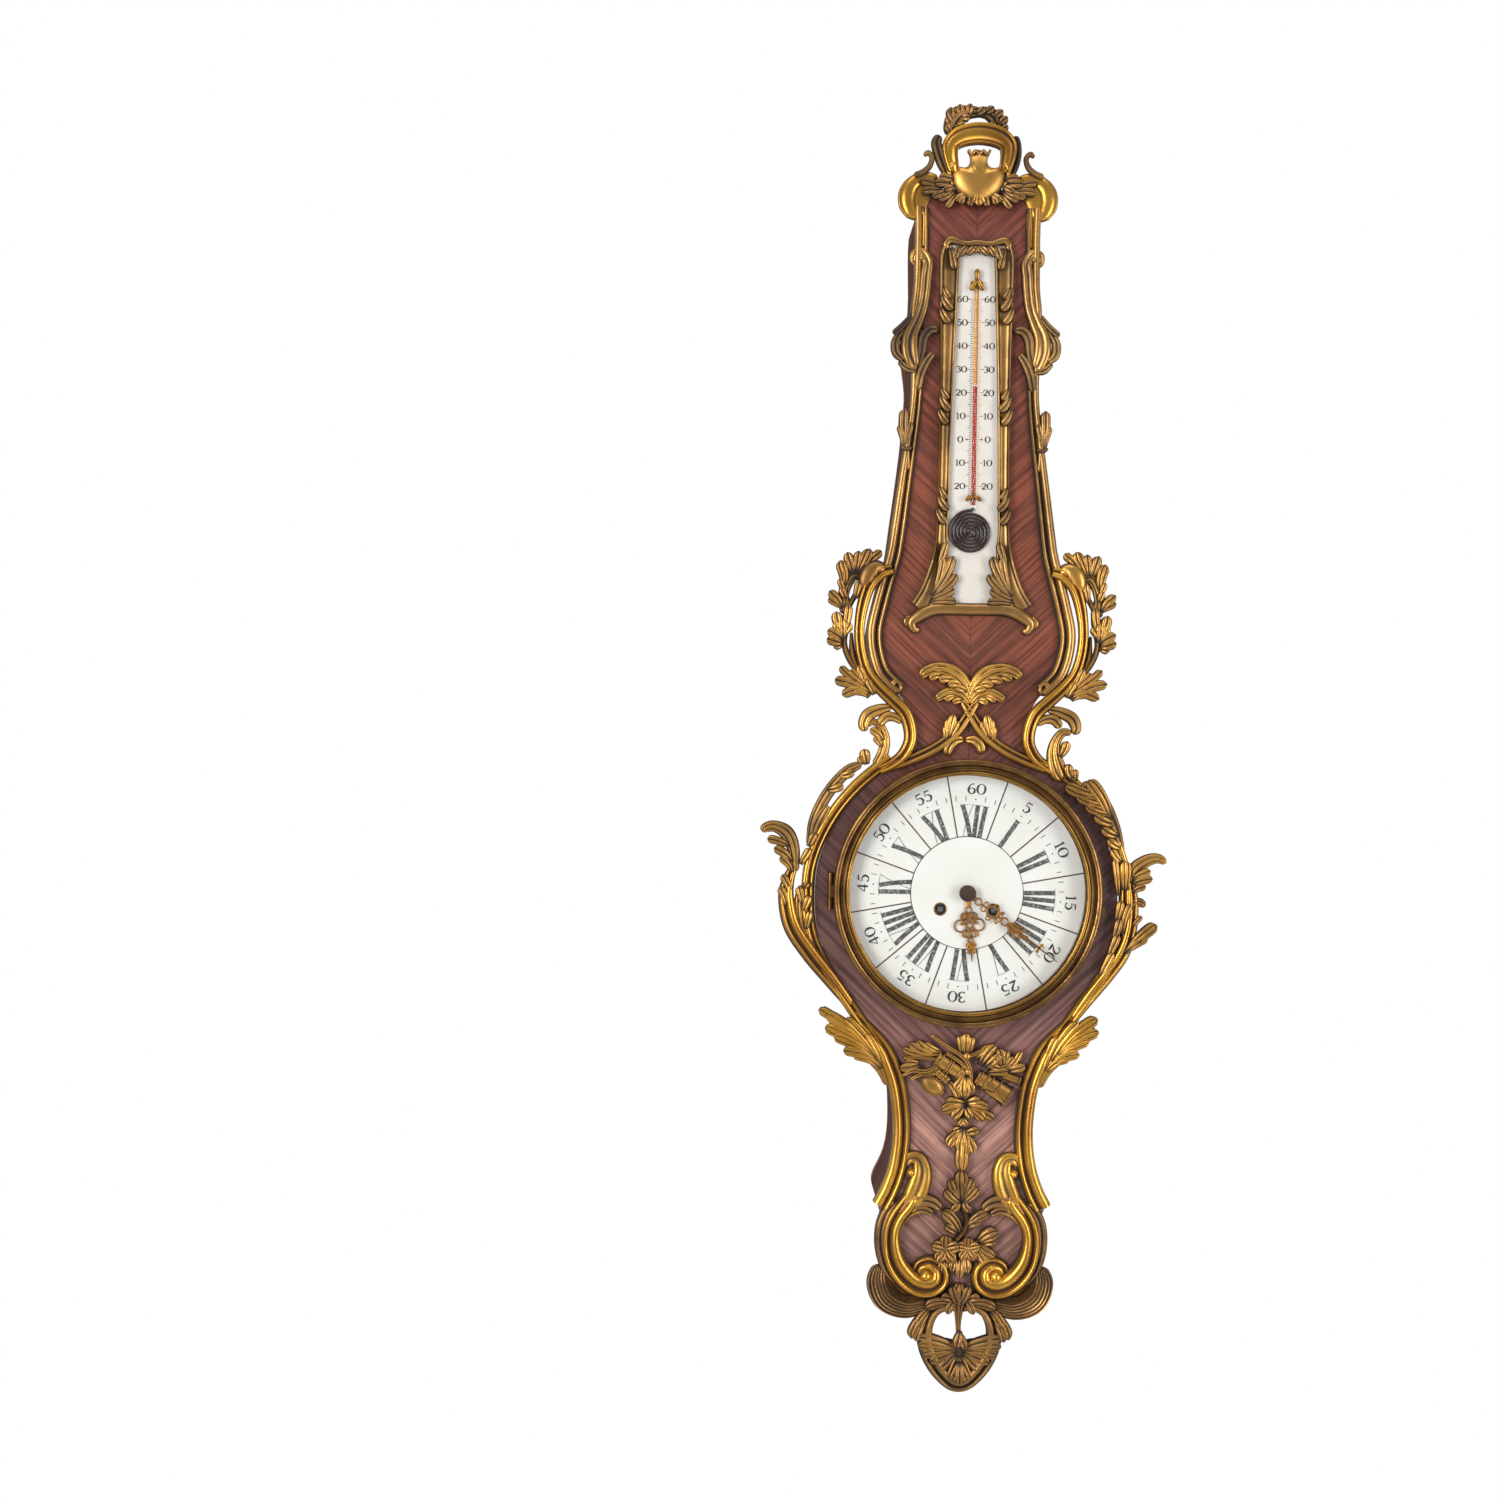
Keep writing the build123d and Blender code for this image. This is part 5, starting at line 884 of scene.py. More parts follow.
SPRAYS = [(20, 551, 31, 551.6, 3.0, 0.6), (22, 548, 34, 547.6, 3.0), (30, 545.4, 45, 548.6, 2.6, 1),
          (28, 542, 44, 541, 2.5, 0.6), (23, 542.6, 36, 536.6, 2.3), (19, 542, 31, 534.6, 2.3, -0.6),
          (17, 539, 25, 528.6, 2.2), (9, 540, 18, 534, 2.3, 0.6), (11, 540, 14, 531.6, 2.2),
          (5, 539, 7, 530, 2.2), (19, 546, 27, 542, 2.4)]
SHIELD = [(0, 532.5), (8, 536), (15.5, 541.5), (20, 548.5), (21.5, 556.5), (18, 561.5), (11, 561),
          (7.4, 563.5), (7, 569), (9.6, 574.5), (4, 572.6), (0, 575.5)]
SHIELD_CURL = [(17, 556.5, 1.3), (16.6, 560.6, 1.8), (19.6, 563, 2.2), (23, 559.5, 2.4),
               (22.4, 552.5, 1.8), (19.5, 546, 1.1)]
SHIELD_TOP = [(0.4, 570, 1.0), (3, 573, 1.3), (6, 570, 1.2), (8.6, 574, 1.1)]


def mirrored_line(rows, steps):
    """A line over the middle, from the rows of its right half."""
    return smooth_line(rows + [(-x, z, half) for x, z, half in rows[-2::-1]], steps)


arch, garland, shield = Carving(), Carving(), Carving()
arch_line = mirrored_line(ARCH_LINE, 130)
arch.limb(arch_line, arch_line[:, 2], 7.0, 3.0, COVE)
outer_line = arch_line[:, :2] - leftward(arch_line) * arch_line[:, 2:3] * 0.9
arch.limb(outer_line, 1.5, 3.6, 6.4, ROUND)
for rows, lift in GARLAND_BODY:
    roll(garland, rows, 1.0, lift, STRANDS, 1, 40, 0.6)
frond(garland, GARLAND, 1, 4.4, tip=1.0)
for side in (1, -1):
    roll(garland, ARCH_CURLS[side], 1.0, 1.4, FURROW, side, 30, 0.5, 1.6)
    frond(garland, SPRAYS, side, 3.4)
    roll(shield, SHIELD_CURL, 1.7, 3.0, ROUND, side, 36)
    roll(shield, SHIELD_TOP, 1.6, 6.0, ROUND, side, 16, 0.7)
half_shield = smooth_line(SHIELD, 30)
shield.cushion(np.vstack([half_shield, half_shield[-2:0:-1] * (-1, 1)]), 7.0, 1.8, heart=(0, 551))
frond(shield, [(0, 541, 0, 530, 2.4), (0, 541, 4, 532, 1.8), (0, 541, -4, 532, 1.8)], 1, 4.6)
cast("crest_arch_casting", arch, gilt_band, ["crest_arch"])
cast("crest_garland", garland, gilt_dark, ["crest_leaves"])
cast("crest_shield_casting", shield, gilt_leaf, ["crest_shield"])

# %% [markdown]
# Beside the waist a smooth stem bends in an S, and a leafy vine climbs on its outer side. The stem
# is one limb with a moulded section. The vine is lobes over stranded bodies, so no lobe floats.

# %% Side branches
STEM_LINE = [(62, 249, 4.0), (71, 246, 5.4), (79, 237, 5.2), (84, 222, 4.7), (86.4, 205, 4.1),
             (86, 191, 4.1), (83.4, 178, 4.1), (79, 168, 4.2), (70.4, 157.6, 4.8), (60, 148, 5.2),
             (51, 139, 5.4), (46.4, 127.6, 5.2), (46, 116, 5.0), (51.6, 105, 4.8), (61, 97.6, 4.4),
             (69, 94, 3.8)]
KNOB_LINE = [(68, 245, 3.4), (73, 249.6, 6.4), (79.6, 246, 7.4), (82, 238.6, 6.4), (79.6, 234.6, 4.0)]
VINE_STEMS = [
    [(80, 163, 2.0), (92.4, 177, 2.4), (98, 192, 2.4), (95.6, 206, 2.4), (95, 219, 2.4), (98.6, 234, 2.0)],
    [(85.6, 236, 2.4), (91.6, 226, 2.2), (95, 219, 2.0)],
    [(84, 168, 2.0), (91, 182, 2.6), (92.6, 200, 1.2)]]
VINE = [(80, 254.4, 70.6, 263, 2.6), (88, 246, 79.6, 264.4, 3.4, 0.6), (90, 247, 88, 262.6, 2.6),
        (92.6, 246, 97, 261.4, 3.0), (98.6, 236, 102.4, 255, 3.4, 1), (99, 230, 102.6, 241, 1.9),
        (100.4, 219.6, 110.4, 231.4, 2.7, 0.8), (100.4, 219, 111, 225.6, 2.0),
        (99.4, 196, 95, 221, 2.6, 0.8), (99.6, 198, 104.8, 215.6, 3.2, -0.8),
        (99.4, 197, 105.6, 207.6, 2.8), (98.6, 198, 93.4, 207, 2.8), (99, 195, 100, 210, 3.2),
        (99.6, 194, 111.2, 201, 2.8, 0.8), (100, 191, 111.6, 194.6, 3.0), (99.6, 190, 106.4, 188.4, 2.4),
        (90, 226, 87, 240, 2.4), (98, 226, 101, 234, 2.4), (82, 160, 87, 174, 2.6, 0.8),
        (80, 158, 93, 171, 2.4), (82, 158, 101, 173.4, 2.4, -1), (80, 155, 105, 163, 3.0, 1),
        (78, 153, 99, 151, 2.9, 3), (78, 153, 92, 160, 2.6), (74, 152, 80, 164, 2.4),
        (84, 160, 97, 160, 2.2), (78, 150, 90, 154, 2.2, 1.6)]
VINE_BODIES = [
    [(84, 243, 3.0), (92, 244, 4.6), (97.4, 236, 4.6), (99.4, 225.6, 4.2), (98.6, 214, 2.6)],
    [(99.4, 196, 3.0), (100.4, 206, 5.4), (100.6, 213.4, 4.0)],
    [(76, 152, 4.4), (86, 159.6, 6.4), (96, 164.6, 4.2)],
    [(99, 190, 2.6), (106.6, 195, 4.0)],
    [(99, 219, 2.0), (106, 226, 3.4)]]
LOWER_CURLS = [
    [(60, 143, 2.6), (70, 140.6, 4.4), (78.6, 136.4, 5.0), (82, 129.4, 4.4), (80.6, 123.6, 3.2)],
    [(52, 131, 2.4), (58.6, 135, 3.6), (65.4, 134.6, 4.0), (70, 128.6, 3.4)]]


def carve_branch(side):
    carving = Carving()
    line = smooth_line(STEM_LINE, 150)
    lift = np.interp(np.arange(150), [0, 80, 149], [5.0, 4.6, 0.8])
    carving.limb(line, line[:, 2], line[:, 2] * 1.1, lift, BAND, side)
    return carving


for side_name, side in SIDES:
    cast(f"branch_{side_name}", carve_branch(side), gilt_band, [f"side_branch_{side_name}"])
    vine = Carving()
    roll(vine, KNOB_LINE, 0.9, 4.4, ROUND, side, 36, 0.9)
    for rows in VINE_STEMS:
        roll(vine, rows, 1.1, 2.6, RIB, side, 40, 0.8)
    for rows in VINE_BODIES:
        roll(vine, rows, 0.6, 2.4, STRANDS, side, 24, 0.6)
    frond(vine, VINE, side, 4.2)
    for rows in LOWER_CURLS:
        roll(vine, rows, 1.0, 2.6, FURROW, side, 30, 0.8, 2.0)
    cast(f"branch_leaves_{side_name}", vine, gilt_leaf)

# %% [markdown]
# The leaves beside the dial differ on the two sides, so each side has its own bodies and lobes.
# Their stem is a second casting, in the brighter gilding of the edge mouldings.

# %% Leaves round the dial
DIAL_BODIES = {
    1: [([(73, 88, 7.0), (68, 98, 7.4), (65.6, 109, 5.6), (67, 118, 4.2), (72, 125, 3.4), (78.6, 125, 2.6)],
         0.9),
        ([(119, 20, 2.4), (117, 36, 4.6), (112, 52, 6.2), (104, 68, 7.2), (94, 81, 6.0), (88, 87, 3.0)],
         0.6),
        ([(125, 8, 3.4), (129, 19, 5.4), (137.6, 26.4, 5.0), (146.6, 29, 4.0), (153.6, 26, 2.6)], 0.8),
        ([(126, -15, 2.6), (129, -7, 3.6), (134, -5.4, 3.6), (137.6, -8.4, 2.4)], 0.7)],
    -1: [([(72, 96, 4.4), (66.6, 107, 4.4), (65, 118, 3.8), (68.6, 127.6, 3.2), (75, 131, 2.8),
           (79.6, 128, 2.2)], 0.8),
         ([(122, 34, 3.0), (119.4, 52, 4.2), (112.6, 68.4, 4.6), (103, 83, 4.6), (92.4, 93.6, 4.4),
           (83, 98.4, 2.6)], 0.6),
         ([(120, 36, 2.8), (117, 48, 4.6), (112.6, 57.6, 4.6), (108, 65.6, 3.0)], 0.6),
         ([(133, 14, 3.2), (134.6, 32, 5.0), (140, 44, 5.8), (149, 49, 4.6), (156, 48, 4.0),
           (158.4, 44.4, 3.0)], 0.7),
         ([(127, 4, 3.4), (129, -10, 4.4), (127, -28, 4.2), (119.6, -46, 3.0)], 0.6)]}
DIAL_LOBES = {
    1: [(70, 106, 75, 118.6, 2.8, -1), (80, 90, 77, 101, 3.0, 1.6), (83, 88, 82, 97, 1.8),
        (110, 58, 91.6, 88.6, 4.2, -2), (102, 76, 74, 84, 4.0, 1.6), (106, 70, 83, 77, 3.6, 1.6),
        (110, 63, 90, 69.6, 3.4, 1.4), (113, 55, 97, 61.6, 3.2, 1.2), (116, 46, 103, 52, 3.0, 1.2),
        (118, 37, 108, 43.6, 2.8, 1), (119, 26, 111, 35.6, 2.4, 1), (122, 4, 121.6, 27, 3.6),
        (117, 0, 113.6, 28, 2.0), (128, 13, 141, 19.6, 2.4, 0.6), (128, 9, 142.6, 13.6, 2.8, 0.8),
        (128, 3, 137.6, 7.6, 2.3, 0.6), (128, -24, 135, -15.6, 1.6), (125, -42, 146.4, -22, 3.6, 1),
        (123, -44, 139.6, -32, 2.8, 1), (116, -20, 119, -4, 2.6), (114, -36, 118, -18, 2.6),
        (110, -48, 117, -30, 2.6), (120, -30, 126, -6, 2.2, 1), (104, -62, 113, -44, 2.6)],
    -1: [(67, 117, 77, 125.6, 2.4, 1), (67.6, 112, 73.6, 120, 2.0), (79, 98, 81.6, 110, 3.2),
         (82, 98, 85.6, 104, 1.8), (100, 89, 89, 92.6, 2.6, 1), (109, 78, 97, 82, 2.6, 1),
         (123, 34, 118, 44.6, 2.6), (129, 20, 121.6, 32.6, 2.4), (138, 34, 155, 39.6, 2.5, 1),
         (136, 22, 149.6, 32.6, 2.8, 1.6), (135, 14, 145, 25.6, 2.1, 1), (136, -4, 143, 12, 2.5, 1),
         (139, -12, 145, 2.6, 2.6, 1), (126, 2, 122.6, 6, 2.2), (126, -16, 121.6, -4, 2.4),
         (124, -30, 121, -16, 2.2), (127, -10, 130, 3, 2.6)]}
OUTER_STEM = {
    1: [(125, 14, 3.2), (128, 2, 4.2), (128.6, -14, 4.8), (126.6, -30, 5.2), (121, -46, 5.6),
        (110, -62, 5.6), (96, -80, 5.0), (84, -97, 3.6)],
    -1: [(134, 18, 3.2), (138, 8, 4.8), (139.6, -6, 6.2), (134.6, -28, 6.8), (120.5, -49, 6.8),
         (103, -70, 6.0), (88, -89, 4.2)]}

for side_name, side in SIDES:
    stem, foliage = Carving(), Carving()
    roll(stem, OUTER_STEM[side], 1.0, 1.2, BAND, side, 110)
    for rows, shade in DIAL_BODIES[side]:
        roll(foliage, rows, 0.7, 1.6, STRANDS, side, 50, shade, 3.0)
    frond(foliage, DIAL_LOBES[side], side, 3.6)
    cast(f"dial_stem_{side_name}", stem, gilt_band, [f"dial_branch_{side_name}"])
    cast(f"dial_leaves_{side_name}", foliage, gilt_leaf)

# %% [markdown]
# At the waist two long leaves cross over the veneer. The one that runs down to the right lies on
# top, so its stem has more lift than the other.

# %% Crossed leaves at the waist
CROSS_ARMS = [
    [(-2, 148, 2.6), (3.4, 160.6, 4.8), (11.6, 169.6, 5.8), (23.6, 173.4, 5.2), (34, 171, 4.6),
     (38.6, 166.4, 3.8)],
    [(0, 146, 2.4), (6.6, 152.8, 4.2), (14.6, 155, 4.4), (21.6, 152.6, 4.0), (26.4, 149, 3.2)]]
CROSS_LOBES = [(3, 155.6, 12, 158.6, 2.4, 0.8), (7.6, 161, 17.4, 160.4, 2.6, 1),
               (14, 164.6, 24.6, 163.6, 2.6, 1), (22, 168, 31.6, 164.6, 2.4, 1), (2, 156, 9, 169, 1.8, 1),
               (9, 165, 20, 174, 2.0, 1), (19, 170.6, 31, 173.6, 2.0, 0.6),
               (6, 149, 13.6, 146.6, 2.2, 0.6), (12, 152, 19.6, 148.4, 2.1, 0.6), (15, 120, 9, 132.6, 2.2),
               (16.6, 120.6, 12.6, 137.6, 2.8), (18, 120, 16.4, 134, 2.3), (18.6, 118, 18.6, 128.6, 2.0)]
CROSS_CURLS = {1: [(-3, 118.4, 2.4), (4, 118, 4.0), (8.6, 113.6, 4.2), (9.6, 107.4, 3.4)],
               -1: [(4, 118.6, 2.4), (11, 117.6, 4.2), (15.6, 112.6, 4.4), (17, 105.4, 3.4)]}
CROSS_STEM = [(-6, 149, 2.4), (0, 139.6, 3.8), (9.6, 125.6, 4.4), (24, 113, 4.6), (42, 103.6, 4.6),
              (62, 96.6, 4.2)]
carving = Carving()
for side in (1, -1):
    for rows in CROSS_ARMS:
        roll(carving, rows, 0.9, 1.2, STRANDS, side, 40, 0.8, 2.4)
    frond(carving, CROSS_LOBES, side, 2.2)
    roll(carving, CROSS_STEM, 1.0, 0.8 + 0.8 * (side > 0), BAND, side, 80)
    roll(carving, CROSS_CURLS[side], 1.0, 0.8, FURROW, side, 24, 0.8)
carving.button(-3, 139.4, 1.6, 1.2, 5.4)
cast("crossed_leaves", carving, gilt_leaf, ["crossed_acanthus"])

# %% [markdown]
# Under the dial a leaf fans out on each side, over the foot's band. The right one is a little
# shorter, and the left one has a lobe more.

# %% Foot leaves, under the dial
LEAF_BODY = [(58, -150, 3.4), (62.6, -137, 5.6), (72, -124.6, 7.4), (84, -114, 7.0), (97, -104, 4.0)]
LEAF_LOBES = [(72, -124, 107, -95, 3.6, 2.6), (72, -126, 108, -105, 3.6, 2.6),
              (70, -129, 101, -112, 3.4, 2.4), (68, -132, 93.6, -123, 3.2, 2.4),
              (64, -137, 86, -127, 2.5, 2.4), (66, -128, 92, -98, 3.2, 1.6), (62, -134, 76, -110, 2.6, 1)]
LEFT_LOBE = (74, -122, 113, -91, 3.0, 2.6)
RIGHT_SHORTER = 5
FOOT_LOBES = {1: [(x, z, x_end - RIGHT_SHORTER, *rest) for x, z, x_end, *rest in LEAF_LOBES],
              -1: LEAF_LOBES + [LEFT_LOBE]}
for side_name, side in SIDES:
    carving = Carving()
    roll(carving, LEAF_BODY, 0.5, 1.2, STRANDS, side, 50, 0.9)
    frond(carving, FOOT_LOBES[side], side, 2.6, tip=2.4)
    cast(f"foot_leaves_{side_name}", carving, gilt_band)

# %% [markdown]
# The foot ends in two heavy S bands with shells outside them. A shell is the same kind of limb
# with a section of many ribs, carried round a bend.

# %% Base scrolls
BASE_LINE = [(37, -232, 6.4), (42.6, -241, 7.2), (49.4, -250, 7.0), (53.6, -260, 7.0), (54.4, -272, 7.6),
             (51.6, -285, 8.8), (44.6, -296, 9.4), (35, -303.6, 9.2), (24.6, -305.6, 8.8),
             (16.4, -300.6, 8.4), (16.4, -291.6, 7.4), (23.4, -286.6, 6.2), (31.6, -288.8, 5.0),
             (34, -296.4, 4.0), (29.4, -301, 3.0)]
BASE_RIM = [(51, -240, 2.6), (58, -248, 4.2), (62, -260, 4.6), (62, -276, 4.6), (57.6, -291, 4.2),
            (49, -303, 3.0)]
TOP_CURL = [(42, -249, 5.2), (37.4, -237, 8.8), (33, -226, 9.4), (31, -215, 7.8), (34, -206.6, 6.0),
            (40.6, -206, 5.0), (44, -211.6, 3.8)]
BASE_ARCS = [
    [(48, -252, 3.4), (41, -242.6, 5.0), (32, -238, 5.6), (23, -239, 4.8), (15.6, -244.6, 3.4)],
    [(46, -256, 2.8), (39, -248, 3.8), (30, -245, 4.0), (22, -248.4, 2.8)]]
SHELL_LINES = [
    ([(20, -311, 3.4), (34, -314, 6.6), (48, -307, 8.0), (57, -295, 6.4)], 0.3),
    ([(23, -319, 5.6), (42, -322.6, 7.8), (57.4, -316, 9.4), (63.6, -302, 9.0), (62, -288.6, 5.0)], 0.75),
    ([(32, -313, 2.2), (45, -314, 3.8), (55, -306, 4.4), (58.4, -294, 2.6)], 1.7)]

for side_name, side in SIDES:
    band, shells = Carving(), Carving()
    roll(band, BASE_LINE, 1.1, 0.8, BAND, side, 170)
    band.button(27, -296, 5.6, 8.0, 2.4, side)
    roll(band, TOP_CURL, 0.7, 1.2, FURROW, side, 60, 0.7)
    band.button(39.6, -216.6, 3.4, 5.0, 3.4, side)
    roll(shells, BASE_RIM, 1.3, 0.4, FURROW, side, 60, 0.85)
    for rows in BASE_ARCS:
        roll(shells, rows, 1.0, 1.8, FURROW, side, 40, 0.8, 2.0)
    for rows, rise in SHELL_LINES:
        roll(shells, rows, rise, 0.4, SHELL, side, 60)
    cast(f"base_band_{side_name}", band, gilt_band, [f"base_scroll_{side_name}"])
    cast(f"base_shells_{side_name}", shells, gilt_dark)


# %% [markdown]
# Under the dial hangs a trophy: quivers with arrows, crossed under a knot of ribbon, a medal and
# leaves. A quiver is a tapering tube with raised bands, so one helper makes all four tubes.

# %% Trophy
def tube(carving, ends, halves, rise, lift, bands, steps=24):
    """A tapering case with raised bands across it."""
    line = smooth_line(ends, steps)
    half = np.linspace(*halves, steps)
    carving.limb(line, half, rise, lift, ROUND)
    left = leftward(line)
    for place in bands:
        spot = int(place * (steps - 1))
        across = left[spot] * half[spot] * 1.1
        bar = np.linspace(line[spot, :2] - across, line[spot, :2] + across, 9)
        bow = np.sqrt(1 - np.linspace(-0.96, 0.96, 9) ** 2) * rise * 0.95
        carving.limb(bar, 0.9, 1.6, lift + bow, ROUND, shade=0.6)


TROPHY_LOBES = [(-18, -124, -42.6, -116.6, 2.8, 3), (-20, -125, -37, -114.6, 2.4, 2),
                (-18, -123, -31, -116, 2.2, 1), (-26, -125, -47.6, -121, 2.2, 1.6),
                (-34, -133, -49.6, -136, 2.8, 0.6), (-34, -132, -46, -131, 2.2), (-2, -124, -4, -110, 2.2),
                (1, -124, 1, -108, 2.6), (4, -124, 6, -111, 2.2), (8, -128, 20, -117.6, 2.2, 0.6),
                (30, -134, 26.6, -119.6, 2.9, -0.6), (28, -134, 21.4, -124.6, 2.4),
                (31, -133, 33, -121, 2.4), (32, -134, 38.6, -126, 2.2), (29, -136, 20, -133, 2.4),
                (22, -137.6, 41, -130.6, 1.6), (0, -140, -7, -152, 2.6), (1, -142, 1, -158, 4.0),
                (2, -142, 7, -154, 2.8), (30, -138, 44, -121, 2.0, -2), (12, -133, 24, -116.6, 3.0, 1),
                (16, -135, 29, -124, 3.0), (34, -137, 47, -133, 2.8), (18, -139, 34, -137, 2.6),
                (-12, -146, -4, -158, 2.6, 1)]
TROPHY_RIBBONS = [
    [(-47, -128, 1.0), (-34, -127.6, 1.4), (-20, -129, 1.4)],
    [(-48, -142, 1.0), (-39, -137.6, 1.9), (-29, -138, 2.0), (-18, -132, 1.4)],
    [(-42, -145, 1.0), (-33, -140.6, 1.7), (-22, -140, 1.2)],
    [(-26, -110, 1.3), (-14, -118, 1.6), (-2, -126, 1.7), (4, -134, 1.7), (6, -146, 1.3)],
    [(-14, -124, 1.4), (-4, -130, 1.6), (4, -138, 1.3)],
    [(22, -116, 1.3), (12, -122, 1.6), (2, -127, 1.7)]]
trophy = Carving()
tube(trophy, [(-22, -128), (-12, -134), (0, -141)], (6.2, 5.0), 5.0, 1.8, (0.06, 0.2, 0.44, 0.56, 0.86))
tube(trophy, [(10, -142), (22, -149), (35, -158)], (6.0, 8.4), 5.6, 1.4, (0.1, 0.3, 0.42, 0.62, 0.96))
tube(trophy, [(30, -140), (37, -142.6), (44, -145)], (3.4, 3.6), 4.0, 1.6, (0.1, 0.95))
tube(trophy, [(-24, -136), (-18, -141), (-12, -146)], (4.0, 3.4), 3.0, 1.2, (0.1, 0.3, 0.5, 0.7, 0.9))
for i in range(4):
    first, last = (16.4 + 2.6 * i, -152 - 0.6 * i), (25.4 + 2.0 * i, -158.4 - 1.4 * i)
    trophy.limb(np.linspace(first, last, 8), 0.8, 1.6, 6.2, ROUND, 1, 0.9)
MEDAL_X, MEDAL_Z, MEDAL_ACROSS, MEDAL_UP, MEDAL_LEAN = -24, -149.6, 8.6, 6.6, 3.2
turn = np.radians(np.arange(0, 360, 12))
medal = np.stack([MEDAL_X + MEDAL_ACROSS * np.cos(turn),
                  MEDAL_Z + MEDAL_UP * np.sin(turn) - MEDAL_LEAN * np.cos(turn)], 1)
trophy.cushion(medal, 3.0, 2.0)
medal_rim = [(x, z, 0.8) for x, z in np.vstack([medal, medal[:1]])]
roll(trophy, medal_rim, 1.6, 2.4, ROUND, 1, 40, 0.5)
for rows in TROPHY_RIBBONS:
    roll(trophy, rows, 1.6, 4.0, FURROW, 1, 30, 0.9)
frond(trophy, TROPHY_LOBES, 1, 2.4)
trophy.button(2, -126, 3.6, 3.6, 4.6)
trophy.button(3, -138, 3.0, 3.0, 5.0)
cast("trophy", trophy, gilt_leaf, ["trophy_mount"])

# %% [markdown]
# A drop of flowers hangs on the foot's veneer, and a bunch of larger ones fills the gap between the
# base scrolls. A round flower is five cupped lobes about an eye.

# %% Flower drop, and the flowers at the foot
DROP_LOBES = [(1, -163, -14, -161.6, 3.0, -0.6), (1, -164, -17, -168.6, 3.4, -0.6),
              (0, -165, -8.6, -174.6, 3.2), (3, -162, 13, -159.6, 3.2), (4, -164, 19, -165.6, 3.6, 0.6),
              (3, -165, 16.6, -175.6, 3.4, 1), (10, -168, 23.6, -174.6, 2.6, 1), (2, -166, 6, -174, 2.8),
              (0, -174, -3, -180, 2.0), (0, -174, 3, -180, 2.0), (-1, -184, -11.6, -196, 3.8, -1),
              (-2, -182, -7.6, -184, 2.2), (2, -186, 12, -182.6, 2.8), (3, -187, 8.6, -200.6, 3.2, 0.6),
              (0, -182, -3, -199, 3.2), (1, -182, 3, -202, 3.6), (0, -186, -0.6, -214, 4.2)]
BOUQUET_LOBES = [(-1, -240, -13, -229, 3.8, 1), (-1, -238, -9, -221, 3.4, 0.6), (0, -238, -1, -214, 4.2),
                 (1, -238, 7, -220, 3.6), (1, -239, 12, -227, 3.6, -0.6), (-2, -238, -8, -246, 2.6, 1),
                 (2, -238, 6.6, -246, 2.6, -1), (-1, -262, -15, -246, 4.0, -1.6),
                 (-3, -263, -12.6, -257, 2.8), (5, -258, 20, -247, 3.4, 1.6), (4, -259, 14, -254, 2.8, 1),
                 (14, -269, 28, -261, 4.6, 1), (17, -271, 27, -268, 3.0), (12, -272, 26, -281, 3.6, -0.6),
                 (11, -274, 18.6, -286, 2.8), (-12, -283, -15, -293, 3.4), (-5, -282, -7, -292, 3.2),
                 (4, -281, 5, -293, 3.2), (0, -283, -1, -297, 3.0)]


def flower(carving, x, z, reach, lift, petals=5):
    """Cupped petals round an eye."""
    for i in range(petals):
        turn = math.radians(90 + 360 / petals * i)
        frond(carving, [(x, z, x + reach * math.cos(turn), z + reach * math.sin(turn), reach * 0.35)], 1,
              lift, tip=3.2, rise=0.8)
    carving.button(x, z, reach * 0.26, 2.4, lift + 1.6)


drop, bouquet = Carving(), Carving()
frond(drop, DROP_LOBES, 1, 1.6)
drop.button(0.6, -193.6, 1.5, 1.4, 6.0)
frond(bouquet, BOUQUET_LOBES, 1, 1.8)
roll(bouquet, [(0, -240, 2.4), (4.6, -254, 3.0), (1, -264, 3.0), (-6, -272, 2.4)], 1.6, 1.0, RIB, 1, 24)
roll(bouquet, [(4, -274, 1.6), (10, -271, 1.8), (16, -268, 1.6)], 1.6, 1.0, RIB, 1, 16)
flower(bouquet, -12.4, -275, 11.4, 3.0)
flower(bouquet, 5, -274.6, 9.6, 2.6)
cast("flower_garland", drop, gilt_leaf, ["flower_drop"])
cast("foot_flowers", bouquet, gilt_dark, ["base_flowers"])

# %% [markdown]
# The pendant below closes the clock: a rim, a fan of leaves and a stalk, over a low plate that ties
# them together.

# %% Pendant
RIM_LINE = [(3, -319, 4.6), (13, -319, 5.2), (22, -325, 5.8), (26.8, -338, 6.2), (25, -353, 6.4),
            (18, -367, 6.4), (8, -378, 6.0), (0, -381, 5.8)]
SIDE_DROPS = [(24, -322, 33, -335, 3.4, 1), (27, -325, 37.6, -344, 3.4, 1.6), (27, -330, 34, -346, 2.8, 1),
              (5, -315, 15, -312, 2.8, 1), (8, -317, 27, -320, 3.4, 2), (4, -314, 10, -325, 2.6, 1)]
FAN = [(2, -352, 31, -343, 3.2, 1), (3, -353, 32, -349, 3.3, 0.6), (3, -354, 29, -356, 3.3),
       (3, -355, 23, -362, 3.0), (4, -357, 15, -368, 2.8), (1, -358, 7, -374, 2.8)]
LOWER_PLATE = [(-28, -346), (-12, -345), (0, -347), (12, -345), (28, -346), (24, -364), (12, -378),
               (0, -384), (-12, -378), (-24, -364), (-28, -346)]
STALK = [(0, -301, 3.4), (-1, -306, 5.8), (-1, -314, 5.4), (-1, -324, 3.4), (-1, -336, 2.0),
         (0, -346, 2.6)]
STALK_LOBES = [(-1, -318, -7, -303, 2.6, 1), (-1, -318, 6, -303, 2.6, -1), (0, -338, -3, -350, 3.0),
               (0, -340, 4, -351, 2.6), (0, -362, 0, -378, 3.2), (0, -362, -6, -376, 2.6),
               (0, -362, 6, -376, 2.6)]

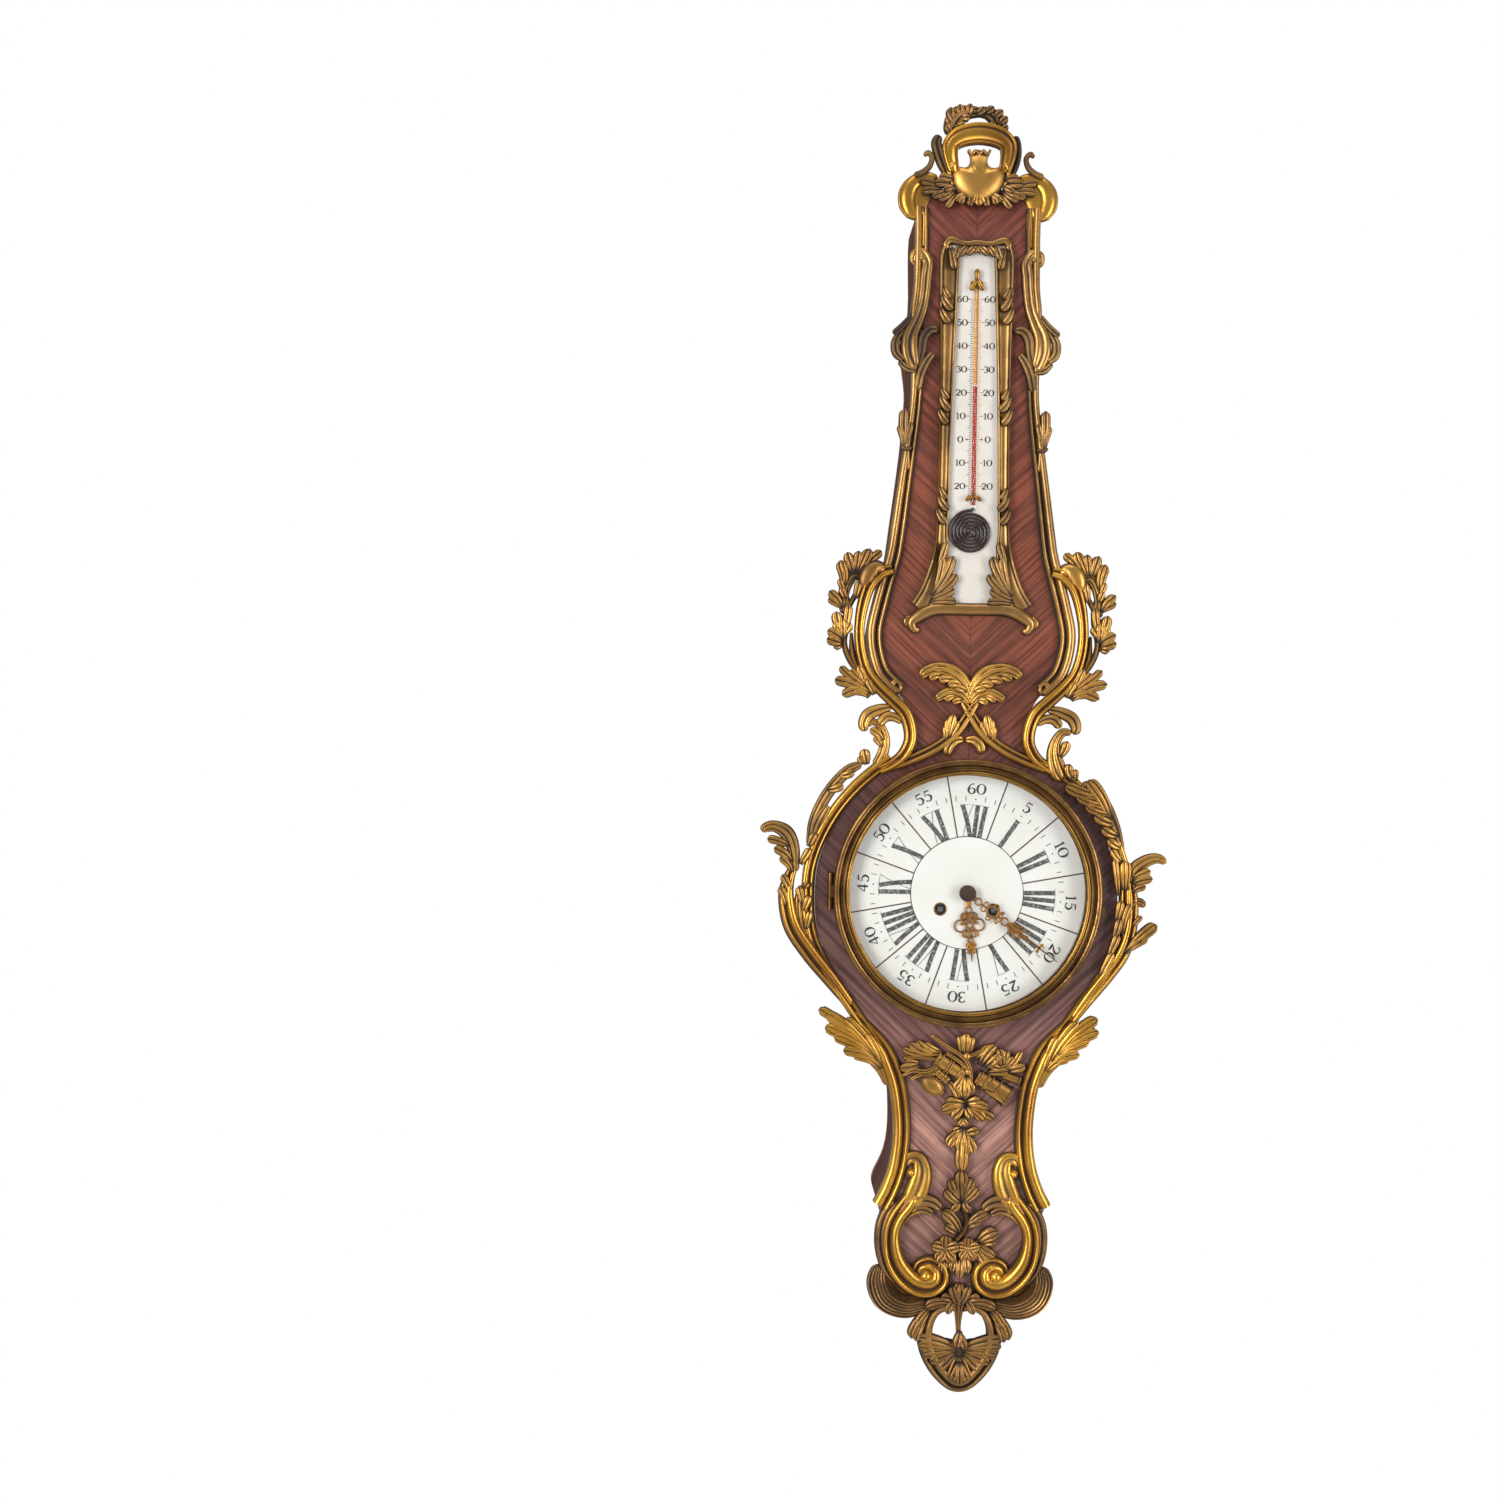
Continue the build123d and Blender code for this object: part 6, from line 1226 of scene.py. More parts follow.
pendant = Carving()
rim = mirrored_line(RIM_LINE, 150)
pendant.limb(rim, rim[:, 2], 7.0, 0.0, BAND, -1, 0.7)
for side in (1, -1):
    frond(pendant, SIDE_DROPS, side, 3.0)
    frond(pendant, FAN, side, 2.0, tip=2.6)
pendant.cushion(smooth_line(LOWER_PLATE, 60)[:-1], 3.0, 0.2, shade=0.3)
roll(pendant, STALK, 1.0, 3.0, STRANDS, 1, 40, 0.9)
frond(pendant, STALK_LOBES, 1, 5.0)
cast("pendant", pendant, gilt_dark, ["pendant_drop"])

# %% [markdown]
# The thermometer's frame is a hollow moulding with leaves wrapped round it at three heights. The
# same three lobes, moved up, make every wrap.

# %% Thermometer frame
FRAME_OUTER = [(22, 504), (25.6, 499), (26.4, 470), (26.7, 422), (27.2, 378), (27.7, 313), (28, 280),
               (29.6, 263), (33.8, 246), (39.7, 229), (46.5, 216)]
FRAME_INNER = [(14, 492), (16.4, 486), (16.8, 455), (17.4, 422), (18, 378), (18.9, 313), (19.8, 282),
               (18.8, 266), (20.5, 252), (26, 236), (34, 224)]
KNOT = [(27, 8, 19, -4, 2.6, 1), (28, -2, 21, -14, 2.4, 1), (26, 14, 20.6, 5, 2.0, 0.6)]
FRAME_LOBES = []
for up in (454, 376, 299):
    FRAME_LOBES += [(x, z + up, tip_x, tip_z + up, *rest) for x, z, tip_x, tip_z, *rest in KNOT]
FRAME_LOBES += [(31, 229, 15, 260, 2.9, 2), (29, 232, 22.6, 259, 2.6, 1), (30, 228, 12, 246, 2.6, 1.6),
                (32, 226, 14, 234.6, 2.6, 1), (33, 224, 12, 225, 2.2, -1), (26, 250, 20, 271, 2.4),
                (2, 499.6, 8.6, 493, 2.1), (8, 500, 14.6, 492, 2.2), (14, 500.6, 18, 489, 2.3),
                (21, 498, 17.4, 481, 2.4), (0, 500, 3, 494.4, 1.8)]
TOP_BAR = [(-5, 503.2, 2.4), (10, 502, 2.6), (17, 504, 3.0), (21.5, 504.5, 3.2), (24.5, 500.5, 2.8),
           (22, 497.5, 2.2)]
FOOT_BAR = [(-9, 219.2, 4.8), (14, 219.5, 5.0), (28, 219, 5.2), (39, 214.5, 5.2), (46, 208.5, 4.2),
            (43.5, 203, 3.2), (39.5, 204.5, 2.4)]
FOOT_TIP = [(46.5, 214, 2.0), (50.5, 209.5, 2.6), (48.5, 205.5, 2.0)]

frame_casting, frame_foliage = Carving(), Carving()
outer, inner = smooth_line(FRAME_OUTER, 80), smooth_line(FRAME_INNER, 80)
middle = (outer + inner) / 2
for side in (1, -1):
    frame_casting.limb(middle, np.hypot(*(outer - inner).T) / 2, 5.4, 0.4, COVE, side)
    roll(frame_casting, TOP_BAR, 1.3, 2.0, ROUND, side, 36)
    roll(frame_casting, FOOT_BAR, 1.2, 0.6, ROUND, side, 44)
    roll(frame_casting, FOOT_TIP, 1.2, 0.6, ROUND, side, 12)
    frond(frame_foliage, FRAME_LOBES, side, 3.6, tip=1.0)
cast("thermometer_moulding", frame_casting, gilt_neck, ["thermometer_frame"])
cast("thermometer_leaves", frame_foliage, gilt_neck)

# %% [markdown]
# ## Dial and thermometer markings
# Numerals are painted in strokes, thick and thin, as an enameller paints them with a brush. A
# stroke is a line whose half width changes, so each glyph is a short list of strokes in a box
# one unit high. One function lays any text of such glyphs along a base line, or round the dial.

# %% Glyphs, as strokes of (across, up, half width)
ROMAN_THICK, ROMAN_THIN = 0.07, 0.009
GLYPHS = {
    "I": (0.21, [[(0, 0, ROMAN_THICK), (0, 1, ROMAN_THICK)]]),
    "V": (0.34, [[(-0.12, 1, ROMAN_THICK), (0.02, 0, ROMAN_THICK)],
                 [(0.15, 1, ROMAN_THIN), (0.02, 0, ROMAN_THIN)]]),
    "X": (0.35, [[(-0.12, 1, ROMAN_THICK), (0.12, 0, ROMAN_THICK)],
                 [(0.16, 1, ROMAN_THIN), (-0.16, 0, ROMAN_THIN)]]),
    "0": (0.9, [[(0.36 * math.cos(a), 0.5 + 0.48 * math.sin(a), 0.03 + 0.08 * math.cos(a) ** 2)
                 for a in np.linspace(0, 2 * math.pi, 13)]]),
    "1": (0.6,
          [[(0, 0, 0.08), (0, 0.96, 0.08)],
           [(-0.18, 0.8, 0.03), (0, 0.98, 0.04)],
           [(-0.2, 0.02, 0.03), (0.2, 0.02, 0.03)]]),
    "2": (0.85,
          [[(-0.3, 0.7, 0.08), (-0.2, 0.93, 0.05), (0.05, 0.98, 0.04), (0.28, 0.78, 0.1),
            (0.15, 0.5, 0.09), (-0.15, 0.22, 0.05), (-0.34, 0.03, 0.04)],
           [(-0.34, 0.06, 0.05), (0, 0.08, 0.1), (0.34, 0.04, 0.05)]]),
    "3": (0.8,
          [[(-0.26, 0.84, 0.08), (-0.05, 0.98, 0.04), (0.22, 0.84, 0.09), (0.16, 0.6, 0.06),
            (-0.04, 0.54, 0.03)],
           [(-0.04, 0.54, 0.03), (0.2, 0.46, 0.08), (0.28, 0.22, 0.1), (0.04, 0.01, 0.04),
            (-0.26, 0.1, 0.08)]]),
    "4": (0.85,
          [[(0.12, 0, 0.09), (0.12, 0.98, 0.09)],
           [(0.12, 0.98, 0.03), (-0.36, 0.32, 0.04)],
           [(-0.36, 0.3, 0.04), (0.34, 0.3, 0.04)]]),
    "5": (0.8,
          [[(-0.16, 0.98, 0.03), (-0.22, 0.56, 0.03)],
           [(-0.18, 0.95, 0.07), (0.26, 0.98, 0.05)],
           [(-0.22, 0.56, 0.03), (0.04, 0.62, 0.05), (0.28, 0.38, 0.1), (0.16, 0.06, 0.07),
            (-0.06, 0.01, 0.04), (-0.26, 0.12, 0.08)]]),
    "6": (0.85,
          [[(0.22, 0.96, 0.05), (-0.1, 0.84, 0.05), (-0.3, 0.42, 0.1), (-0.18, 0.08, 0.07),
            (0.04, 0.01, 0.04), (0.28, 0.22, 0.1), (0.2, 0.5, 0.07), (0, 0.56, 0.03), (-0.24, 0.42, 0.04)]])}
PAINT_DEPTH = 0.22
print("glyphs", "".join(GLYPHS))


def write(carving, text, height, lift, place, serifs=False, stretch=1.0):
    """Paints a text. place(across, up) gives the spot on the front for a spot in the text's own box."""
    whole = sum(GLYPHS[letter][0] for letter in text) * stretch
    pen = -whole / 2
    for letter in text:
        advance, strokes = GLYPHS[letter]
        middle = pen + advance * stretch / 2
        for rows in strokes:
            line = smooth_line([(x * stretch + middle, z, half) for x, z, half in rows],
                               26 if len(rows) > 2 else 5)
            spots = np.array([place(x * height, z * height) for x, z in line[:, :2]])
            carving.limb(spots, line[:, 2] * height, PAINT_DEPTH, lift, FLAT)
        pen += advance * stretch
    if serifs:
        for up in (0, 1):
            ends = [place(x * height, up * height) for x in np.linspace(-whole / 2, whole / 2, 7)]
            carving.limb(ends, 0.14, PAINT_DEPTH, lift, FLAT)


# %% The dial: hours in Roman figures, minutes in Arabic ones, both with their tops outward
DIAL_TURN = -4.5
ENAMEL_LIFT = level_of("hour_plaques")
HOUR_FOOT, HOUR_HEIGHT, MINUTE_FOOT, MINUTE_HEIGHT = 43.6, 24.6, 76.6, 8.2


def round_dial(degrees, foot):
    """Maps a text's box to the ring of the dial at an angle counted clockwise from twelve."""
    turn = math.radians(90 - degrees + DIAL_TURN)

    def place(across, up):
        reach = foot + up
        swing = turn - across / (foot + HOUR_HEIGHT / 2)
        return reach * math.cos(swing), reach * math.sin(swing)
    return place


hours, minutes = Carving(), Carving()
for number, text in enumerate(("XII", "I", "II", "III", "IIII", "V", "VI", "VII", "VIII", "IX", "X", "XI")):
    write(hours, text, HOUR_HEIGHT, ENAMEL_LIFT, round_dial(30 * number, HOUR_FOOT), serifs=True)
    write(minutes, str(5 * number or 60), MINUTE_HEIGHT, ENAMEL_LIFT,
          round_dial(30 * number, MINUTE_FOOT), stretch=1.15)
cast("hour_numerals", hours, numeral_paint)
cast("minute_numerals", minutes, fine_paint)

# %% [markdown]
# The minute marks are one mark repeated round the dial, so Geometry Nodes sets them: a row of
# points bent into a ring, with the mark turned to the centre at each. The same tree makes the
# dots at the hours and the joints between the plaques, by other inputs.

# %% The tree that repeats a mark round a circle
def build_ring_tree():
    tree, given, result = geometry_tree(
        "Marks round a circle",
        (("Start", "Geometry"), ("Mark", "Object"), ("Count", "Int"), ("Radius", "Float"),
         ("Turn", "Float"), ("Skip", "Int"), ("Keep", "Bool"), ("Finish", "Material")), "Marks")
    index = tree.nodes.new("GeometryNodeInputIndex").outputs[0]
    share = math_node(tree, "DIVIDE", index, given.outputs["Count"])
    turn = math_node(tree, "ADD", math_node(tree, "MULTIPLY", share, 2 * math.pi), given.outputs["Turn"])
    spot = wire(tree, "ShaderNodeCombineXYZ",
                {0: math_node(tree, "MULTIPLY", math_node(tree, "COSINE", turn), given.outputs["Radius"]),
                 2: math_node(tree, "MULTIPLY", math_node(tree, "SINE", turn), given.outputs["Radius"])})
    points = wire(tree, "GeometryNodePoints", {"Count": given.outputs["Count"], "Position": spot.outputs[0]})
    fifth = wire(tree, "FunctionNodeCompare", data_type="FLOAT", operation="LESS_THAN")
    tree.links.new(math_node(tree, "MODULO", index, given.outputs["Skip"]), fifth.inputs[0])
    fifth.inputs[1].default_value = 0.5
    chosen = wire(tree, "FunctionNodeBooleanMath", {0: fifth.outputs[0], 1: given.outputs["Keep"]},
                  operation="XNOR")
    mark = wire(tree, "GeometryNodeObjectInfo", {"Object": given.outputs["Mark"]})
    tilt = wire(tree, "ShaderNodeCombineXYZ", {1: math_node(tree, "MULTIPLY", turn, -1.0)})
    as_turn = wire(tree, "FunctionNodeEulerToRotation", {0: tilt.outputs[0]})
    placed = wire(tree, "GeometryNodeInstanceOnPoints", {"Points": points.outputs[0],
                                                         "Selection": chosen.outputs[0],
                                                         "Instance": mark.outputs["Geometry"],
                                                         "Rotation": as_turn.outputs[0]})
    coat_and_give(tree, placed.outputs[0], given, result)
    return tree


ring_tree = build_ring_tree()


def mark_object(name, carving):
    """A small mark, drawn in units about the origin, lying on the plane y = 0."""
    mesh = bpy.data.meshes.new(name)
    spots = np.vstack(carving.spots) * UNIT
    mesh.from_pydata(np.stack([spots[:, 0], -spots[:, 2], spots[:, 1]], 1).tolist(), [], carving.faces)
    made = bpy.data.objects.new(name, mesh)
    bpy.context.scene.collection.objects.link(made)
    return made


def ring_of_marks(name, mark, count, radius, lift, skip, keep, material, turn=DIAL_TURN):
    """Runs the ring tree and moves the result onto the front."""
    start = bpy.data.meshes.new(name)
    mesh = run_tree(name, start, ring_tree, {"Mark": mark, "Count": count, "Radius": radius * UNIT,
                                             "Finish": material, "Turn": math.radians(90 + turn),
                                             "Skip": skip, "Keep": keep})
    mesh.transform(Matrix.Translation((0, PANEL_Y - lift * UNIT, DIAL_Z)))
    finish_mesh(mesh)
    add_piece(name, mesh, "case")


# %% Joints between the plaques, and round the one in the middle
JOINT_RADIUS, JOINT_REACH, JOINT_HALF = 67.6, 23.6, 0.52
MIDDLE_RADIUS, MIDDLE_HALF = 43.5, 0.34
HALF_HOUR = 15


def circle_line(x, z, reach, steps):
    """A closed round line about a place."""
    turn = np.linspace(0, 2 * math.pi, steps)
    return np.stack([x + reach * np.cos(turn), z + reach * np.sin(turn)], 1)


joint, centre_joint = Carving(), Carving()
joint.limb([(-JOINT_REACH, 0), (0, 0), (JOINT_REACH, 0)], JOINT_HALF, PAINT_DEPTH, 0, FLAT)
joint_mark = mark_object("joint_mark", joint)
ring_of_marks("plaque_joints", joint_mark, 12, JOINT_RADIUS, ENAMEL_LIFT - 0.1, 1, True, joint_paint,
              turn=DIAL_TURN + HALF_HOUR)
centre_joint.limb(circle_line(0, 0, MIDDLE_RADIUS, 90), MIDDLE_HALF, PAINT_DEPTH, ENAMEL_LIFT, FLAT)
cast("centre_joint", centre_joint, joint_paint)

# %% Ticks at the minutes, dots at the hours
TICK_RADIUS, DOT_RADIUS = 73.2, 72.6
tick, dot = Carving(), Carving()
tick.limb([(-2.0, 0), (0, 0), (2.0, 0)], 0.24, PAINT_DEPTH, 0, FLAT)
dot.button(0, 0, 0.62, PAINT_DEPTH * 1.4, rings=3, sides=8)
tick_mark, dot_mark = mark_object("tick_mark", tick), mark_object("dot_mark", dot)
ring_of_marks("minute_ticks", tick_mark, 60, TICK_RADIUS, ENAMEL_LIFT, 5, False, fine_paint)
ring_of_marks("hour_dots", dot_mark, 60, DOT_RADIUS, ENAMEL_LIFT, 5, True, fine_paint)

# %% [markdown]
# The bezel is turned on a lathe, so its lines are circles. The tree of the edge mouldings draws
# them too, with a round section. The winding holes have a thin brass lining.

# %% Bezel: turned lines and a bright inner bead
def circles(rings):
    """Lines about the dial's centre from (radius, half width, level)."""
    turn = -2 * np.pi * np.arange(160) / 160
    around = np.stack([np.cos(turn), np.sin(turn)], 1)
    return [(radius * around, half, lift, 1) for radius, half, lift in rings]


bead_gilt = build_turned("bead_gilt", "c08f43", "8a6530", DIAL_Z, 0.28)
bezel_front = level_of("bezel_ring")
BEZEL_RINGS = (("bezel_inner_bead", [(92.6, 1.4, bezel_front - 1.2)], bead_gilt),
               ("bezel_turned_lines", [(95.4, 0.7, bezel_front - 1.3), (101.8, 1.2, bezel_front - 1.6)],
                ring_brass))
for name, rings, finish in BEZEL_RINGS:
    mesh = moulding_mesh(name, circles(rings), round_section, finish, closed=True)
    add_piece(name, mesh, "bezel")

# %% Winding holes lined with brass
holes = Carving()
HOLE_ACROSS, HOLE_DOWN, HOLE_REACH = 24.6 * MM / UNIT, 15.3 * MM / UNIT, 5.6 * MM / UNIT
for side in (1, -1):
    rim_line = circle_line(side * HOLE_ACROSS, -HOLE_DOWN, HOLE_REACH, 40)
    holes.limb(rim_line, 0.55, 0.7, level_of("centre_plaque") - 0.1, ROUND)
cast("winding_hole_rims", holes, bead_gilt)

# %% [markdown]
# The hands are pierced: rings, small holes and points along a stem. They are carved on their
# own axis and then turned to the time that the photograph shows, twenty past six.

# %% Hands
HOUR_DEGREES, MINUTE_DEGREES = -85.0, -36.5


class TurnedCarving(Carving):
    """A carving whose across and up are turned about the dial's centre."""

    def __init__(self, degrees):
        super().__init__()
        cosine, sine = math.cos(math.radians(degrees)), math.sin(math.radians(degrees))
        self.turn = np.array([[cosine, sine], [-sine, cosine]])

    def add(self, spots, faces, relief):
        spots = np.array(spots)
        spots[:, :2] = spots[:, :2] @ self.turn
        super().add(spots, faces, relief)


def carve_hand(degrees, lift, hoops, stem, petals, point):
    """Hoops are (along, aside, reach, half), petals (along, aside, angle, length), and the stem's
    parts and the point (first, last, half)."""
    carving = TurnedCarving(degrees)
    for along, aside, reach, half in hoops:
        carving.limb(circle_line(along, aside, reach, 30), half, 1.0, lift, ROUND)
    for first, last, half in stem:
        carving.limb(smooth_line([(first, 0), ((first + last) / 2, 0), (last, 0)], 8), half, 0.9, lift, RIB)
    for along, aside, angle, length in petals:
        forward, outward = length * math.cos(math.radians(angle)), length * math.sin(math.radians(angle))
        for hand in (1, -1):
            petal = (along, hand * aside, along + forward, hand * (aside + outward), 0.9, -hand * 0.4)
            frond(carving, [petal], 1, lift, 0.3, 0.2)
    first, last, half = point
    carving.limb(smooth_line([(first, 0), (last, 0)], 8), np.linspace(half, 0.35, 8), 0.9, lift, RIB)
    return carving


HOUR_HOOPS = [(0, 0, 4.6, 1.6), (13, 0, 2.4, 0.6), (18, 3.6, 2.6, 0.6), (18, -3.6, 2.6, 0.6),
              (25, 7.0, 4.6, 0.65), (25, -7.0, 4.6, 0.65), (25, 0, 2.2, 0.6), (31.5, 3.0, 2.6, 0.6),
              (31.5, -3.0, 2.6, 0.6), (36.5, 0, 2.0, 0.6)]
HOUR_PETALS = [(16, 1.5, 50, 5), (21, 2, 60, 6), (29, 4, 20, 5), (37, 1.0, 35, 5), (41, 1.0, 45, 4),
               (44, 0.8, 45, 3.5)]
MINUTE_HOOPS = [(0, 0, 4.6, 1.6), (10.8, 0, 2.6, 0.6), (17, 2.0, 2.0, 0.55), (17, -2.0, 2.0, 0.55),
                (24, 0, 4.4, 0.7), (24, 5.6, 1.6, 0.5), (24, -5.6, 1.6, 0.5), (31, 1.6, 1.6, 0.5),
                (31, -1.6, 1.6, 0.5), (36, 0, 2.8, 0.65), (56.5, 0, 1.4, 0.55)]
MINUTE_PETALS = [(28, 2.4, 40, 5), (40, 1.4, 45, 5), (44, 2.2, 30, 6), (49, 1.2, 40, 5),
                 (68.8, 0.3, 80, 4.2)]
hour_hand = carve_hand(HOUR_DEGREES, level_of("hour_hand") - 0.9, HOUR_HOOPS,
                       [(4, 11, 2.0), (15, 22, 0.9), (27, 35, 0.9), (38, 44, 1.2)], HOUR_PETALS,
                       (40, 53, 1.5))
minute_hand = carve_hand(MINUTE_DEGREES, level_of("minute_hand") - 0.9, MINUTE_HOOPS,
                         [(4, 9, 2.0), (13, 20, 0.8), (28, 34, 0.9), (38, 50, 2.4), (50, 56, 1.0)],
                         MINUTE_PETALS, (56, 86.5, 0.9))
cast("hour_hand_pierced", hour_hand, hand_gilt, ["hour_hand"], "hour")
cast("minute_hand_pierced", minute_hand, hand_gilt, ["minute_hand"], "minute")

# %% [markdown]
# The ladder of degrees beside the thermometer's tube is another repeated mark: short lines at equal
# steps, with every fifth one longer. A row of points, stretched by its number, makes both sides.

# %% The tree that sets a ladder of marks
def build_ladder_tree():
    tree, given, result = geometry_tree(
        "Ladder of marks",
        (("Start", "Geometry"), ("Mark", "Object"), ("Count", "Int"), ("Step", "Float"),
         ("Long every", "Int"), ("Stretch", "Float"), ("Finish", "Material")), "Marks")
    index = tree.nodes.new("GeometryNodeInputIndex").outputs[0]
    spot = wire(tree, "ShaderNodeCombineXYZ", {2: math_node(tree, "MULTIPLY", index, given.outputs["Step"])})
    points = wire(tree, "GeometryNodePoints", {"Count": given.outputs["Count"], "Position": spot.outputs[0]})
    long = math_node(tree, "LESS_THAN", math_node(tree, "MODULO", index, given.outputs["Long every"]), 0.5)
    extra = math_node(tree, "SUBTRACT", given.outputs["Stretch"], 1.0)
    stretch = math_node(tree, "ADD", 1.0, math_node(tree, "MULTIPLY", long, extra))
    scale = wire(tree, "ShaderNodeCombineXYZ", {0: stretch, 1: 1.0, 2: 1.0})
    mark = wire(tree, "GeometryNodeObjectInfo", {"Object": given.outputs["Mark"]})
    placed = wire(tree, "GeometryNodeInstanceOnPoints", {"Points": points.outputs[0],
                                                         "Instance": mark.outputs["Geometry"],
                                                         "Scale": scale.outputs[0]})
    coat_and_give(tree, placed.outputs[0], given, result)
    return tree


ladder_tree = build_ladder_tree()

# %% The two ladders
PLATE_LIFT = level_of("thermometer_plate")
SCALE_FIRST, SCALE_STEP = 459.5, 18.1
LADDER_RUNGS, LADDER_ACROSS = 86, 2.0
for name, side, finish in (("ladder_left", -1, fine_paint), ("ladder_right", 1, ochre_paint)):
    rung = Carving()
    rung.limb([(side * 0.1, 0), (side * 2.0, 0)], 0.2, PAINT_DEPTH, 0, FLAT)
    rung_mark = mark_object(name + "_mark", rung)
    values = {"Mark": rung_mark, "Count": LADDER_RUNGS, "Step": -SCALE_STEP / 10 * UNIT,
              "Long every": 5, "Stretch": 1.6, "Finish": finish}
    mesh = run_tree(name, bpy.data.meshes.new(name), ladder_tree, values)
    mesh.transform(Matrix.Translation((side * LADDER_ACROSS * UNIT, PANEL_Y - PLATE_LIFT * UNIT,
                                       DIAL_Z + SCALE_FIRST * UNIT)))
    finish_mesh(mesh)
    add_piece(name, mesh, "case")
    bpy.data.objects.remove(rung_mark)

# %% [markdown]
# The thermometer's plate has the same numbers on both sides of the tube, with a short red mark at
# each and a bolder one at zero. The painting function of the dial writes them on a straight base.

# %% Thermometer: numbers and red marks
NUMBER_ACROSS, NUMBER_HEIGHT = 10.6, 4.8


def beside_tube(side, height):
    """Maps a text's box to its place beside the tube."""
    def place(across, up):
        return side * NUMBER_ACROSS + across, height - NUMBER_HEIGHT / 2 + up
    return place


scale_text, red_marks = Carving(), Carving()
for i, text in enumerate(("60", "50", "40", "30", "20", "10", "0", "10", "20")):
    height = SCALE_FIRST - SCALE_STEP * i
    half = 0.6 if text == "0" else 0.22
    for side in (1, -1):
        write(scale_text, text, NUMBER_HEIGHT, PLATE_LIFT, beside_tube(side, height), stretch=1.05)
        red_marks.limb([(side * 5.2, height), (side * 6.6, height)], half, PAINT_DEPTH, PLATE_LIFT, FLAT)
cast("thermometer_numbers", scale_text, fine_paint)
cast("thermometer_marks", red_marks, red_paint)

# %% [markdown]
# Red spirit fills the lower half of the tube. Glass alone would hardly show on white enamel, so
# thin ochre lines stand for the shade of a thick tube at its edges and along its empty bore.

# %% Spirit, the tube's shade and the gilt clips
spirit, tube_shade, clips = Carving(), Carving(), Carving()
spirit.limb([(0, 300), (0, 345), (0, 392)], 0.6, 0.4, PLATE_LIFT, ROUND)
cast("spirit_column", spirit, red_paint)
for across in (1.25, -1.25):
    tube_shade.limb([(across, 300), (across, 385), (across, 470)], 0.28, 0.5, PLATE_LIFT, FLAT)
tube_shade.limb([(0, 393), (0, 430), (0, 470)], 0.5, 0.3, PLATE_LIFT, FLAT)
cast("tube_shade", tube_shade, ochre_paint)
CLIP_LOBES = [(0, 474, -5, 465.6, 1.4), (0, 474, 5, 465.6, 1.4), (0, 473, 0, 482, 1.5),
              (0, 308, -6, 303, 1.1), (0, 308, 6, 303, 1.1)]
frond(clips, CLIP_LOBES, 1, PLATE_LIFT + 1.8, tip=0.6)
CLIP_HEIGHTS = (472, 306)
for height in CLIP_HEIGHTS:
    clips.limb([(-4.6, height), (0, height), (4.6, height)], 1.3, 3.2, PLATE_LIFT, ROUND)
cast("gilt_clips", clips, gilt_band, ["tube_clips"])

# %% [markdown]
# ## Light, floor and camera
# The photograph is even studio light on white. Two broad soft lamps stand left and right in
# front, a weaker one hangs above, and a dim grey room gives the gilding something darker to
# reflect. The backdrop shines white only to the camera, to reflections and through glass, so it
# adds next to no light to the clock.

# %% Backdrop and floor
def build_backdrop_material():
    material, tree, shader, _ = new_material("studio_white")
    path = wire(tree, "ShaderNodeLightPath")
    seen = math_node(tree, "MAXIMUM", path.outputs["Is Camera Ray"],
                     math_node(tree, "MAXIMUM", path.outputs["Is Glossy Ray"],
                               path.outputs["Is Transmission Ray"]))
    glow = wire(tree, "ShaderNodeEmission", {"Color": (1, 1, 1, 1), "Strength": 1.0})
    shader.inputs["Base Color"].default_value = (0.6, 0.6, 0.6, 1)
    shader.inputs["Roughness"].default_value = 0.9
    either = wire(tree, "ShaderNodeMixShader", {0: seen})
    tree.links.new(shader.outputs[0], either.inputs[1])
    tree.links.new(glow.outputs[0], either.inputs[2])
    tree.links.new(either.outputs[0], tree.nodes["Material Output"].inputs["Surface"])
    return material


def build_plane(name, corners, material):
    mesh = bpy.data.meshes.new(name)
    mesh.from_pydata(corners, [], [(0, 1, 2, 3)])
    mesh.materials.append(material)
    plane = bpy.data.objects.new(name, mesh)
    bpy.context.scene.collection.objects.link(plane)
    print("stage", name)


def build_floor_material():
    material, tree, shader, place = new_material("pale_floor")
    tree.links.new(mix_colour(tree, noise(tree, place, 3.0), rgb("efefee"), rgb("e6e6e4")),
                   shader.inputs["Base Color"])
    shader.inputs["Roughness"].default_value = 0.8
    return material


ROOM_X, ROOM_FRONT, BACKDROP_Y, FLOOR_Z, ROOM_TOP = 6, -5, 1.4, -2.15, 4
build_plane("backdrop", [(-ROOM_X, BACKDROP_Y, FLOOR_Z), (ROOM_X, BACKDROP_Y, FLOOR_Z),
                         (ROOM_X, BACKDROP_Y, ROOM_TOP), (-ROOM_X, BACKDROP_Y, ROOM_TOP)],
            build_backdrop_material())
build_plane("floor", [(-ROOM_X, ROOM_FRONT, FLOOR_Z), (ROOM_X, ROOM_FRONT, FLOOR_Z),
                      (ROOM_X, BACKDROP_Y, FLOOR_Z), (-ROOM_X, BACKDROP_Y, FLOOR_Z)],
            build_floor_material())

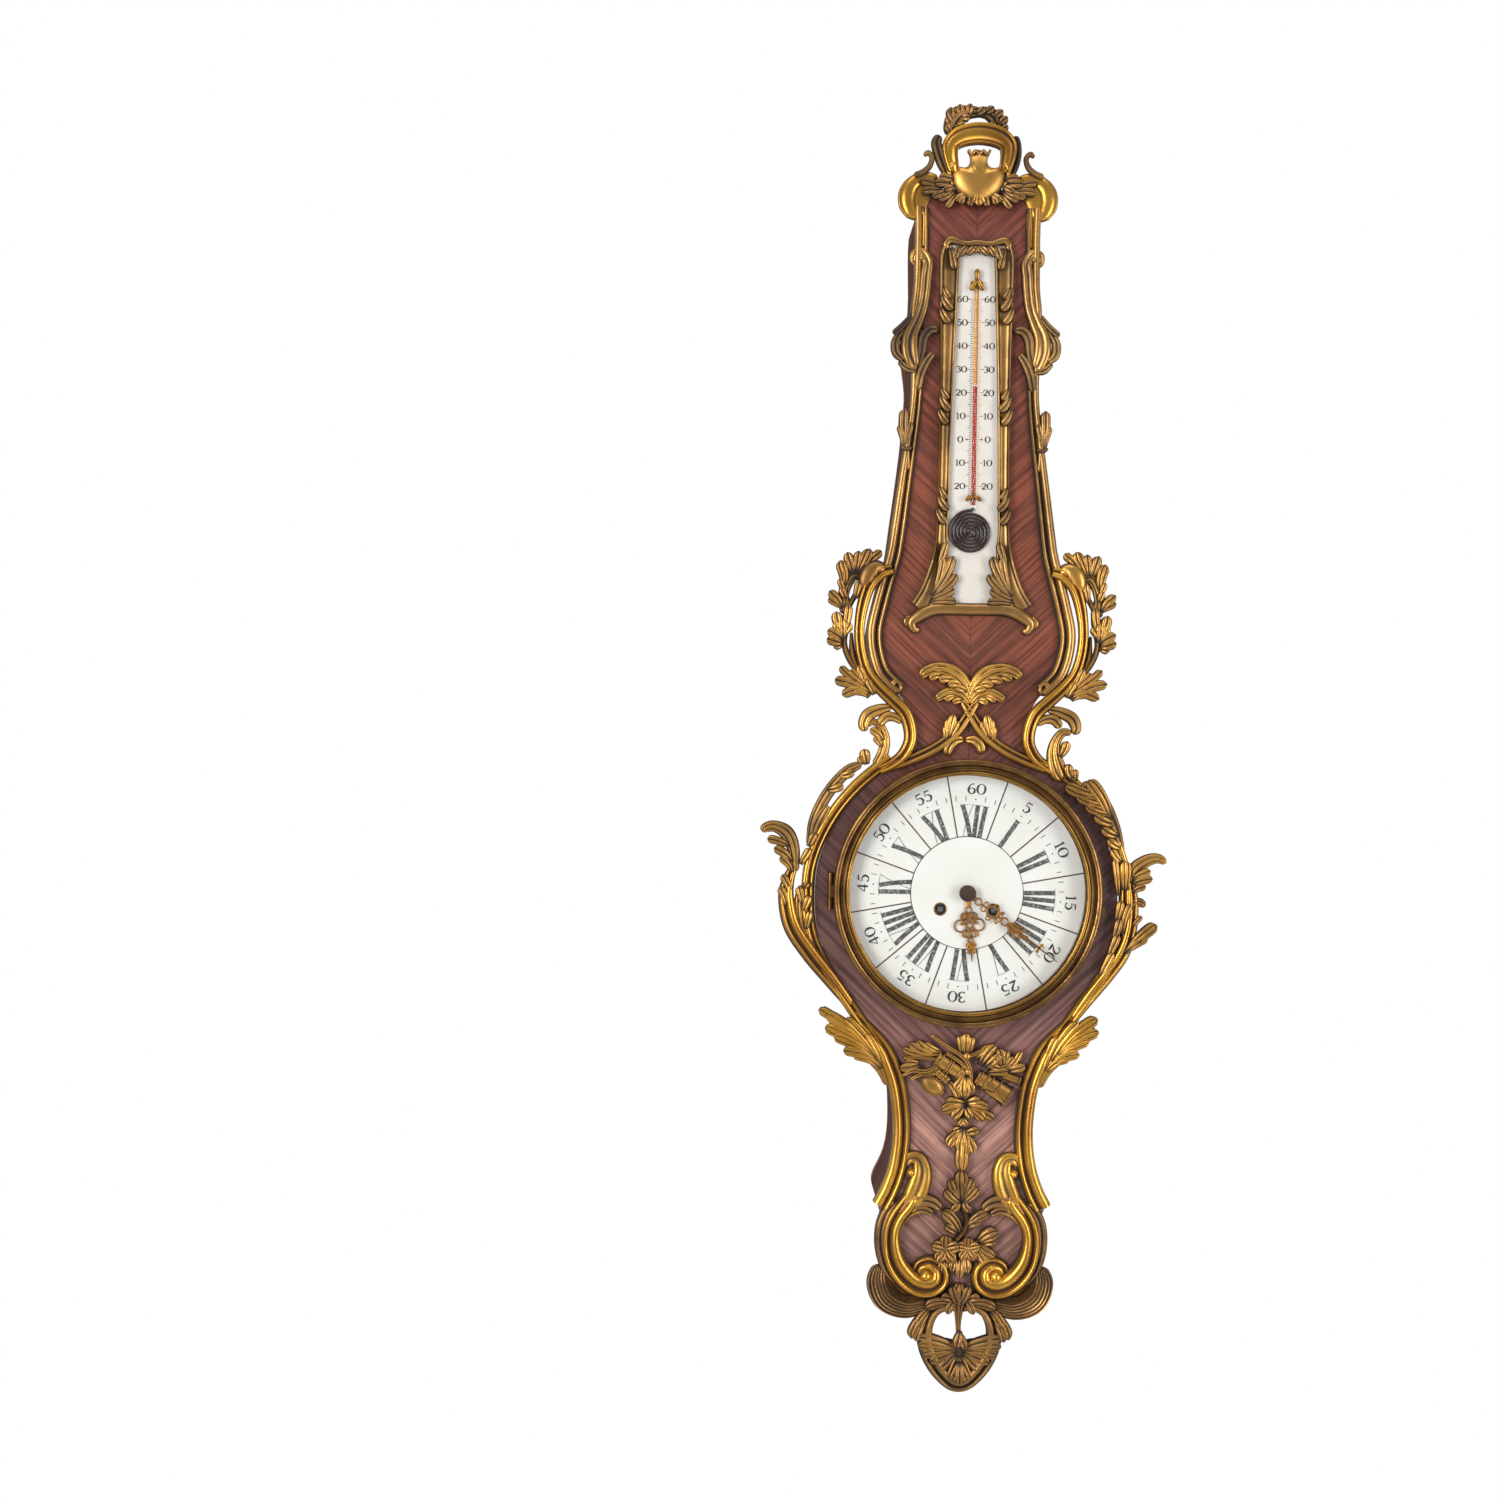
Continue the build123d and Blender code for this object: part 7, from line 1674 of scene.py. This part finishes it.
# %% Lamps and the room's own light
world = bpy.data.worlds.new("studio")
world.use_nodes = True
room = world.node_tree.nodes["Background"]
room.inputs["Color"].default_value = (0.31, 0.31, 0.32, 1)
room.inputs["Strength"].default_value = 1.0
bpy.context.scene.world = world


def soft_lamp(name, place, aim, width, height, power):
    lamp = bpy.data.lights.new(name, "AREA")
    lamp.shape, lamp.size, lamp.size_y, lamp.energy = "RECTANGLE", width, height, power
    made = bpy.data.objects.new(name, lamp)
    made.location = place
    made.rotation_euler = (Vector(aim) - Vector(place)).to_track_quat("-Z", "Y").to_euler()
    bpy.context.scene.collection.objects.link(made)
    print(name, power, "watts")


MIDDLE = (0.0, -0.09, -0.72)
soft_lamp("lamp_left", (-1.7, -1.9, -0.25), MIDDLE, 0.9, 1.8, 46)
soft_lamp("lamp_right", (1.9, -1.7, -0.6), MIDDLE, 0.8, 1.8, 30)
soft_lamp("lamp_top", (0.0, -0.9, 1.5), MIDDLE, 1.6, 0.7, 11)

# %% [markdown]
# The photograph was taken from a little left of the clock with the camera almost level, so the
# clock's left side shows and its upright lines stay upright. The camera leans by one degree.

# %% Camera
CAMERA_PLACE = (-0.2033, -1.690, -0.538)
CAMERA_LENS, SENSOR_WIDTH, FAR_CLIP = 41.28, 36.0, 30.0
LEAN = 0.95
camera_data = bpy.data.cameras.new("camera")
camera_data.lens = CAMERA_LENS
camera_data.sensor_width = SENSOR_WIDTH
camera_data.clip_end = FAR_CLIP
camera = bpy.data.objects.new("camera", camera_data)
camera.location = CAMERA_PLACE
camera.rotation_euler = Matrix.Rotation(math.radians(90), 4, "X").to_euler()
camera.rotation_euler.rotate_axis("Z", math.radians(LEAN))
bpy.context.scene.collection.objects.link(camera)
bpy.context.scene.camera = camera
bpy.context.scene.view_settings.view_transform = "Standard"
print("camera", CAMERA_PLACE, "lens", CAMERA_LENS)

# %% Clear away the drawing aids
for aid in (band_section, round_section, tick_mark, dot_mark, joint_mark):
    bpy.data.objects.remove(aid)
